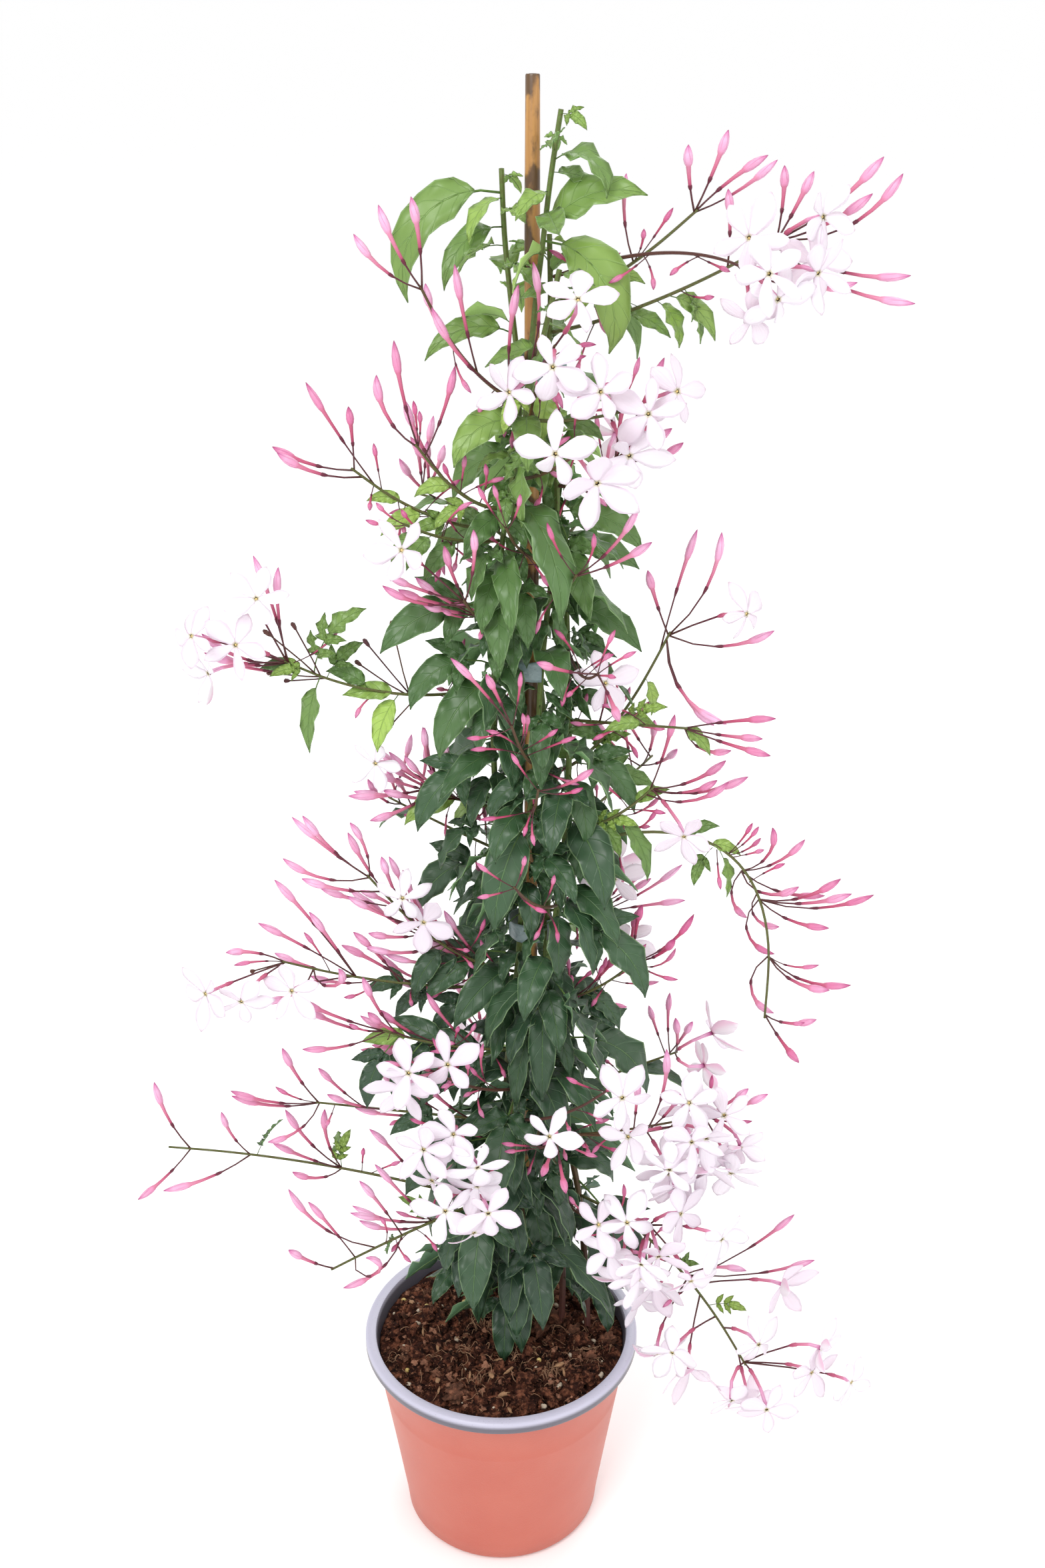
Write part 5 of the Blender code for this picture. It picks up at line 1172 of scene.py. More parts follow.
# Leaves up every vine, longer and cut into more leaflets near the pot.
def growLeaves():
    found = []
    for number, vine in enumerate(vineRows):
        draw = random.Random(vine[0])
        height, loss = columnLeaves["from"] + columnLeaves["stagger"] * number, columnLeaves["loss"]
        side = 1
        while height < vine[2] - columnLeaves["belowTip"]:
            outward = vinePoint(vine, height) - caneValues["middle"]
            away, low = math.atan2(outward.y, outward.x), lowness(height)
            kinds = columnLeaves["lowKinds" if low > columnLeaves["lowFrom"] else "highKinds"]
            longest = columnLeaves["length"] + columnLeaves["lowLength"] * low
            found += firstLeaf(
                (
                    vine[0],
                    vinePoint(vine, clearOfTies(vine, height + columnLeaves["shift"] * draw.uniform(-1, 1))),
                    math.degrees(away + side * draw.uniform(*columnLeaves["turn"])),
                    draw.uniform(*columnLeaves["rise"]),
                    draw.uniform(*columnLeaves["fall"]),
                    draw.uniform(*columnLeaves["roll"]),
                    min(
                        longest * draw.uniform(*columnLeaves["sizes"]) * (1 - loss * attempt),
                        columnLeaves["reach"] * (height - soilValues["top"]),
                    ),
                    draw.choice(kinds),
                )
                for attempt in range(leafValues["tries"])
            )
            side = -side
            height += leafValues["spacing"] * draw.uniform(*columnLeaves["steps"])
    return found


def growPlant():
    placed.clear()
    blockFixedParts()
    stems = {vine[0]: vineStem(vine) for vine in vineRows}
    for name, (points, radii) in stems.items():
        placed.append(asObstacle(stemHull(points, radii), name + " stem"))
    rows = sprayRows + tuple(backRows())
    sprays = [routeSpray(row) for row in rows]
    leaves = growPlacedLeaves()
    for row, spray in zip(rows, sprays):
        growSpray(row, spray)
    leaves += growLeaves()
    return stems, sprays, leaves


# Masters: each repeated shape is modelled once, lying along an axis, and its copies are bent into place


def alone(piece):
    bpy.ops.object.select_all(action="DESELECT")
    piece.select_set(True)
    bpy.context.view_layer.objects.active = piece


# In edit mode: selects the vertices that pass a test of their place.
def choose(test):
    bpy.ops.mesh.select_mode(type="VERT")
    bpy.ops.mesh.select_all(action="DESELECT")
    work = bmesh.from_edit_mesh(bpy.context.object.data)
    for vertex in work.verts:
        vertex.select = test(vertex.co)
    work.select_flush_mode()
    bmesh.update_edit_mesh(bpy.context.object.data)


def finishMaster(name, materials):
    bpy.ops.object.mode_set(mode="OBJECT")
    master = bpy.context.object
    master.name = name
    for material in materials:
        master.data.materials.append(material)
    bpy.ops.object.shade_smooth()
    return master


def applyModifier(piece, kind, settings):
    alone(piece)
    modifier = piece.modifiers.new(kind.lower(), kind)
    for key, value in settings.items():
        setattr(modifier, key, value)
    bpy.ops.object.modifier_apply(modifier=modifier.name)


# A round shape up the Z axis from 0 to 1, cut into rings and each ring drawn in or out to its radius.
def makeTurned(name, sides, rings, materials):
    bpy.ops.mesh.primitive_cylinder_add(vertices=sides, radius=1, depth=1, location=(0, 0, 0.5))
    bpy.ops.object.transform_apply(location=True)
    bpy.ops.object.mode_set(mode="EDIT")
    for height, _ in rings[1:-1]:
        bpy.ops.mesh.select_all(action="SELECT")
        bpy.ops.mesh.bisect(plane_co=(0, 0, height), plane_no=(0, 0, 1))
    for height, radius in rings:
        choose(lambda place: abs(place.z - height) < 1e-4)
        bpy.ops.transform.resize(value=(radius, radius, 1), center_override=(0, 0, height))
    return finishMaster(name, materials)


def makeStemMaster(name, sides, steps, material):
    return makeTurned(name, sides, [(step / steps, 1.0) for step in range(steps + 1)], [material])


# height and radius of each ring: stalk, calyx, tube, shoulder, head and tip. Radii in metres.
budRings = (
    (0.0, 0.00050), (0.17, 0.00042), (0.31, 0.00044), (0.34, 0.00085), (0.375, 0.00095), (0.385, 0.00074),
    (0.55, 0.00085), (0.68, 0.00110), (0.715, 0.00165), (0.78, 0.00205), (0.86, 0.00190), (0.93, 0.00125),
    (0.98, 0.00050), (1.0, 0.00012),
)
# a stalk with the small brown cup of a dropped flower
spentRings = (
    (0.0, 0.00045), (0.30, 0.00036), (0.86, 0.00040), (0.90, 0.00095), (0.97, 0.00120), (1.0, 0.00060),
)
# the tube of an open flower, up to its mouth
flowerRings = (
    (0.0, 0.00052), (0.17, 0.00044), (0.38, 0.00048), (0.42, 0.00105), (0.475, 0.00110), (0.50, 0.00080),
    (0.72, 0.00092), (0.93, 0.00110), (1.0, 0.00125),
)


# The flower's mouth is inset and sunk, with a small raised middle in it.
def makeTubeMaster(skin, throat):
    makeTurned("flower tube master", 7, flowerRings, [skin, throat])
    bpy.ops.object.mode_set(mode="EDIT")
    choose(lambda place: place.z > 0.999)
    bpy.ops.mesh.inset(thickness=0.00028, depth=0)
    bpy.ops.transform.translate(value=(0, 0, -0.06))
    bpy.context.object.active_material_index = 1
    bpy.ops.object.material_slot_assign()
    bpy.ops.mesh.inset(thickness=0.00035, depth=0)
    bpy.ops.transform.translate(value=(0, 0, 0.05))
    bpy.ops.object.material_slot_assign()
    bpy.ops.object.mode_set(mode="OBJECT")
    return bpy.context.object


# A blade along X from 0 to 1: a grid whose cross rows are widened, lifted and turned one by one.
def makeBlade(name, rows, across, thickness, materials):
    steps = len(rows) - 1
    middle = (0.5, 0, 0)
    bpy.ops.mesh.primitive_grid_add(x_subdivisions=steps, y_subdivisions=across, size=1, location=middle)
    bpy.ops.object.transform_apply(location=True)
    bpy.ops.object.mode_set(mode="EDIT")
    for index, (reach, wide, lift, turn) in enumerate(rows):
        before = index / steps
        choose(lambda place: abs(place.x - before) < 1e-4)
        bpy.ops.transform.resize(value=(1, wide, 1), center_override=(before, 0, 0))
        bpy.ops.transform.rotate(value=math.radians(turn), orient_axis="X", center_override=(before, 0, 0))
        bpy.ops.transform.translate(value=(10 + reach - before, 0, lift))  # clear of the rows still to come
    bpy.ops.mesh.select_all(action="SELECT")
    bpy.ops.transform.translate(value=(-10, 0, 0))
    blade = finishMaster(name, materials)
    applyModifier(blade, "SOLIDIFY", {
        "thickness": thickness, "offset": 0.0, "material_offset": 1, "material_offset_rim": 0,
    })
    return blade


# reach along the leaflet, full width, lift, turn. Width 1 is the leaflet's full width.
leafletRows = (
    (0.0, 0.05, 0, 0), (0.04, 0.42, 0, 0), (0.11, 0.76, 0, 0), (0.21, 0.96, 0, 0), (0.33, 1.0, 0, 0),
    (0.46, 0.95, 0, 0), (0.60, 0.81, 0, 0), (0.74, 0.59, 0, 0), (0.86, 0.32, 0, 0), (0.94, 0.12, 0, 0),
    (1.0, 0.02, 0, 0),
)
# reach from the flower's middle, full width, lift and turn, in flower radii
petalRows = (
    (0.05, 0.09, 0.0, 0), (0.14, 0.19, 0.012, 4), (0.26, 0.27, 0.018, 8), (0.43, 0.41, 0.016, 11),
    (0.60, 0.50, 0.006, 10), (0.76, 0.46, -0.006, 6), (0.90, 0.27, -0.020, 2), (1.0, 0.03, -0.045, 0),
)


# Five petals round the mouth, each turned from the last by the rotate operator.
def makeFlowerMaster(name, droop, materials):
    rows = [(reach, wide, lift - droop * reach ** 2, turn) for reach, wide, lift, turn in petalRows]
    flower = makeBlade(name, rows, 4, 0.022, materials)
    petals = [flower]
    for number in range(1, 5):
        bpy.ops.object.select_all(action="DESELECT")
        petal = flower.copy()
        petal.data = flower.data.copy()
        bpy.context.collection.objects.link(petal)
        alone(petal)
        bpy.ops.object.mode_set(mode="EDIT")
        bpy.ops.mesh.select_all(action="SELECT")
        bpy.ops.transform.rotate(value=math.radians(72 * number), orient_axis="Z", center_override=(0, 0, 0))
        bpy.ops.object.mode_set(mode="OBJECT")
        petals.append(petal)
    return joined(petals, name)


def joined(parts, name):
    bpy.ops.object.select_all(action="DESELECT")
    for part in parts:
        part.select_set(True)
    bpy.context.view_layer.objects.active = parts[0]
    if len(parts) > 1:
        bpy.ops.object.join()
    parts[0].name = name
    parts[0].data.name = name
    return parts[0]


# A copy of a master with its own mesh: each vertex is moved by a place function, and its tone is kept for
# its material.
def copyOf(master, place, tone):
    mesh = master.data.copy()
    corners = [place(*vertex.co) for vertex in master.data.vertices]
    mesh.vertices.foreach_set("co", np.array(corners, np.float32).ravel())
    marks = mesh.attributes.get("tone") or mesh.attributes.new("tone", "FLOAT", "POINT")
    tones = [tone(*corner) for corner in corners] if callable(tone) else [tone] * len(corners)
    marks.data.foreach_set("value", np.array(tones, np.float32))
    copy = bpy.data.objects.new(master.name, mesh)
    bpy.context.collection.objects.link(copy)
    return copy


# How a shape up the Z axis follows a line of points: a rounded line, and axes across it that don't spin.
def alongLine(points, radii, steps):
    line, sizes = [], []
    for step in range(steps + 1):
        reach = min(step / steps * (len(points) - 1), len(points) - 1.0001)
        index, share = int(reach), reach - int(reach)
        before, first, second = points[max(index - 1, 0)], points[index], points[index + 1]
        after = points[min(index + 2, len(points) - 1)]
        line.append(roundedPoint(before, first, second, after, share))
        sizes.append(radii[index] + (radii[index + 1] - radii[index]) * share)
    sides = []
    across = axesAcross((line[1] - line[0]).normalized())[0]
    for step in range(steps + 1):
        ahead = (line[min(step + 1, steps)] - line[max(step - 1, 0)]).normalized()
        across = (across - ahead * across.dot(ahead)).normalized()
        sides.append((across.copy(), ahead.cross(across)))

    def place(x, y, z):
        reach = min(max(z, 0.0), 1.0) * steps
        index = min(int(reach), steps - 1)
        share = reach - index
        side, up = sides[index + (share > 0.5)]
        size = sizes[index] + (sizes[index + 1] - sizes[index]) * share
        return line[index].lerp(line[index + 1], share) + (side * x + up * y) * size

    return place


# A point of a curve through four points, between the middle two.
def roundedPoint(before, first, second, after, share):
    start, end = (second - before) / 2, (after - first) / 2
    squared, cubed = share * share, share * share * share
    return (
        first * (2 * cubed - 3 * squared + 1) + start * (cubed - 2 * squared + share)
        + second * (3 * squared - 2 * cubed) + end * (cubed - squared)
    )


# Pot

potFinish = {
    "roughness": 0.42, "ior": 1.49, "outside": ("#B65A4A", "#C06A58"), "cloud": 0.030, "grain": 0.0008,
    "depth": 0.0004,
    "more": {
        "Subsurface Weight": 0.12, "Subsurface Radius": (0.004, 0.0015, 0.001), "Subsurface Scale": 1.0,
    },
}
rimFinish = {
    # down inside, where the grey is darkened as painted shade, and at the rim; its dust, and how rough it is
    # where clean and where dusty
    "grey": ("#5E5C66", "#BCBACB"), "shadeFade": (0.0040, 0.0008), "speck": (0.0007, 4.0),
    "specked": (0.66, 0.74), "dust": (0.55, "#4A3A34"), "rough": (0.3231, 0.7454),
    "grain": 0.004, "depth": 0.0002, "ior": 1.49,
}


# Thermoformed polypropylene: even salmon colour, satin, with the faint waviness of a thin drawn wall.
def makePotOutside():
    material, tree = newMaterial("polypropylene_salmon")
    cloud = clouds(tree, potFinish["cloud"])
    first, second = potFinish["outside"]
    height = addNode(tree, "Math", timesPlus, (clouds(tree, potFinish["grain"]), 0.3, cloud))
    salmon = addNode(tree, "Mix", blend, {0: cloud, 6: first, 7: second}, 2)
    return dressed(material, potFinish, salmon, height)


# The same plastic's grey layer: smooth rolled rim with dusty specks, darkened down the inside by painted
# shade.
def makePotGrey():
    material, tree = newMaterial("polypropylene_grey")
    place = addNode(tree, "SeparateXYZ", {}, (addNode(tree, "TexCoord", {}, (), "Object"),), 2)
    low, high = (potValues["height"] - below for below in rimFinish["shadeFade"])
    # painted shade: the grey turns dark from a few millimetres under the rim down the inside
    top = addNode(tree, "MapRange", eased, (place, low, high))
    speck = addNode(tree, "MapRange", eased, (clouds(tree, *rimFinish["speck"]), *rimFinish["specked"]))
    inside, rim = rimFinish["grey"]
    grey = addNode(tree, "Mix", blend, {0: top, 6: inside, 7: rim}, 2)
    grey = overlaid(tree, grey, (speck,), (rimFinish["dust"],))
    rough = addNode(tree, "MapRange", {}, (speck, 0, 1, *rimFinish["rough"]))
    return dressed(material, {**rimFinish, "roughness": rough}, grey, clouds(tree, rimFinish["grain"]))


# Outer radius of the pot's wall at a height, less an inset.
def wallRadius(height, inset=0.0):
    top = potValues["rimRadius"] - potValues["rimWidth"]
    return potValues["baseRadius"] + (top - potValues["baseRadius"]) * height / potValues["height"] - inset


# The wall is drawn up ring by ring from the foot, rolled out at the rim and taken down the inside.
def makePot(outside, grey):
    top, wall = potValues["height"], potValues["wall"]
    under, rim, inner = top - potValues["rimDepth"], potValues["rimRadius"], top - 0.0012
    rings = [
        (wallRadius(0.0, 0.0035), 0.0), (wallRadius(0.0, 0.0022), 0.0003),
        (wallRadius(0.002, 0.0008), 0.0014), (wallRadius(0.006), 0.0034), (wallRadius(0.012), 0.012),
        (wallRadius(0.050), 0.050), (wallRadius(0.086), 0.0845), (wallRadius(0.088), 0.0860),
        (wallRadius(0.092, 0.0007), 0.0885), (wallRadius(0.100, 0.0003), 0.0960),
        (wallRadius(under), under - 0.0030), (wallRadius(under) + 0.0010, under - 0.0011),
        (rim - 0.0016, under - 0.0011), (rim - 0.0005, under - 0.0007), (rim, under + 0.0003),
        (rim, top - 0.0016), (rim - 0.0004, top - 0.0006), (rim - 0.0014, top),
        (wallRadius(inner, wall) + 0.0016, top), (wallRadius(inner, wall) + 0.0004, top - 0.0005),
        (wallRadius(inner, wall), inner - 0.0006), (wallRadius(0.100, wall), 0.100),
        (wallRadius(0.060, wall), 0.060), (wallRadius(0.006, wall), 0.0062),
        (wallRadius(0.005, wall + 0.0010), 0.0030), (wallRadius(0.004, wall + 0.0030), 0.0023),
    ]
    bpy.ops.mesh.primitive_circle_add(vertices=potValues["sides"], radius=rings[0][0], fill_type="NGON")
    bpy.ops.object.mode_set(mode="EDIT")
    bpy.ops.mesh.inset(thickness=0.010, depth=0)
    bpy.ops.mesh.delete(type="FACE")
    choose(lambda place: place.xy.length > rings[0][0] - 1e-4)
    for (before, low), (radius, high) in zip(rings, rings[1:]):
        bpy.ops.mesh.extrude_region_move(TRANSFORM_OT_translate={"value": (0, 0, high - low)})
        bpy.ops.transform.resize(value=(radius / before, radius / before, 1), center_override=(0, 0, high))
    bpy.ops.mesh.edge_face_add()
    bpy.ops.mesh.select_all(action="DESELECT")
    choose(lambda place: place.z < 1e-5 and place.xy.length < rings[0][0] - 0.008)
    bpy.ops.mesh.edge_face_add()
    bpy.ops.mesh.select_all(action="SELECT")
    bpy.ops.mesh.normals_make_consistent(inside=False)
    bpy.ops.object.mode_set(mode="OBJECT")
    pot = bpy.context.object
    pot.name = "round_pot"
    cutters = []
    for index in range(potValues["drains"]):
        turn = math.tau * (index + 0.5) / potValues["drains"]
        place, radius = headingVector(turn) * potValues["drainCircle"], potValues["drainRadius"]
        bpy.ops.mesh.primitive_cylinder_add(vertices=24, radius=radius, depth=0.02, location=place)
        cutters.append(bpy.context.object)
    cutter = joined(cutters, "drain cutter")
    applyModifier(pot, "BOOLEAN", {"operation": "DIFFERENCE", "object": cutter, "solver": "EXACT"})
    bpy.data.objects.remove(cutter)
    pot.data.materials.append(outside)
    pot.data.materials.append(grey)
    for face in pot.data.polygons:
        far = face.center.xy.length > wallRadius(face.center.z, wall * 0.6) or face.center.z < 0.001
        face.material_index = 0 if far and face.center.z < under - 0.0009 else 1
    alone(pot)
    bpy.ops.object.shade_smooth_by_angle(angle=math.radians(40))
    return pot


# Potting mix

soilFinish = {
    "rings": 54, "sides": 168, "lift": 0.0068, "fibres": 400, "tufts": 24, "tufted": 0.72, "reach": 0.064,
    # number of each kind of lump in the mix, and how light a clod may be
    "crumbs": 980, "clods": 90, "prills": 10, "pebbles": 60, "chips": 46, "clodTone": 0.74,
}
# the two colours and the roughness of each kind of grain
grainRows = {
    "fibre": ("root_fibre", ("#6B4634", "#B08C6C"), 0.88),
    "chip": ("bark_chip", ("#86603F", "#AE8969"), 0.80),
    "prill": ("fertiliser_prill", ("#A88438", "#D9C685"), 0.45),
    "pebble": ("pumice", ("#9C8A74", "#D6C8B4"), 0.80),
}
# the lumps: their grain, how uneven, cuts of the sphere, least and most size, flatness, and how far sunk
lumpRows = (
    ("crumbs", "peat", 1.3, 2, (0.0012, 0.0042), (0.4, 1.2), 0.10),
    ("clods", "peat", 0.9, 3, (0.0045, 0.0120), (0.5, 1.0), 0.22),
    ("prills", "prill", 0.06, 2, (0.0026, 0.0034), (0.9, 1.0), 0.05),
    ("pebbles", "pebble", 0.45, 2, (0.0011, 0.0042), (0.6, 0.9), 0.05),
    ("chips", "chip", 0.55, 2, (0.0026, 0.0085), (0.15, 0.45), 0.12),
)
grainFinish = {"mottle": 0.0012, "detail": 4.0, "ior": 1.45, "relief": 0.0005, "depth": 0.0002}
peatFinish = {
    "roughness": 0.93, "ior": 1.35, "more": {"Specular IOR Level": 0.25}, "depth": 0.0016,
    "crumb": (0.0042, 6.0), "rust": (0.0016, 5.0), "grit": (0.0007, 4.0), "gritShare": 0.6,
    "rusted": (0.54, 0.70), "lit": (0.55, 0.98), "litMore": 0.25,
    "tones": ((0.30, "#0F0706"), (0.52, "#3E2118"), (0.72, "#8C5841")),
    # rusty fibre, and the lighter crumbs
    "shades": ((0.55, "#9E6B50"), (1.0, "#B8846A")),
}


# Peat: black-brown crumbs of a few millimetres with rusty fibre in them, quite matt.
def makePeat():
    material, tree = newMaterial("peat_mix")
    crumb, rust, grit = (clouds(tree, *peatFinish[kind]) for kind in ("crumb", "rust", "grit"))
    rusted = addNode(tree, "MapRange", eased, (rust, *peatFinish["rusted"]))
    tone = addNode(tree, "Attribute", ownTone, (), "Fac")
    lit = addNode(tree, "MapRange", eased, (tone, *peatFinish["lit"]))
    more = addNode(tree, "Math", plus, (crumb, peatFinish["litMore"]))
    lit = addNode(tree, "Math", times, (lit, more))
    brown = addNode(tree, "ValToRGB", {"stops": peatFinish["tones"]}, (crumb,))
    height = addNode(tree, "Math", timesPlus, (grit, peatFinish["gritShare"], crumb))
    return dressed(material, peatFinish, overlaid(tree, brown, (rusted, lit), peatFinish["shades"]), height)


# Crumbly relief of the solid's own surface, from a few crossed waves, dipping at the wall.
def soilHeight(x, y):
    waves = math.sin(210 * x + 1.3) * math.cos(185 * y) + 0.6 * math.sin(330 * y + 90 * x)
    waves += 0.5 * math.cos(410 * x - 160 * y)
    dip = 0.003 * (math.hypot(x, y) / 0.066) ** 4
    return soilValues["top"] + soilValues["relief"] * waves / 2.1 - dip


# Relief of the mix: the solid's own waves, with lumps a few millimetres wide on them.
def soilSurface(x, y):
    here = Vector((x, y, 0.0))
    lump = 1 - min(1.0, noise.voronoi(here * 170)[0][0] * 1.5)
    rough = noise.noise(here * 330) + 0.6 * noise.noise(here * 760)
    near = max(0.0, 1 - math.hypot(x, y) / 0.0675) ** 0.25
    broad = noise.noise(here * 62 + Vector((3.1, 0, 0)))
    return soilHeight(x, y) + soilFinish["lift"] + near * (0.0034 * lump + 0.0018 * rough + 0.0030 * broad)


def makeSoil(materials):
    thick = potValues["wall"]
    edge = wallRadius(0.1100, thick + potValues["gap"])
    bpy.ops.mesh.primitive_circle_add(vertices=soilFinish["sides"], radius=edge, location=(0, 0, 0))
    bpy.ops.object.mode_set(mode="EDIT")
    for ring in range(soilFinish["rings"], 1, -1):
        bpy.ops.mesh.extrude_region_move()
        bpy.ops.transform.resize(value=((ring - 1) / ring, (ring - 1) / ring, 1), center_override=(0, 0, 0))
    bpy.ops.mesh.merge(type="CENTER")
    choose(lambda place: place.xy.length > edge - 1e-4)
    wall = [
        (wallRadius(0.098, thick + potValues["gap"]), 0.098), (wallRadius(0.0063, thick + 0.0007), 0.0067),
        (wallRadius(0.004, thick + 0.0029), thick + 0.0011),
    ]
    before = edge
    for radius, _ in wall:
        bpy.ops.mesh.extrude_region_move(TRANSFORM_OT_translate={"value": (0, 0, -1)})
        drawn = radius / before
        bpy.ops.transform.resize(value=(drawn, drawn, 1), center_override=(0, 0, 0))
        before = radius
    bpy.ops.mesh.edge_face_add()
    bpy.ops.mesh.select_all(action="SELECT")
    bpy.ops.mesh.normals_make_consistent(inside=False)
    soil = finishMaster("soil bed", [materials["peat"]])
    for vertex in soil.data.vertices:
        place = vertex.co
        vertex.co.z = soilSurface(place.x, place.y) if place.z > -0.5 else wall[round(-place.z) - 1][1]
    return soil


# A rough lump about one unit across: an icosphere pushed in and out by noise.
def makeLump(name, material, unevenness, cuts):
    bpy.ops.mesh.primitive_ico_sphere_add(subdivisions=cuts, radius=0.5)
    lump = finishMaster(name, [material])
    for vertex in lump.data.vertices:
        fine = noise.noise(vertex.co * 11 + Vector((0, len(name), 0))) * (cuts - 2)
        vertex.co *= 1 + unevenness * (noise.noise(vertex.co * 4.2 + Vector((len(name), 0, 0))) + 0.5 * fine)
    return lump


def turnedPlace(centre, sizes, turn, tilt):
    ahead = headingVector(turn)
    beside = Vector((-ahead.y, ahead.x, 0))
    lean = Vector((0, 0, math.sin(tilt))) + ahead * math.cos(tilt)
    over = Vector((0, 0, math.cos(tilt))) - ahead * math.sin(tilt)
    return lambda x, y, z: centre + lean * (x * sizes[0]) + beside * (y * sizes[1]) + over * (z * sizes[2])


# Where something may lie on the mix: anywhere inside the wall.
def soilSpot(draw, reach):
    turn, out = draw.uniform(0, math.tau), reach * math.sqrt(draw.random())
    spot = headingVector(turn) * out
    return Vector((spot.x, spot.y, soilSurface(spot.x, spot.y)))


def makeSoilPiece(materials, strand):
    draw = random.Random("potting mix")
    parts = [makeSoil(materials)]
    for kind, grain, unevenness, cuts, (least, most), flat, sunk in lumpRows:
        master = makeLump(kind[:-1], materials[grain], unevenness, cuts)
        for _ in range(soilFinish[kind]):
            size = draw.uniform(least, most)
            spot = soilSpot(draw, 0.0655 - size / 2) + Vector((0, 0, size * (0.35 - sunk)))
            sizes = (size, size * draw.uniform(*flat), size * draw.uniform(*flat))
            tone = draw.random() * (soilFinish["clodTone"] if kind == "clods" else 1.0)
            place = turnedPlace(spot, sizes, draw.uniform(0, math.tau), draw.uniform(-0.6, 0.6))
            parts.append(copyOf(master, place, tone))
        bpy.data.objects.remove(master)
    tufts = [(soilSpot(draw, 0.060), draw.uniform(0, math.tau)) for _ in range(soilFinish["tufts"])]
    for _ in range(soilFinish["fibres"]):
        here, heading = soilSpot(draw, 0.058), draw.uniform(0, math.tau)
        if draw.random() < soilFinish["tufted"]:
            middle, lie = draw.choice(tufts)
            here = middle + Vector((draw.gauss(0, 0.0045), draw.gauss(0, 0.0045), 0))
            heading = lie + draw.gauss(0, 0.45)
        loop, line, stride = draw.gauss(0, 0.22), [], draw.choice((0.0010, 0.0014, 0.0018, 0.0028))
        rise = draw.uniform(0.0, 0.004)
        for step in range(7):
            high = rise * math.sin(math.pi * step / 6) + 0.0006
            line.append(Vector((here.x, here.y, soilSurface(here.x, here.y) + high)))
            heading += loop + draw.uniform(-0.25, 0.25)
            here = here + headingVector(heading) * draw.uniform(0.4, 1.0) * stride
            if here.xy.length > soilFinish["reach"]:
                here = here * (soilFinish["reach"] / here.xy.length)
        width = draw.uniform(0.00009, 0.00026)
        parts.append(copyOf(strand, alongLine(line, [width] * 6 + [width * 0.3], 8), draw.random()))
        parts[-1].data.materials.clear()
        parts[-1].data.materials.append(materials["fibre"])
    return joined(parts, "peat_mix_bed")


# Cane and ties

caneFinish = {
    "sides": 20, "roughness": 0.38, "ior": 1.5, "more": {"Coat Weight": 0.2, "Coat Roughness": 0.25},
    "depth": 0.00025,
    # grain size and detail of the streaks and of the patches, and how far both are drawn out along the cane
    "streak": (0.0016, 4.0), "patch": (0.011, 5.0), "drawn": (0.03, 0.55),
    "wood": ("#8A5A2B", "#C6944E"), "patched": (0.50, 0.60), "sooty": (0.82, "#2C1C12"),
    "scarred": (0.0006, 0.0028), "scar": (0.7, "#2C1C12"), "scarRise": 0.001,
}


# Bamboo: a hard glossy skin, ochre with long fine grain, sooty patches and a dark scar above each joint.
def makeBamboo():
    material, tree = newMaterial("bamboo_skin")
    place = addNode(tree, "TexCoord", {}, (), "Object")
    streak, patch = (
        clouds(tree, *grain, addNode(tree, "Mapping", {}, {"Vector": place, "Scale": (1, 1, share)}))
        for grain, share in zip((caneFinish["streak"], caneFinish["patch"]), caneFinish["drawn"])
    )
    patch = addNode(tree, "MapRange", eased, (patch, *caneFinish["patched"]))
    height = addNode(tree, "SeparateXYZ", {}, (place,), 2)
    scars = []
    for joint in caneValues["joints"]:
        above = addNode(tree, "Math", minus, (height, joint + caneFinish["scarRise"]))
        off = addNode(tree, "Math", unsigned, (above,))
        scars.append(addNode(tree, "MapRange", eased, (off, *caneFinish["scarred"], 1, 0)))
    dark, pale = caneFinish["wood"]
    wood = addNode(tree, "Mix", blend, {0: streak, 6: dark, 7: pale}, 2)
    shades = [caneFinish["sooty"]] + [caneFinish["scar"]] * len(scars)
    return dressed(material, caneFinish, overlaid(tree, wood, [patch] + scars, shades), streak)


def makeCane(bamboo):
    foot, top, radius = caneValues["foot"], caneValues["top"], caneValues["radius"]
    rings = [(foot, radius)]
    for joint in caneValues["joints"]:
        rings += [
            (joint - 0.0050, radius * 0.97), (joint - 0.0012, radius * 0.99), (joint, radius * 1.16),
            (joint + 0.0007, radius * 1.07), (joint + 0.0014, radius * 1.12), (joint + 0.0040, radius),
            (joint + 0.03, radius * 0.98),
        ]
    rings += [(top - 0.0006, radius * 0.90), (top, radius * 0.82)]
    tall = top - foot
    shares = [((height - foot) / tall, size) for height, size in rings]
    cane = makeTurned("bamboo_cane", caneFinish["sides"], shares, [bamboo])
    bpy.ops.object.mode_set(mode="EDIT")
    choose(lambda place: place.z > 0.9999)  # the cut end is hollow
    bpy.ops.mesh.inset(thickness=radius * 0.28, depth=0)
    bpy.ops.mesh.extrude_region_move(TRANSFORM_OT_translate={"value": (0, 0, -0.004 / tall)})
    bpy.ops.object.mode_set(mode="OBJECT")
    for vertex in cane.data.vertices:
        lean = noise.noise(Vector((0, 0, vertex.co.z * 6))) * 0.0002
        place = Vector((vertex.co.x + lean, vertex.co.y, foot + vertex.co.z * tall))
        vertex.co = caneValues["middle"] + place
    alone(cane)
    bpy.ops.object.shade_smooth_by_angle(angle=math.radians(50))
    return cane


# Tying film: soft PVC strip, grey-green, slightly cloudy and creased where it is pulled round.
tieFinish = {
    "colours": ("#6F8487", "#8FA1A2"), "mottle": 0.005, "roughness": 0.30, "ior": 1.53, "relief": 0.0018,
    "depth": 0.0006, "more": {"Coat Weight": 0.15},
}


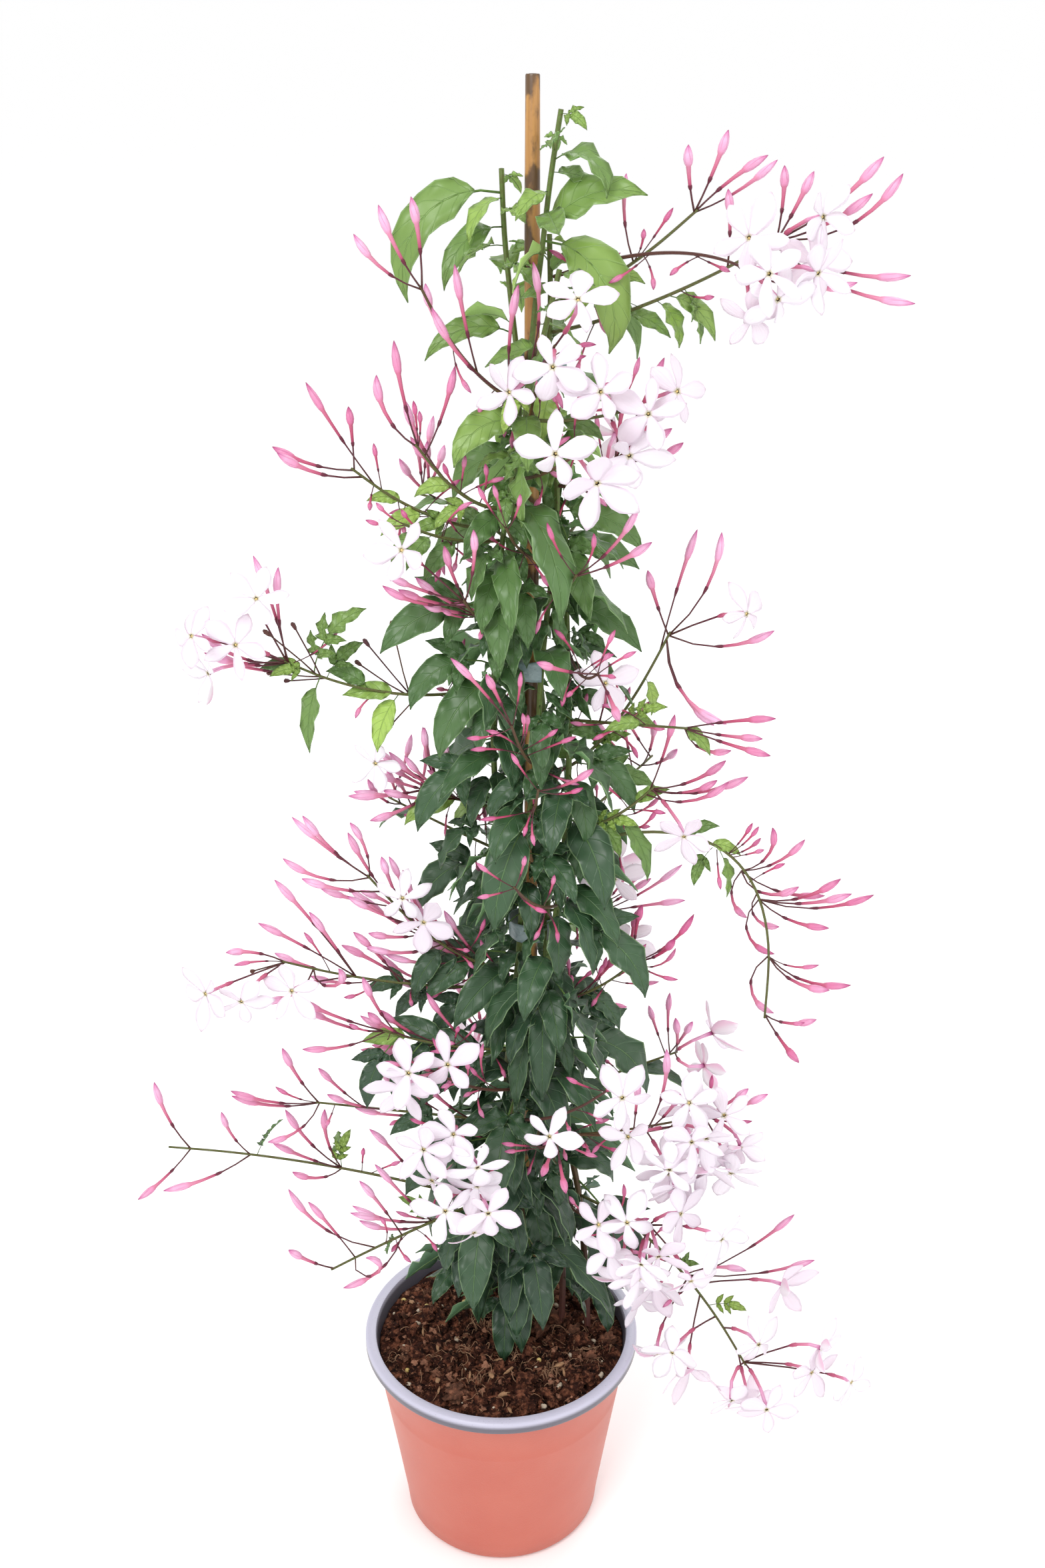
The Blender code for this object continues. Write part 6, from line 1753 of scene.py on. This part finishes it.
def makeTie(number, height, film):
    path, wide = tiePath(height), tieValues["width"]
    bpy.ops.mesh.primitive_grid_add(x_subdivisions=72, y_subdivisions=6, size=1)
    tie = finishMaster(f"soft_tie_{number}", [film])
    draw = random.Random(f"tie {number}")
    phase = draw.uniform(0, 9)
    follow = alongLine(path, [1.0] * len(path), 72)
    middle = caneValues["middle"]
    for vertex in tie.data.vertices:
        along, up = vertex.co.x + 0.5, vertex.co.y
        spot = follow(0, 0, along)
        out = (spot - middle) * Vector((1, 1, 0))
        crease = 0.00022 * math.sin(70 * up + 5 * along + phase)
        crease += 0.0003 * noise.noise(Vector((along * 30, up * 4, phase)))
        pulled = 1 - 0.10 * math.sin(math.pi * along) + 0.05 * math.sin(31 * along + phase)
        vertex.co = spot + out.normalized() * crease + Vector((0, 0, up * wide * pulled))
    applyModifier(tie, "SOLIDIFY", {"thickness": tieValues["thickness"] * 0.6, "offset": 0.0})
    return tie


# Leaves, buds and flowers in place

leafForm = {
    "ripple": (0.030, 0.065), "ripples": 2.4, "scallop": 0.05, "sideSag": 0.16, "sideFold": 0.30,
    "wide": {1: 1.12, 2: 1.04, 3: 1.06, 5: 1.0}, "ribRadius": 0.00065, "ribSink": 0.0003, "ribTone": 0.82,
    # height and tone: dark and bluish below, mid green above; partly the older leaves' own darker green,
    # partly painted shade of the dense foliage low down
    "tones": (
        (0.10, 0.05), (0.30, 0.12), (0.42, 0.26), (0.52, 0.42), (0.60, 0.62), (0.68, 0.74), (0.75, 0.80),
    ),
    "youngTone": (0.60, 0.98), "youngLength": 0.044, "lowYoungLength": 0.030, "youngFrom": 0.42,
    "toneSpread": 0.10,
}


# Where a leaflet's points go: out along its own rib, rippled at its edges, and bent with the whole leaf.
def leafletPlace(leaf, row, ripple, phase):
    foot, angle, long, half = row
    turn, length = math.radians(angle), leaf["length"]
    full = half * leafForm["wide"][leaf["leaflets"]]

    def place(x, y, z):
        scallop = 1 + leafForm["scallop"] * math.sin(math.tau * (2.6 * x + phase) + (0 if y > 0 else 2.4))
        run, wide = x * long * length, 2 * y * full * length * scallop
        crest = math.sin(math.tau * (leafForm["ripples"] * x + phase) + (1.9 if y > 0 else 0))
        wave = ripple * length * 4 * y * y * crest
        sag = leafForm["sideSag"] * long * length * x * x
        droop = sag - leafForm["sideFold"] * abs(wide) if angle else 0.0
        px = foot * length + math.cos(turn) * run - math.sin(turn) * wide
        py = math.sin(turn) * run + math.cos(turn) * wide
        return leafPlace(leaf, max(px, 0.0), py, z + wave - droop)

    return place


def leafCopies(leaf, masters, draw):
    length = leaf["length"]
    ripple = draw.uniform(*leafForm["ripple"])
    # darker the lower the leaf: partly its own older green, partly painted shade
    tone = between(leafForm["tones"], leaf["origin"].z)
    isHigh = leaf["origin"].z > leafForm["youngFrom"]
    if leaf["young"] and length < leafForm["youngLength" if isHigh else "lowYoungLength"]:
        tone = max(tone, draw.uniform(*leafForm["youngTone"]))
    tone += draw.uniform(-leafForm["toneSpread"], leafForm["toneSpread"])
    rows = leafletsOf(leaf["leaflets"])
    parts = []
    for row in rows:
        parts.append(copyOf(masters["leaflet"], leafletPlace(leaf, row, ripple, draw.random()), tone))
    reach = rows[-1][0] + rows[-1][2] * 0.86
    size = leafForm["ribRadius"] * min(1.0, length / 0.07)

    def rib(x, y, z):
        slim = size * (1 - 0.75 * z)
        return leafPlace(leaf, z * reach * length, x * slim, y * slim - leafForm["ribSink"] * z)

    parts.append(copyOf(masters["rib"], rib, leafForm["ribTone"]))
    for foot, angle, long, _ in rows[:-1]:
        turn = math.radians(angle)

        def stalk(x, y, z, foot=foot, turn=turn, long=long):
            slim, run = size * 0.6 * (1 - 0.6 * z), z * long * 0.8
            middle = (foot + math.cos(turn) * run, math.sin(turn) * run)
            sag = leafForm["sideSag"] * long * length * (0.8 * z) ** 2
            lift = y * slim - leafForm["ribSink"] * z - sag
            return leafPlace(leaf, middle[0] * length, middle[1] * length + x * slim, lift)

        parts.append(copyOf(masters["rib"], stalk, leafForm["ribTone"]))
    return parts


# Where a bud's or flower tube's points go: along its shoot, without a twist round it.
def shootPlace(shoot, calyx, width, spin):
    stalk = shoot["stalk"]
    reference = shoot["plane"][2]
    if shoot["open"]:
        reference = (shoot["middle"] - shoot["foot"]).cross(shoot["throat"] - shoot["foot"]).normalized()

    def place(x, y, z):
        share = z * stalk / calyx if z < calyx else stalk + (z - calyx) * (1 - stalk) / (1 - calyx)
        ahead = (shootPoint(shoot, share + 0.01) - shootPoint(shoot, share - 0.01)).normalized()
        side = (reference - ahead * reference.dot(ahead)).normalized()
        up = ahead.cross(side)
        across = side * math.cos(spin) + up * math.sin(spin)
        return shootPoint(shoot, share) + across * (x * width) + ahead.cross(across) * (y * width)

    return place


# size against the solid's flower, and how far the petals lift, twist, spread and swing from an even star
starForm = {
    "size": 1.08, "lift": 1.7, "twist": 2.6, "spread": 1.1, "swing": 0.9, "long": 0.4, "own": (-0.22, 0.24),
}


# Where a flower's points go: each of its five petals bends and twists by its own amount.
def petalPlace(star, own):
    size = star["radius"] * starForm["size"]

    def place(x, y, z):
        turn = math.atan2(y, x) / math.tau * 5
        petal = round(turn)
        far = math.hypot(x, y)
        lift, twist, swell = own[petal % 5], own[5 + petal % 5], own[(petal + 2) % 5]
        bend = starForm["lift"] * lift * far * far + starForm["twist"] * twist * far * (turn - petal)
        angle = (petal + (turn - petal) * (1 + starForm["spread"] * swell)) * math.tau / 5
        angle += starForm["swing"] * twist * far
        long = far * (1 + starForm["long"] * (swell + twist) * far)
        across, along = math.cos(angle) * long * size, math.sin(angle) * long * size
        return starPlace(star, across, along, (z + bend) * size)

    return place


budForm = {
    # length in metres of a bud with its tube, as a share of its shoot and at most
    "tube": (0.62, 0.030), "flowerTube": 0.021,
    "youngLength": 0.027, "youngTone": (0.0, 0.35), "toneSpread": 0.25,
    "youngWidth": 0.58, "ripeWidth": (0.84, 1.02), "flowerTone": (0.6, 1.0),
    # where the calyx begins along the bud, the flower's tube and the spent stalk, as modelled
    "calyx": 0.34, "flowerCalyx": 0.42, "spentCalyx": 0.86,
}
# How ripe the buds of a spray are, from crimson at 0 to pale pink at 1, where it isn't the usual value
usualRipeness = 0.85
sprayRipeness = {
    "spray_left_upper": 0.40, "spray_left_rising": 0.55, "spray_left_dark": 0.10, "spray_left_pink": 0.65,
    "spray_left_low": 0.50, "spray_left_lower": 0.60, "shoot_long_left": 0.65, "spray_right_buds": 0.45,
    "spray_right_mid": 0.30, "raceme_right": 0.40, "spray_right_dark": 0.12, "buds_front_right": 0.50,
    "buds_front_upper": 0.65, "buds_front_mid": 0.30, "buds_front_low": 0.20, "buds_core": 0.35,
    "spray_right_low_mid": 0.45, "spray_far_left": 0.75, "spray_left_pale": 1.0, "spray_left_fan": 0.95,
}


def shootCopies(shoot, masters, ripeness, draw):
    spin = draw.uniform(0, math.tau)
    if shoot["open"]:
        star = shoot["star"]
        reach = (shoot["throat"] - shoot["foot"]).length
        shoot["stalk"] = max(0.15, 1 - budForm["flowerTube"] * draw.uniform(0.9, 1.1) / reach)
        place = shootPlace(shoot, budForm["flowerCalyx"], 1.0, spin)
        parts = [copyOf(masters["tube"], place, draw.uniform(*budForm["flowerTone"]))]
        face = masters["flowers"][draw.randrange(len(masters["flowers"]))]
        own = [draw.uniform(*starForm["own"]) for _ in range(10)]
        parts.append(copyOf(face, petalPlace(star, own), draw.random()))
        return parts
    if shoot.get("spent"):
        shoot["stalk"] = budForm["spentCalyx"]
        place = shootPlace(shoot, budForm["spentCalyx"], 1.0, spin)
        return [copyOf(masters["spent"], place, draw.uniform(*budForm["youngTone"]))]
    young = shoot["length"] < budForm["youngLength"]
    share, most = budForm["tube"]
    tube = min(share * draw.uniform(0.92, 1.08), most * draw.uniform(0.88, 1.08) / shoot["length"])
    shoot["stalk"] = 1 - tube
    if young:
        tone = draw.uniform(*budForm["youngTone"])
    else:
        tone = ripeness + budForm["toneSpread"] * draw.uniform(-1, 1)
    width = budForm["youngWidth"] if young else draw.uniform(*budForm["ripeWidth"])
    return [copyOf(masters["bud"], shootPlace(shoot, budForm["calyx"], width, spin), tone)]


# Shoots too fine for the solids, in rows like those of the buds above: stalks whose flowers have dropped,
# and young buds.
spentRows = {
    "spray_left_branch": (
        (0.85, 120, 130, 34), (0.83, 108, 116, 31), (0.40, 128, 124, 35), (0.40, 108, 98, 36),
        (0.42, 155, 145, 29), (0.35, -135, -130, 21), (0.80, 190, 185, 20), (0.82, 180, 175, 27),
    ),
    "spray_far_left": ((1, 200, 200, 20),),
}
youngRows = {
    "spray_top_left": ((0.20, -75, -85, 23), (0.05, -95, -95, 24)),
    "spray_left_upper": ((0.85, -110, -95, 13),),
    "spray_left_rising": ((1, 80, 100, 15), (0.5, 85, 80, 17), (0.7, 130, 105, 38), (0.4, 150, 120, 36)),
    "spray_left_pink": ((0.5, 150, 130, 36), (0.7, 120, 100, 34), (0.85, 180, 150, 32)),
    "spray_left_dark": ((0.8, 150, 120, 14),),
    "spray_left_pale": (
        (0.8, 120, 95, 35), (0.7, 100, 90, 32), (0.6, 140, 112, 23), (0.9, 160, 130, 38),
        (0.4, 130, 100, 30), (0.9, 215, 190, 36), (0.5, 150, 115, 40), (0.7, 170, 140, 36),
        (0.3, 120, 95, 36), (0.95, 110, 85, 34), (0.6, 185, 160, 38),
    ),
    "spray_left_fan": (
        (0.5, 120, 110, 28), (0.4, 140, 120, 29), (0.4, 160, 130, 34), (0.3, 130, 150, 40),
        (0.7, 100, 120, 34), (0.8, 180, 160, 40), (0.3, 190, 150, 44), (0.2, 140, 120, 36),
        (0.6, 200, 165, 30), (0.25, 170, 140, 30), (0.45, 150, 100, 26), (0.35, 150, 128, 44),
        (0.55, 120, 105, 40), (0.65, 160, 140, 42), (0.75, 110, 100, 36), (0.9, 180, 150, 40),
        (0.5, 170, 135, 46), (0.85, 130, 110, 38),
    ),
    "spray_far_left": (
        (0.87, -100, 130, 30), (0.25, 195, 145, 45), (0.5, 120, 140, 36), (0.45, 150, 160, 40),
        (0.3, 150, 130, 36), (0.6, 200, 160, 34), (0.8, 110, 130, 24), (0.2, 200, 160, 38),
        (0.75, 170, 150, 34),
    ),
    "spray_left_low": (
        (0.4, 190, 140, 33), (0.6, 160, 130, 36), (0.5, 200, 170, 40), (0.8, 150, 120, 30),
        (0.3, 170, 150, 30), (0.35, 140, 115, 40), (0.7, 180, 150, 36), (0.6, 200, 175, 36),
        (0.9, 130, 105, 34),
    ),
    "spray_left_lower": (
        (0.9, -105, -115, 16), (0.3, 150, 120, 36), (0.5, 120, 110, 34), (0.6, 170, 140, 36),
        (0.75, 140, 120, 34), (0.4, 190, 160, 40), (0.2, 130, 110, 34),
    ),
    "shoot_long_left": ((0.2, 115, 128, 49),),
    "spray_lower_left": ((0.35, 210, 148, 39), (0.30, 190, 150, 24)),
    "spray_right_mid": ((1, -20, -10, 40),),
    "raceme_right": (
        (0.68, -20, 38, 44), (0.66, 235, 355, 33), (0.48, 40, 60, 19), (0.48, 35, 65, 22),
        (0.5, 10, 20, 16),
    ),
    "spray_right_dark": (
        (1, 14, 72, 27), (0.9, 85, 80, 27), (0.5, 60, 80, 20), (0.8, 40, 60, 22), (0.7, -20, 10, 26),
        (0.6, 20, 40, 24), (1, -40, 0, 24), (0.4, 60, 80, 24), (0.9, 120, 110, 20), (0.3, 30, 60, 30),
        (0.5, -60, -20, 24), (0.2, 80, 100, 22),
    ),
}
# Small crimson buds near the foot of every spray: how many, where along the stem, and how long in mm
smallBuds = {"count": (3, 7), "place": (0.05, 0.7), "length": (12, 26), "turn": 60}


def growExtraShoots(sprays):
    count = 0
    for spray in sprays:
        name, stem = spray["name"], spray["stem"][0]
        out = stem[-1] - caneValues["middle"]
        angle = math.atan2(out.y, out.x) if "back" in name else -math.pi / 2
        draw = random.Random(name + " small buds")
        for row in crowdFlowers.get(name, ()):
            flower = tryShoot(name, stem, planeFacing(angle), row, True, draw)
            if flower:
                spray["shoots"].append(flower)
                count += 1
        rows = [(row, True) for row in spentRows.get(name, ())]
        rows += [(row, False) for row in youngRows.get(name, ())]
        for _ in range(draw.randint(*smallBuds["count"])):
            start = draw.uniform(0, 360)
            end = start + smallBuds["turn"] * draw.uniform(-1, 1)
            place, length = draw.uniform(*smallBuds["place"]), draw.uniform(*smallBuds["length"])
            rows.append(((place, start, end, length), False))
        for row, spent in rows:
            shoot = tryShoot(name, stem, planeFacing(angle), row, False, draw)
            if shoot:
                shoot["spent"] = spent
                spray["shoots"].append(shoot)
                count += 1
    return count


# More leaves up every vine, where the first ones left gaps.
extraLeaves = {
    "passes": 9, "spacing": 0.015, "low": 0.135, "high": 0.615, "length": (0.028, 0.058), "tries": 8,
    "rise": (-60, 50), "fall": (-100, -30), "roll": (-70, 70), "swing": 115, "shift": 0.008,
    "stagger": 0.004,
    # hanging before the cane, headed within one of these many degrees of the viewer
    "veil": (50, 20), "veilSpacing": 0.0032, "veilHeights": (0.150, 0.640), "veilTries": 26,
    "before": 0.025,
    "veilRise": (-60, 20), "veilFall": (-100, -80), "veilRoll": (-25, 25), "veilShift": 0.006,
    # small leaves round the tip of every vine: how many, how far apart, and their length
    "tipCount": 7, "tipSpacing": 0.0075, "tipLength": (0.026, 0.040), "tipTries": 10, "tipTurn": 137,
    "tipRise": (-10, 70), "tipFall": (-80, 10), "tipRoll": (-50, 50), "belowTip": 0.002,
}
youngLeafStray = {"tries": 12, "share": 0.15, "heading": 80, "rise": 30, "length": 0.3}
# Small young leaves of the sprays: place along the stem, heading, rise, fall, roll, length in mm, leaflets
youngLeaves = {
    "shoot_long_left": (
        (0.72, 60, 50, -10, -50, 26, 5), (0.45, 100, 40, -20, -50, 28, 5), (0.47, 60, 70, 20, 40, 22, 5),
    ),
    "spray_lower_left": ((0.35, 160, 60, 0, -50, 24, 5), (0.60, 120, -40, -80, -50, 20, 5)),
    "spray_left_branch": (
        (0.80, 40, 60, 0, 45, 26, 3), (0.60, 160, 50, -20, -55, 24, 1), (0.88, 200, 30, -30, -55, 20, 3),
    ),
    "shoot_right_upper": (
        (0.30, 0, 50, 0, 45, 24, 5), (0.40, 180, 40, -10, -50, 20, 1), (0.55, 0, 20, -30, 45, 20, 1),
    ),
    "spray_right_low_mid": ((0.25, -20, 40, -20, 45, 26, 5), (0.75, 0, 50, 0, 45, 20, 1)),
    "spray_right_mid": ((0.45, -10, 50, 0, 45, 24, 5), (0.65, 180, 20, -40, -50, 20, 1)),
    "spray_top_right": ((0.42, 180, 30, -30, -50, 20, 3), (0.62, 20, -50, -90, 45, 26, 3)),
    "raceme_right": ((0.42, 200, -40, -90, -50, 22, 3), (0.30, 0, 40, -10, 45, 20, 1)),
    "spray_left_upper": ((0.30, 200, 20, -40, -55, 24, 3), (0.65, 170, 30, -30, -55, 18, 1)),
    "spray_left_dark": ((0.85, 200, -30, -70, -50, 20, 1),),
    "spray_left_rising": ((0.55, 160, 20, -50, -55, 22, 1), (0.30, 190, 0, -60, -50, 24, 3)),
    "spray_far_left": (
        (0.30, 190, -10, -70, -50, 36, 3), (0.15, 200, -20, -80, -50, 40, 3),
        (0.42, 170, 10, -40, -50, 30, 3),
    ),
    "spray_left_low": (
        (0.15, 190, -10, -60, -50, 42, 3), (0.30, 170, 20, -30, -50, 38, 1),
        (0.50, 215, -30, -80, -50, 36, 1), (0.72, 200, -40, -90, -50, 38, 3),
        (0.55, 160, 30, 0, -50, 34, 1),
    ),
    "spray_left_fan": (
        (0.15, 200, -20, -80, -50, 42, 3), (0.45, 190, -30, -80, -50, 34, 1),
        (0.25, 160, 30, -20, -50, 32, 1),
    ),
    "spray_left_lower": ((0.15, 200, -20, -80, -50, 42, 3), (0.30, 190, 20, -50, -50, 34, 3)),
    "spray_left_pale": ((0.2, 200, -20, -80, -50, 36, 1), (0.5, 190, 20, -60, -50, 34, 1)),
    "spray_right_dark": ((0.15, -10, 10, -70, 45, 34, 3), (0.40, 0, -20, -80, 45, 30, 1)),
    "spray_right_pale": ((0.2, 0, 10, -70, 45, 34, 3), (0.6, -10, -20, -80, 45, 30, 1)),
    "shoot_low_right": ((0.55, -20, 40, 0, 45, 14, 3), (0.58, 60, 50, 10, 45, 12, 3)),
    "spray_crown_right": ((0.30, -10, 10, -50, 45, 24, 1),),
}
# Open flowers that crowd the low bunches, as flowers are in the rows above
crowdFlowers = {
    "spray_right_pale": ((0.9, 60, 20), (0.7, 100, 22), (1, -30, 18), (0.6, -60, 16)),
    "spray_right_low_mid": ((0.30, 110, 22), (0.15, -70, 24)),
    "spray_right_mid": ((0.25, 100, 22), (0.30, -80, 26)),
    "spray_left_pale": ((0.9, 120, 20), (0.7, 100, 18), (1, 150, 24), (0.5, 80, 16)),
    "spray_left_fan": ((0.45, 120, 24), (0.7, 100, 20)),
    "spray_far_left": ((0.9, 190, 22), (0.7, 170, 24)),
    "bunch_low_right": (
        (0.9, 10, 20), (1, -150, 18), (0.8, -60, 20), (1, 70, 20), (0.9, -100, 12), (1, 100, 15),
        (1, -20, 14), (0.9, 140, 24),
    ),
    "bunch_low_right_far": ((1, -90, 14), (0.9, -120, 22), (1, 20, 8), (0.9, 100, 18), (1, -30, 20)),
    "bunch_low_right_under": (
        (0.9, 100, 20), (1, 60, 16), (0.8, -100, 24), (1, -110, 24), (0.8, 150, 14), (1, 20, 24),
        (0.9, -60, 24), (0.7, -90, 14),
    ),
    "shoot_low_right": ((0.5, -70, 30), (0.8, -120, 24), (0.9, 30, 28), (0.4, -100, 14), (0.95, -70, 26)),
    "bunch_low_left": ((1, 140, 20), (0.9, -60, 18)),
    "bunch_low_front": ((1, -90, 14), (0.9, 140, 20), (1, 60, 20)),
    "spray_front_left": ((1, 100, 14), (0.9, 170, 18)),
    "spray_crown_front": ((0.9, 120, 14), (0.9, -60, 16)),
    "spray_crown_right": ((0.9, -60, 16), (1, 60, 20)),
    "spray_top_right_low": ((1, 90, 14), (0.95, -90, 16)),
    "spray_left_branch": ((0.97, 140, 20), (1, 100, 26)),
}


def growExtraLeaves():
    found = []
    for number, vine in enumerate(vineRows * extraLeaves["passes"]):
        draw = random.Random(f"{vine[0]} filling {number}")
        height = extraLeaves["low"] + extraLeaves["stagger"] * number
        shift, swing, highest = extraLeaves["shift"], extraLeaves["swing"], vine[2] - extraLeaves["belowTip"]
        while height < min(vine[2], extraLeaves["high"]):
            outward = vinePoint(vine, height) - caneValues["middle"]
            low = lowness(height)
            found += firstLeaf(
                (
                    vine[0],
                    vinePoint(vine, min(highest, clearOfTies(vine, height + shift * draw.uniform(-1, 1)))),
                    math.degrees(math.atan2(outward.y, outward.x)) + draw.uniform(-swing, swing),
                    draw.uniform(*extraLeaves["rise"]),
                    draw.uniform(*extraLeaves["fall"]),
                    draw.uniform(*extraLeaves["roll"]),
                    min(
                        draw.uniform(*extraLeaves["length"]) * (0.62 + 0.38 * low) * (1 - 0.05 * attempt),
                        columnLeaves["reach"] * (height - soilValues["top"]),
                    ),
                    draw.choice((3, 1, 2)),
                )
                for attempt in range(extraLeaves["tries"])
            )
            height += extraLeaves["spacing"] * draw.uniform(0.8, 1.4)
    draw = random.Random("vine tips")
    for vine in vineRows:
        for step in range(extraLeaves["tipCount"]):
            found += firstLeaf(
                (
                    vine[0],
                    vinePoint(vine, vine[2] - extraLeaves["belowTip"] - extraLeaves["tipSpacing"] * step),
                    extraLeaves["tipTurn"] * step + draw.uniform(-50, 50),
                    draw.uniform(*extraLeaves["tipRise"]),
                    draw.uniform(*extraLeaves["tipFall"]),
                    draw.uniform(*extraLeaves["tipRoll"]),
                    draw.uniform(*extraLeaves["tipLength"]) * (0.55 + 0.09 * step),
                    draw.choice((1, 3)),
                )
                for _ in range(extraLeaves["tipTries"])
            )
    return found


def growVeil():
    draw, found = random.Random("veil"), []
    height, top = extraLeaves["veilHeights"]
    while height < top:
        spread = draw.choice(extraLeaves["veil"])
        for attempt in range(extraLeaves["veilTries"]):
            heading = -90 + spread * draw.uniform(-1, 1)
            vine = outermostVine(height, headingVector(math.radians(heading)))
            if attempt % 2:  # from any stem, across the cane
                vine = draw.choice([row for row in vineRows if row[2] > height + sprayValues["tipMargin"]])
                across = caneValues["middle"] - vinePoint(vine, height)
                heading = math.degrees(math.atan2(across.y - extraLeaves["before"], across.x))
                heading += draw.uniform(-12, 12)
            length = (0.062 - 0.035 * height) * draw.uniform(0.75, 1.1) * (1 - 0.02 * attempt)
            leaf = tryLeaf(
                vine[0],
                vinePoint(vine, clearOfTies(vine, height + extraLeaves["veilShift"] * draw.uniform(-1, 1))),
                heading,
                draw.uniform(*extraLeaves["veilRise"]),
                draw.uniform(*extraLeaves["veilFall"]),
                draw.uniform(*extraLeaves["veilRoll"]),
                length,
                draw.choice((3, 1, 1)),
            )
            if leaf:
                found.append((vine[0], leaf))
                break
        height += extraLeaves["veilSpacing"] * draw.uniform(0.8, 1.3)
    return found


def growYoungLeaves(sprays):
    for spray in sprays:
        name, stem = spray["name"], spray["stem"][0]
        draw = random.Random(name + " young leaves")
        for share, heading, rise, fall, roll, length, leaflets in youngLeaves.get(name, ()):
            grown = firstLeaf(
                (
                    name,
                    onLine(stem, share + youngLeafStray["share"] * loose * draw.uniform(-1, 1)),
                    heading + youngLeafStray["heading"] * loose * draw.uniform(-1, 1),
                    rise + youngLeafStray["rise"] * loose * draw.uniform(-1, 1),
                    fall,
                    roll,
                    0.001 * length * (1 - youngLeafStray["length"] * loose),
                    leaflets,
                )
                for loose in straying(youngLeafStray["tries"])
            )
            spray["leaves"] += [leaf for _, leaf in grown]


# tone of a spray's stem, and of a vine's at each height: maroon at 0, green at 1
sprayForm = {
    "stemTone": 0.35, "stemToneSpread": 0.15, "leafyTone": 0.62,
    "vineTones": ((0.12, 0.22), (0.20, 0.45), (0.34, 0.70)),
    "stemSteps": 28, "vineSteps": 96, "droops": (-0.42, -0.12, 0.05, 0.24),
}


def makeSprayPiece(spray, masters):
    draw = random.Random(spray["name"] + " looks")
    points, radii = spray["stem"]
    tone, spread = sprayForm["leafyTone"], sprayForm["stemToneSpread"]
    if not spray["leaves"]:
        tone = sprayForm["stemTone"] + draw.uniform(-spread, spread)
    parts = [copyOf(masters["stem"], alongLine(points, radii, sprayForm["stemSteps"]), tone)]
    for shoot in spray["shoots"]:
        parts += shootCopies(shoot, masters, sprayRipeness.get(spray["name"], usualRipeness), draw)
    for leaf in spray["leaves"]:
        parts += leafCopies(leaf, masters, draw)
    return joined(parts, spray["name"] + "_grown")


def makeVinePiece(name, stem, leaves, masters):
    draw = random.Random(name + " looks")
    points, radii = stem
    tones = sprayForm["vineTones"]
    place = alongLine(points, radii, sprayForm["vineSteps"])
    parts = [copyOf(masters["vine"], place, lambda x, y, z: between(tones, z))]
    for owner, leaf in leaves:
        if owner == name:
            parts += leafCopies(leaf, masters, draw)
    return joined(parts, name + "_grown")


def settle(piece, node):
    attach(piece, "root")
    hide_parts(node)


def main():
    addCamera()
    addLights()
    addSky()
    makeFloor()
    blade, back, stemSkin = makeLeafBlade(), makeLeafBack(), makeStem()
    bud, face, petalBack = makeBudSkin(), makePetalFace(), makePetalBack()
    throat = makeMottled("jasmine_throat", throatFinish)
    masters = {
        "leaflet": makeBlade("leaflet master", leafletRows, 4, 0.00045, [blade, back]),
        "rib": makeStemMaster("rib master", 5, 7, stemSkin),
        "stem": makeStemMaster("stem master", 6, sprayForm["stemSteps"], stemSkin),
        "vine": makeStemMaster("vine master", 8, sprayForm["vineSteps"], stemSkin),
        "strand": makeStemMaster("strand master", 4, 8, stemSkin),
        "bud": makeTurned("bud master", 7, budRings, [bud]),
        "spent": makeTurned("spent stalk master", 5, spentRings, [stemSkin]),
        "tube": makeTubeMaster(bud, throat),
    }
    masters["flowers"] = [
        makeFlowerMaster(f"flower master {droop}", droop, [face, petalBack]) for droop in sprayForm["droops"]
    ]
    print("masters made")
    settle(makePot(makePotOutside(), makePotGrey()), "pot")
    grains = {"peat": makePeat()}
    for kind, (name, colours, roughness) in grainRows.items():
        grains[kind] = makeMottled(name, {**grainFinish, "colours": colours, "roughness": roughness})
    settle(makeSoilPiece(grains, masters["strand"]), "soil")
    settle(makeCane(makeBamboo()), "cane")
    film = makeMottled("soft_pvc_tie", tieFinish)
    for number, height in enumerate(tieValues["heights"], 1):
        settle(makeTie(number, height, film), f"tie_{number}")
    print("pot, mix, cane and ties made")
    stems, sprays, leaves = growPlant()
    growYoungLeaves(sprays)
    leaves += growVeil()
    small = growExtraShoots(sprays)
    leaves += growExtraLeaves()
    shoots = sum(len(spray["shoots"]) for spray in sprays)
    print("laid out:", shoots, "shoots,", small, "of them only here, and", len(leaves), "leaves")
    for name, stem in stems.items():
        settle(makeVinePiece(name, stem, leaves, masters), name)
    for spray in sprays:
        settle(makeSprayPiece(spray, masters), spray["name"])
    for master in [m for m in masters.values() if not isinstance(m, list)] + masters["flowers"]:
        bpy.data.objects.remove(master)
    print("plant made")


main()
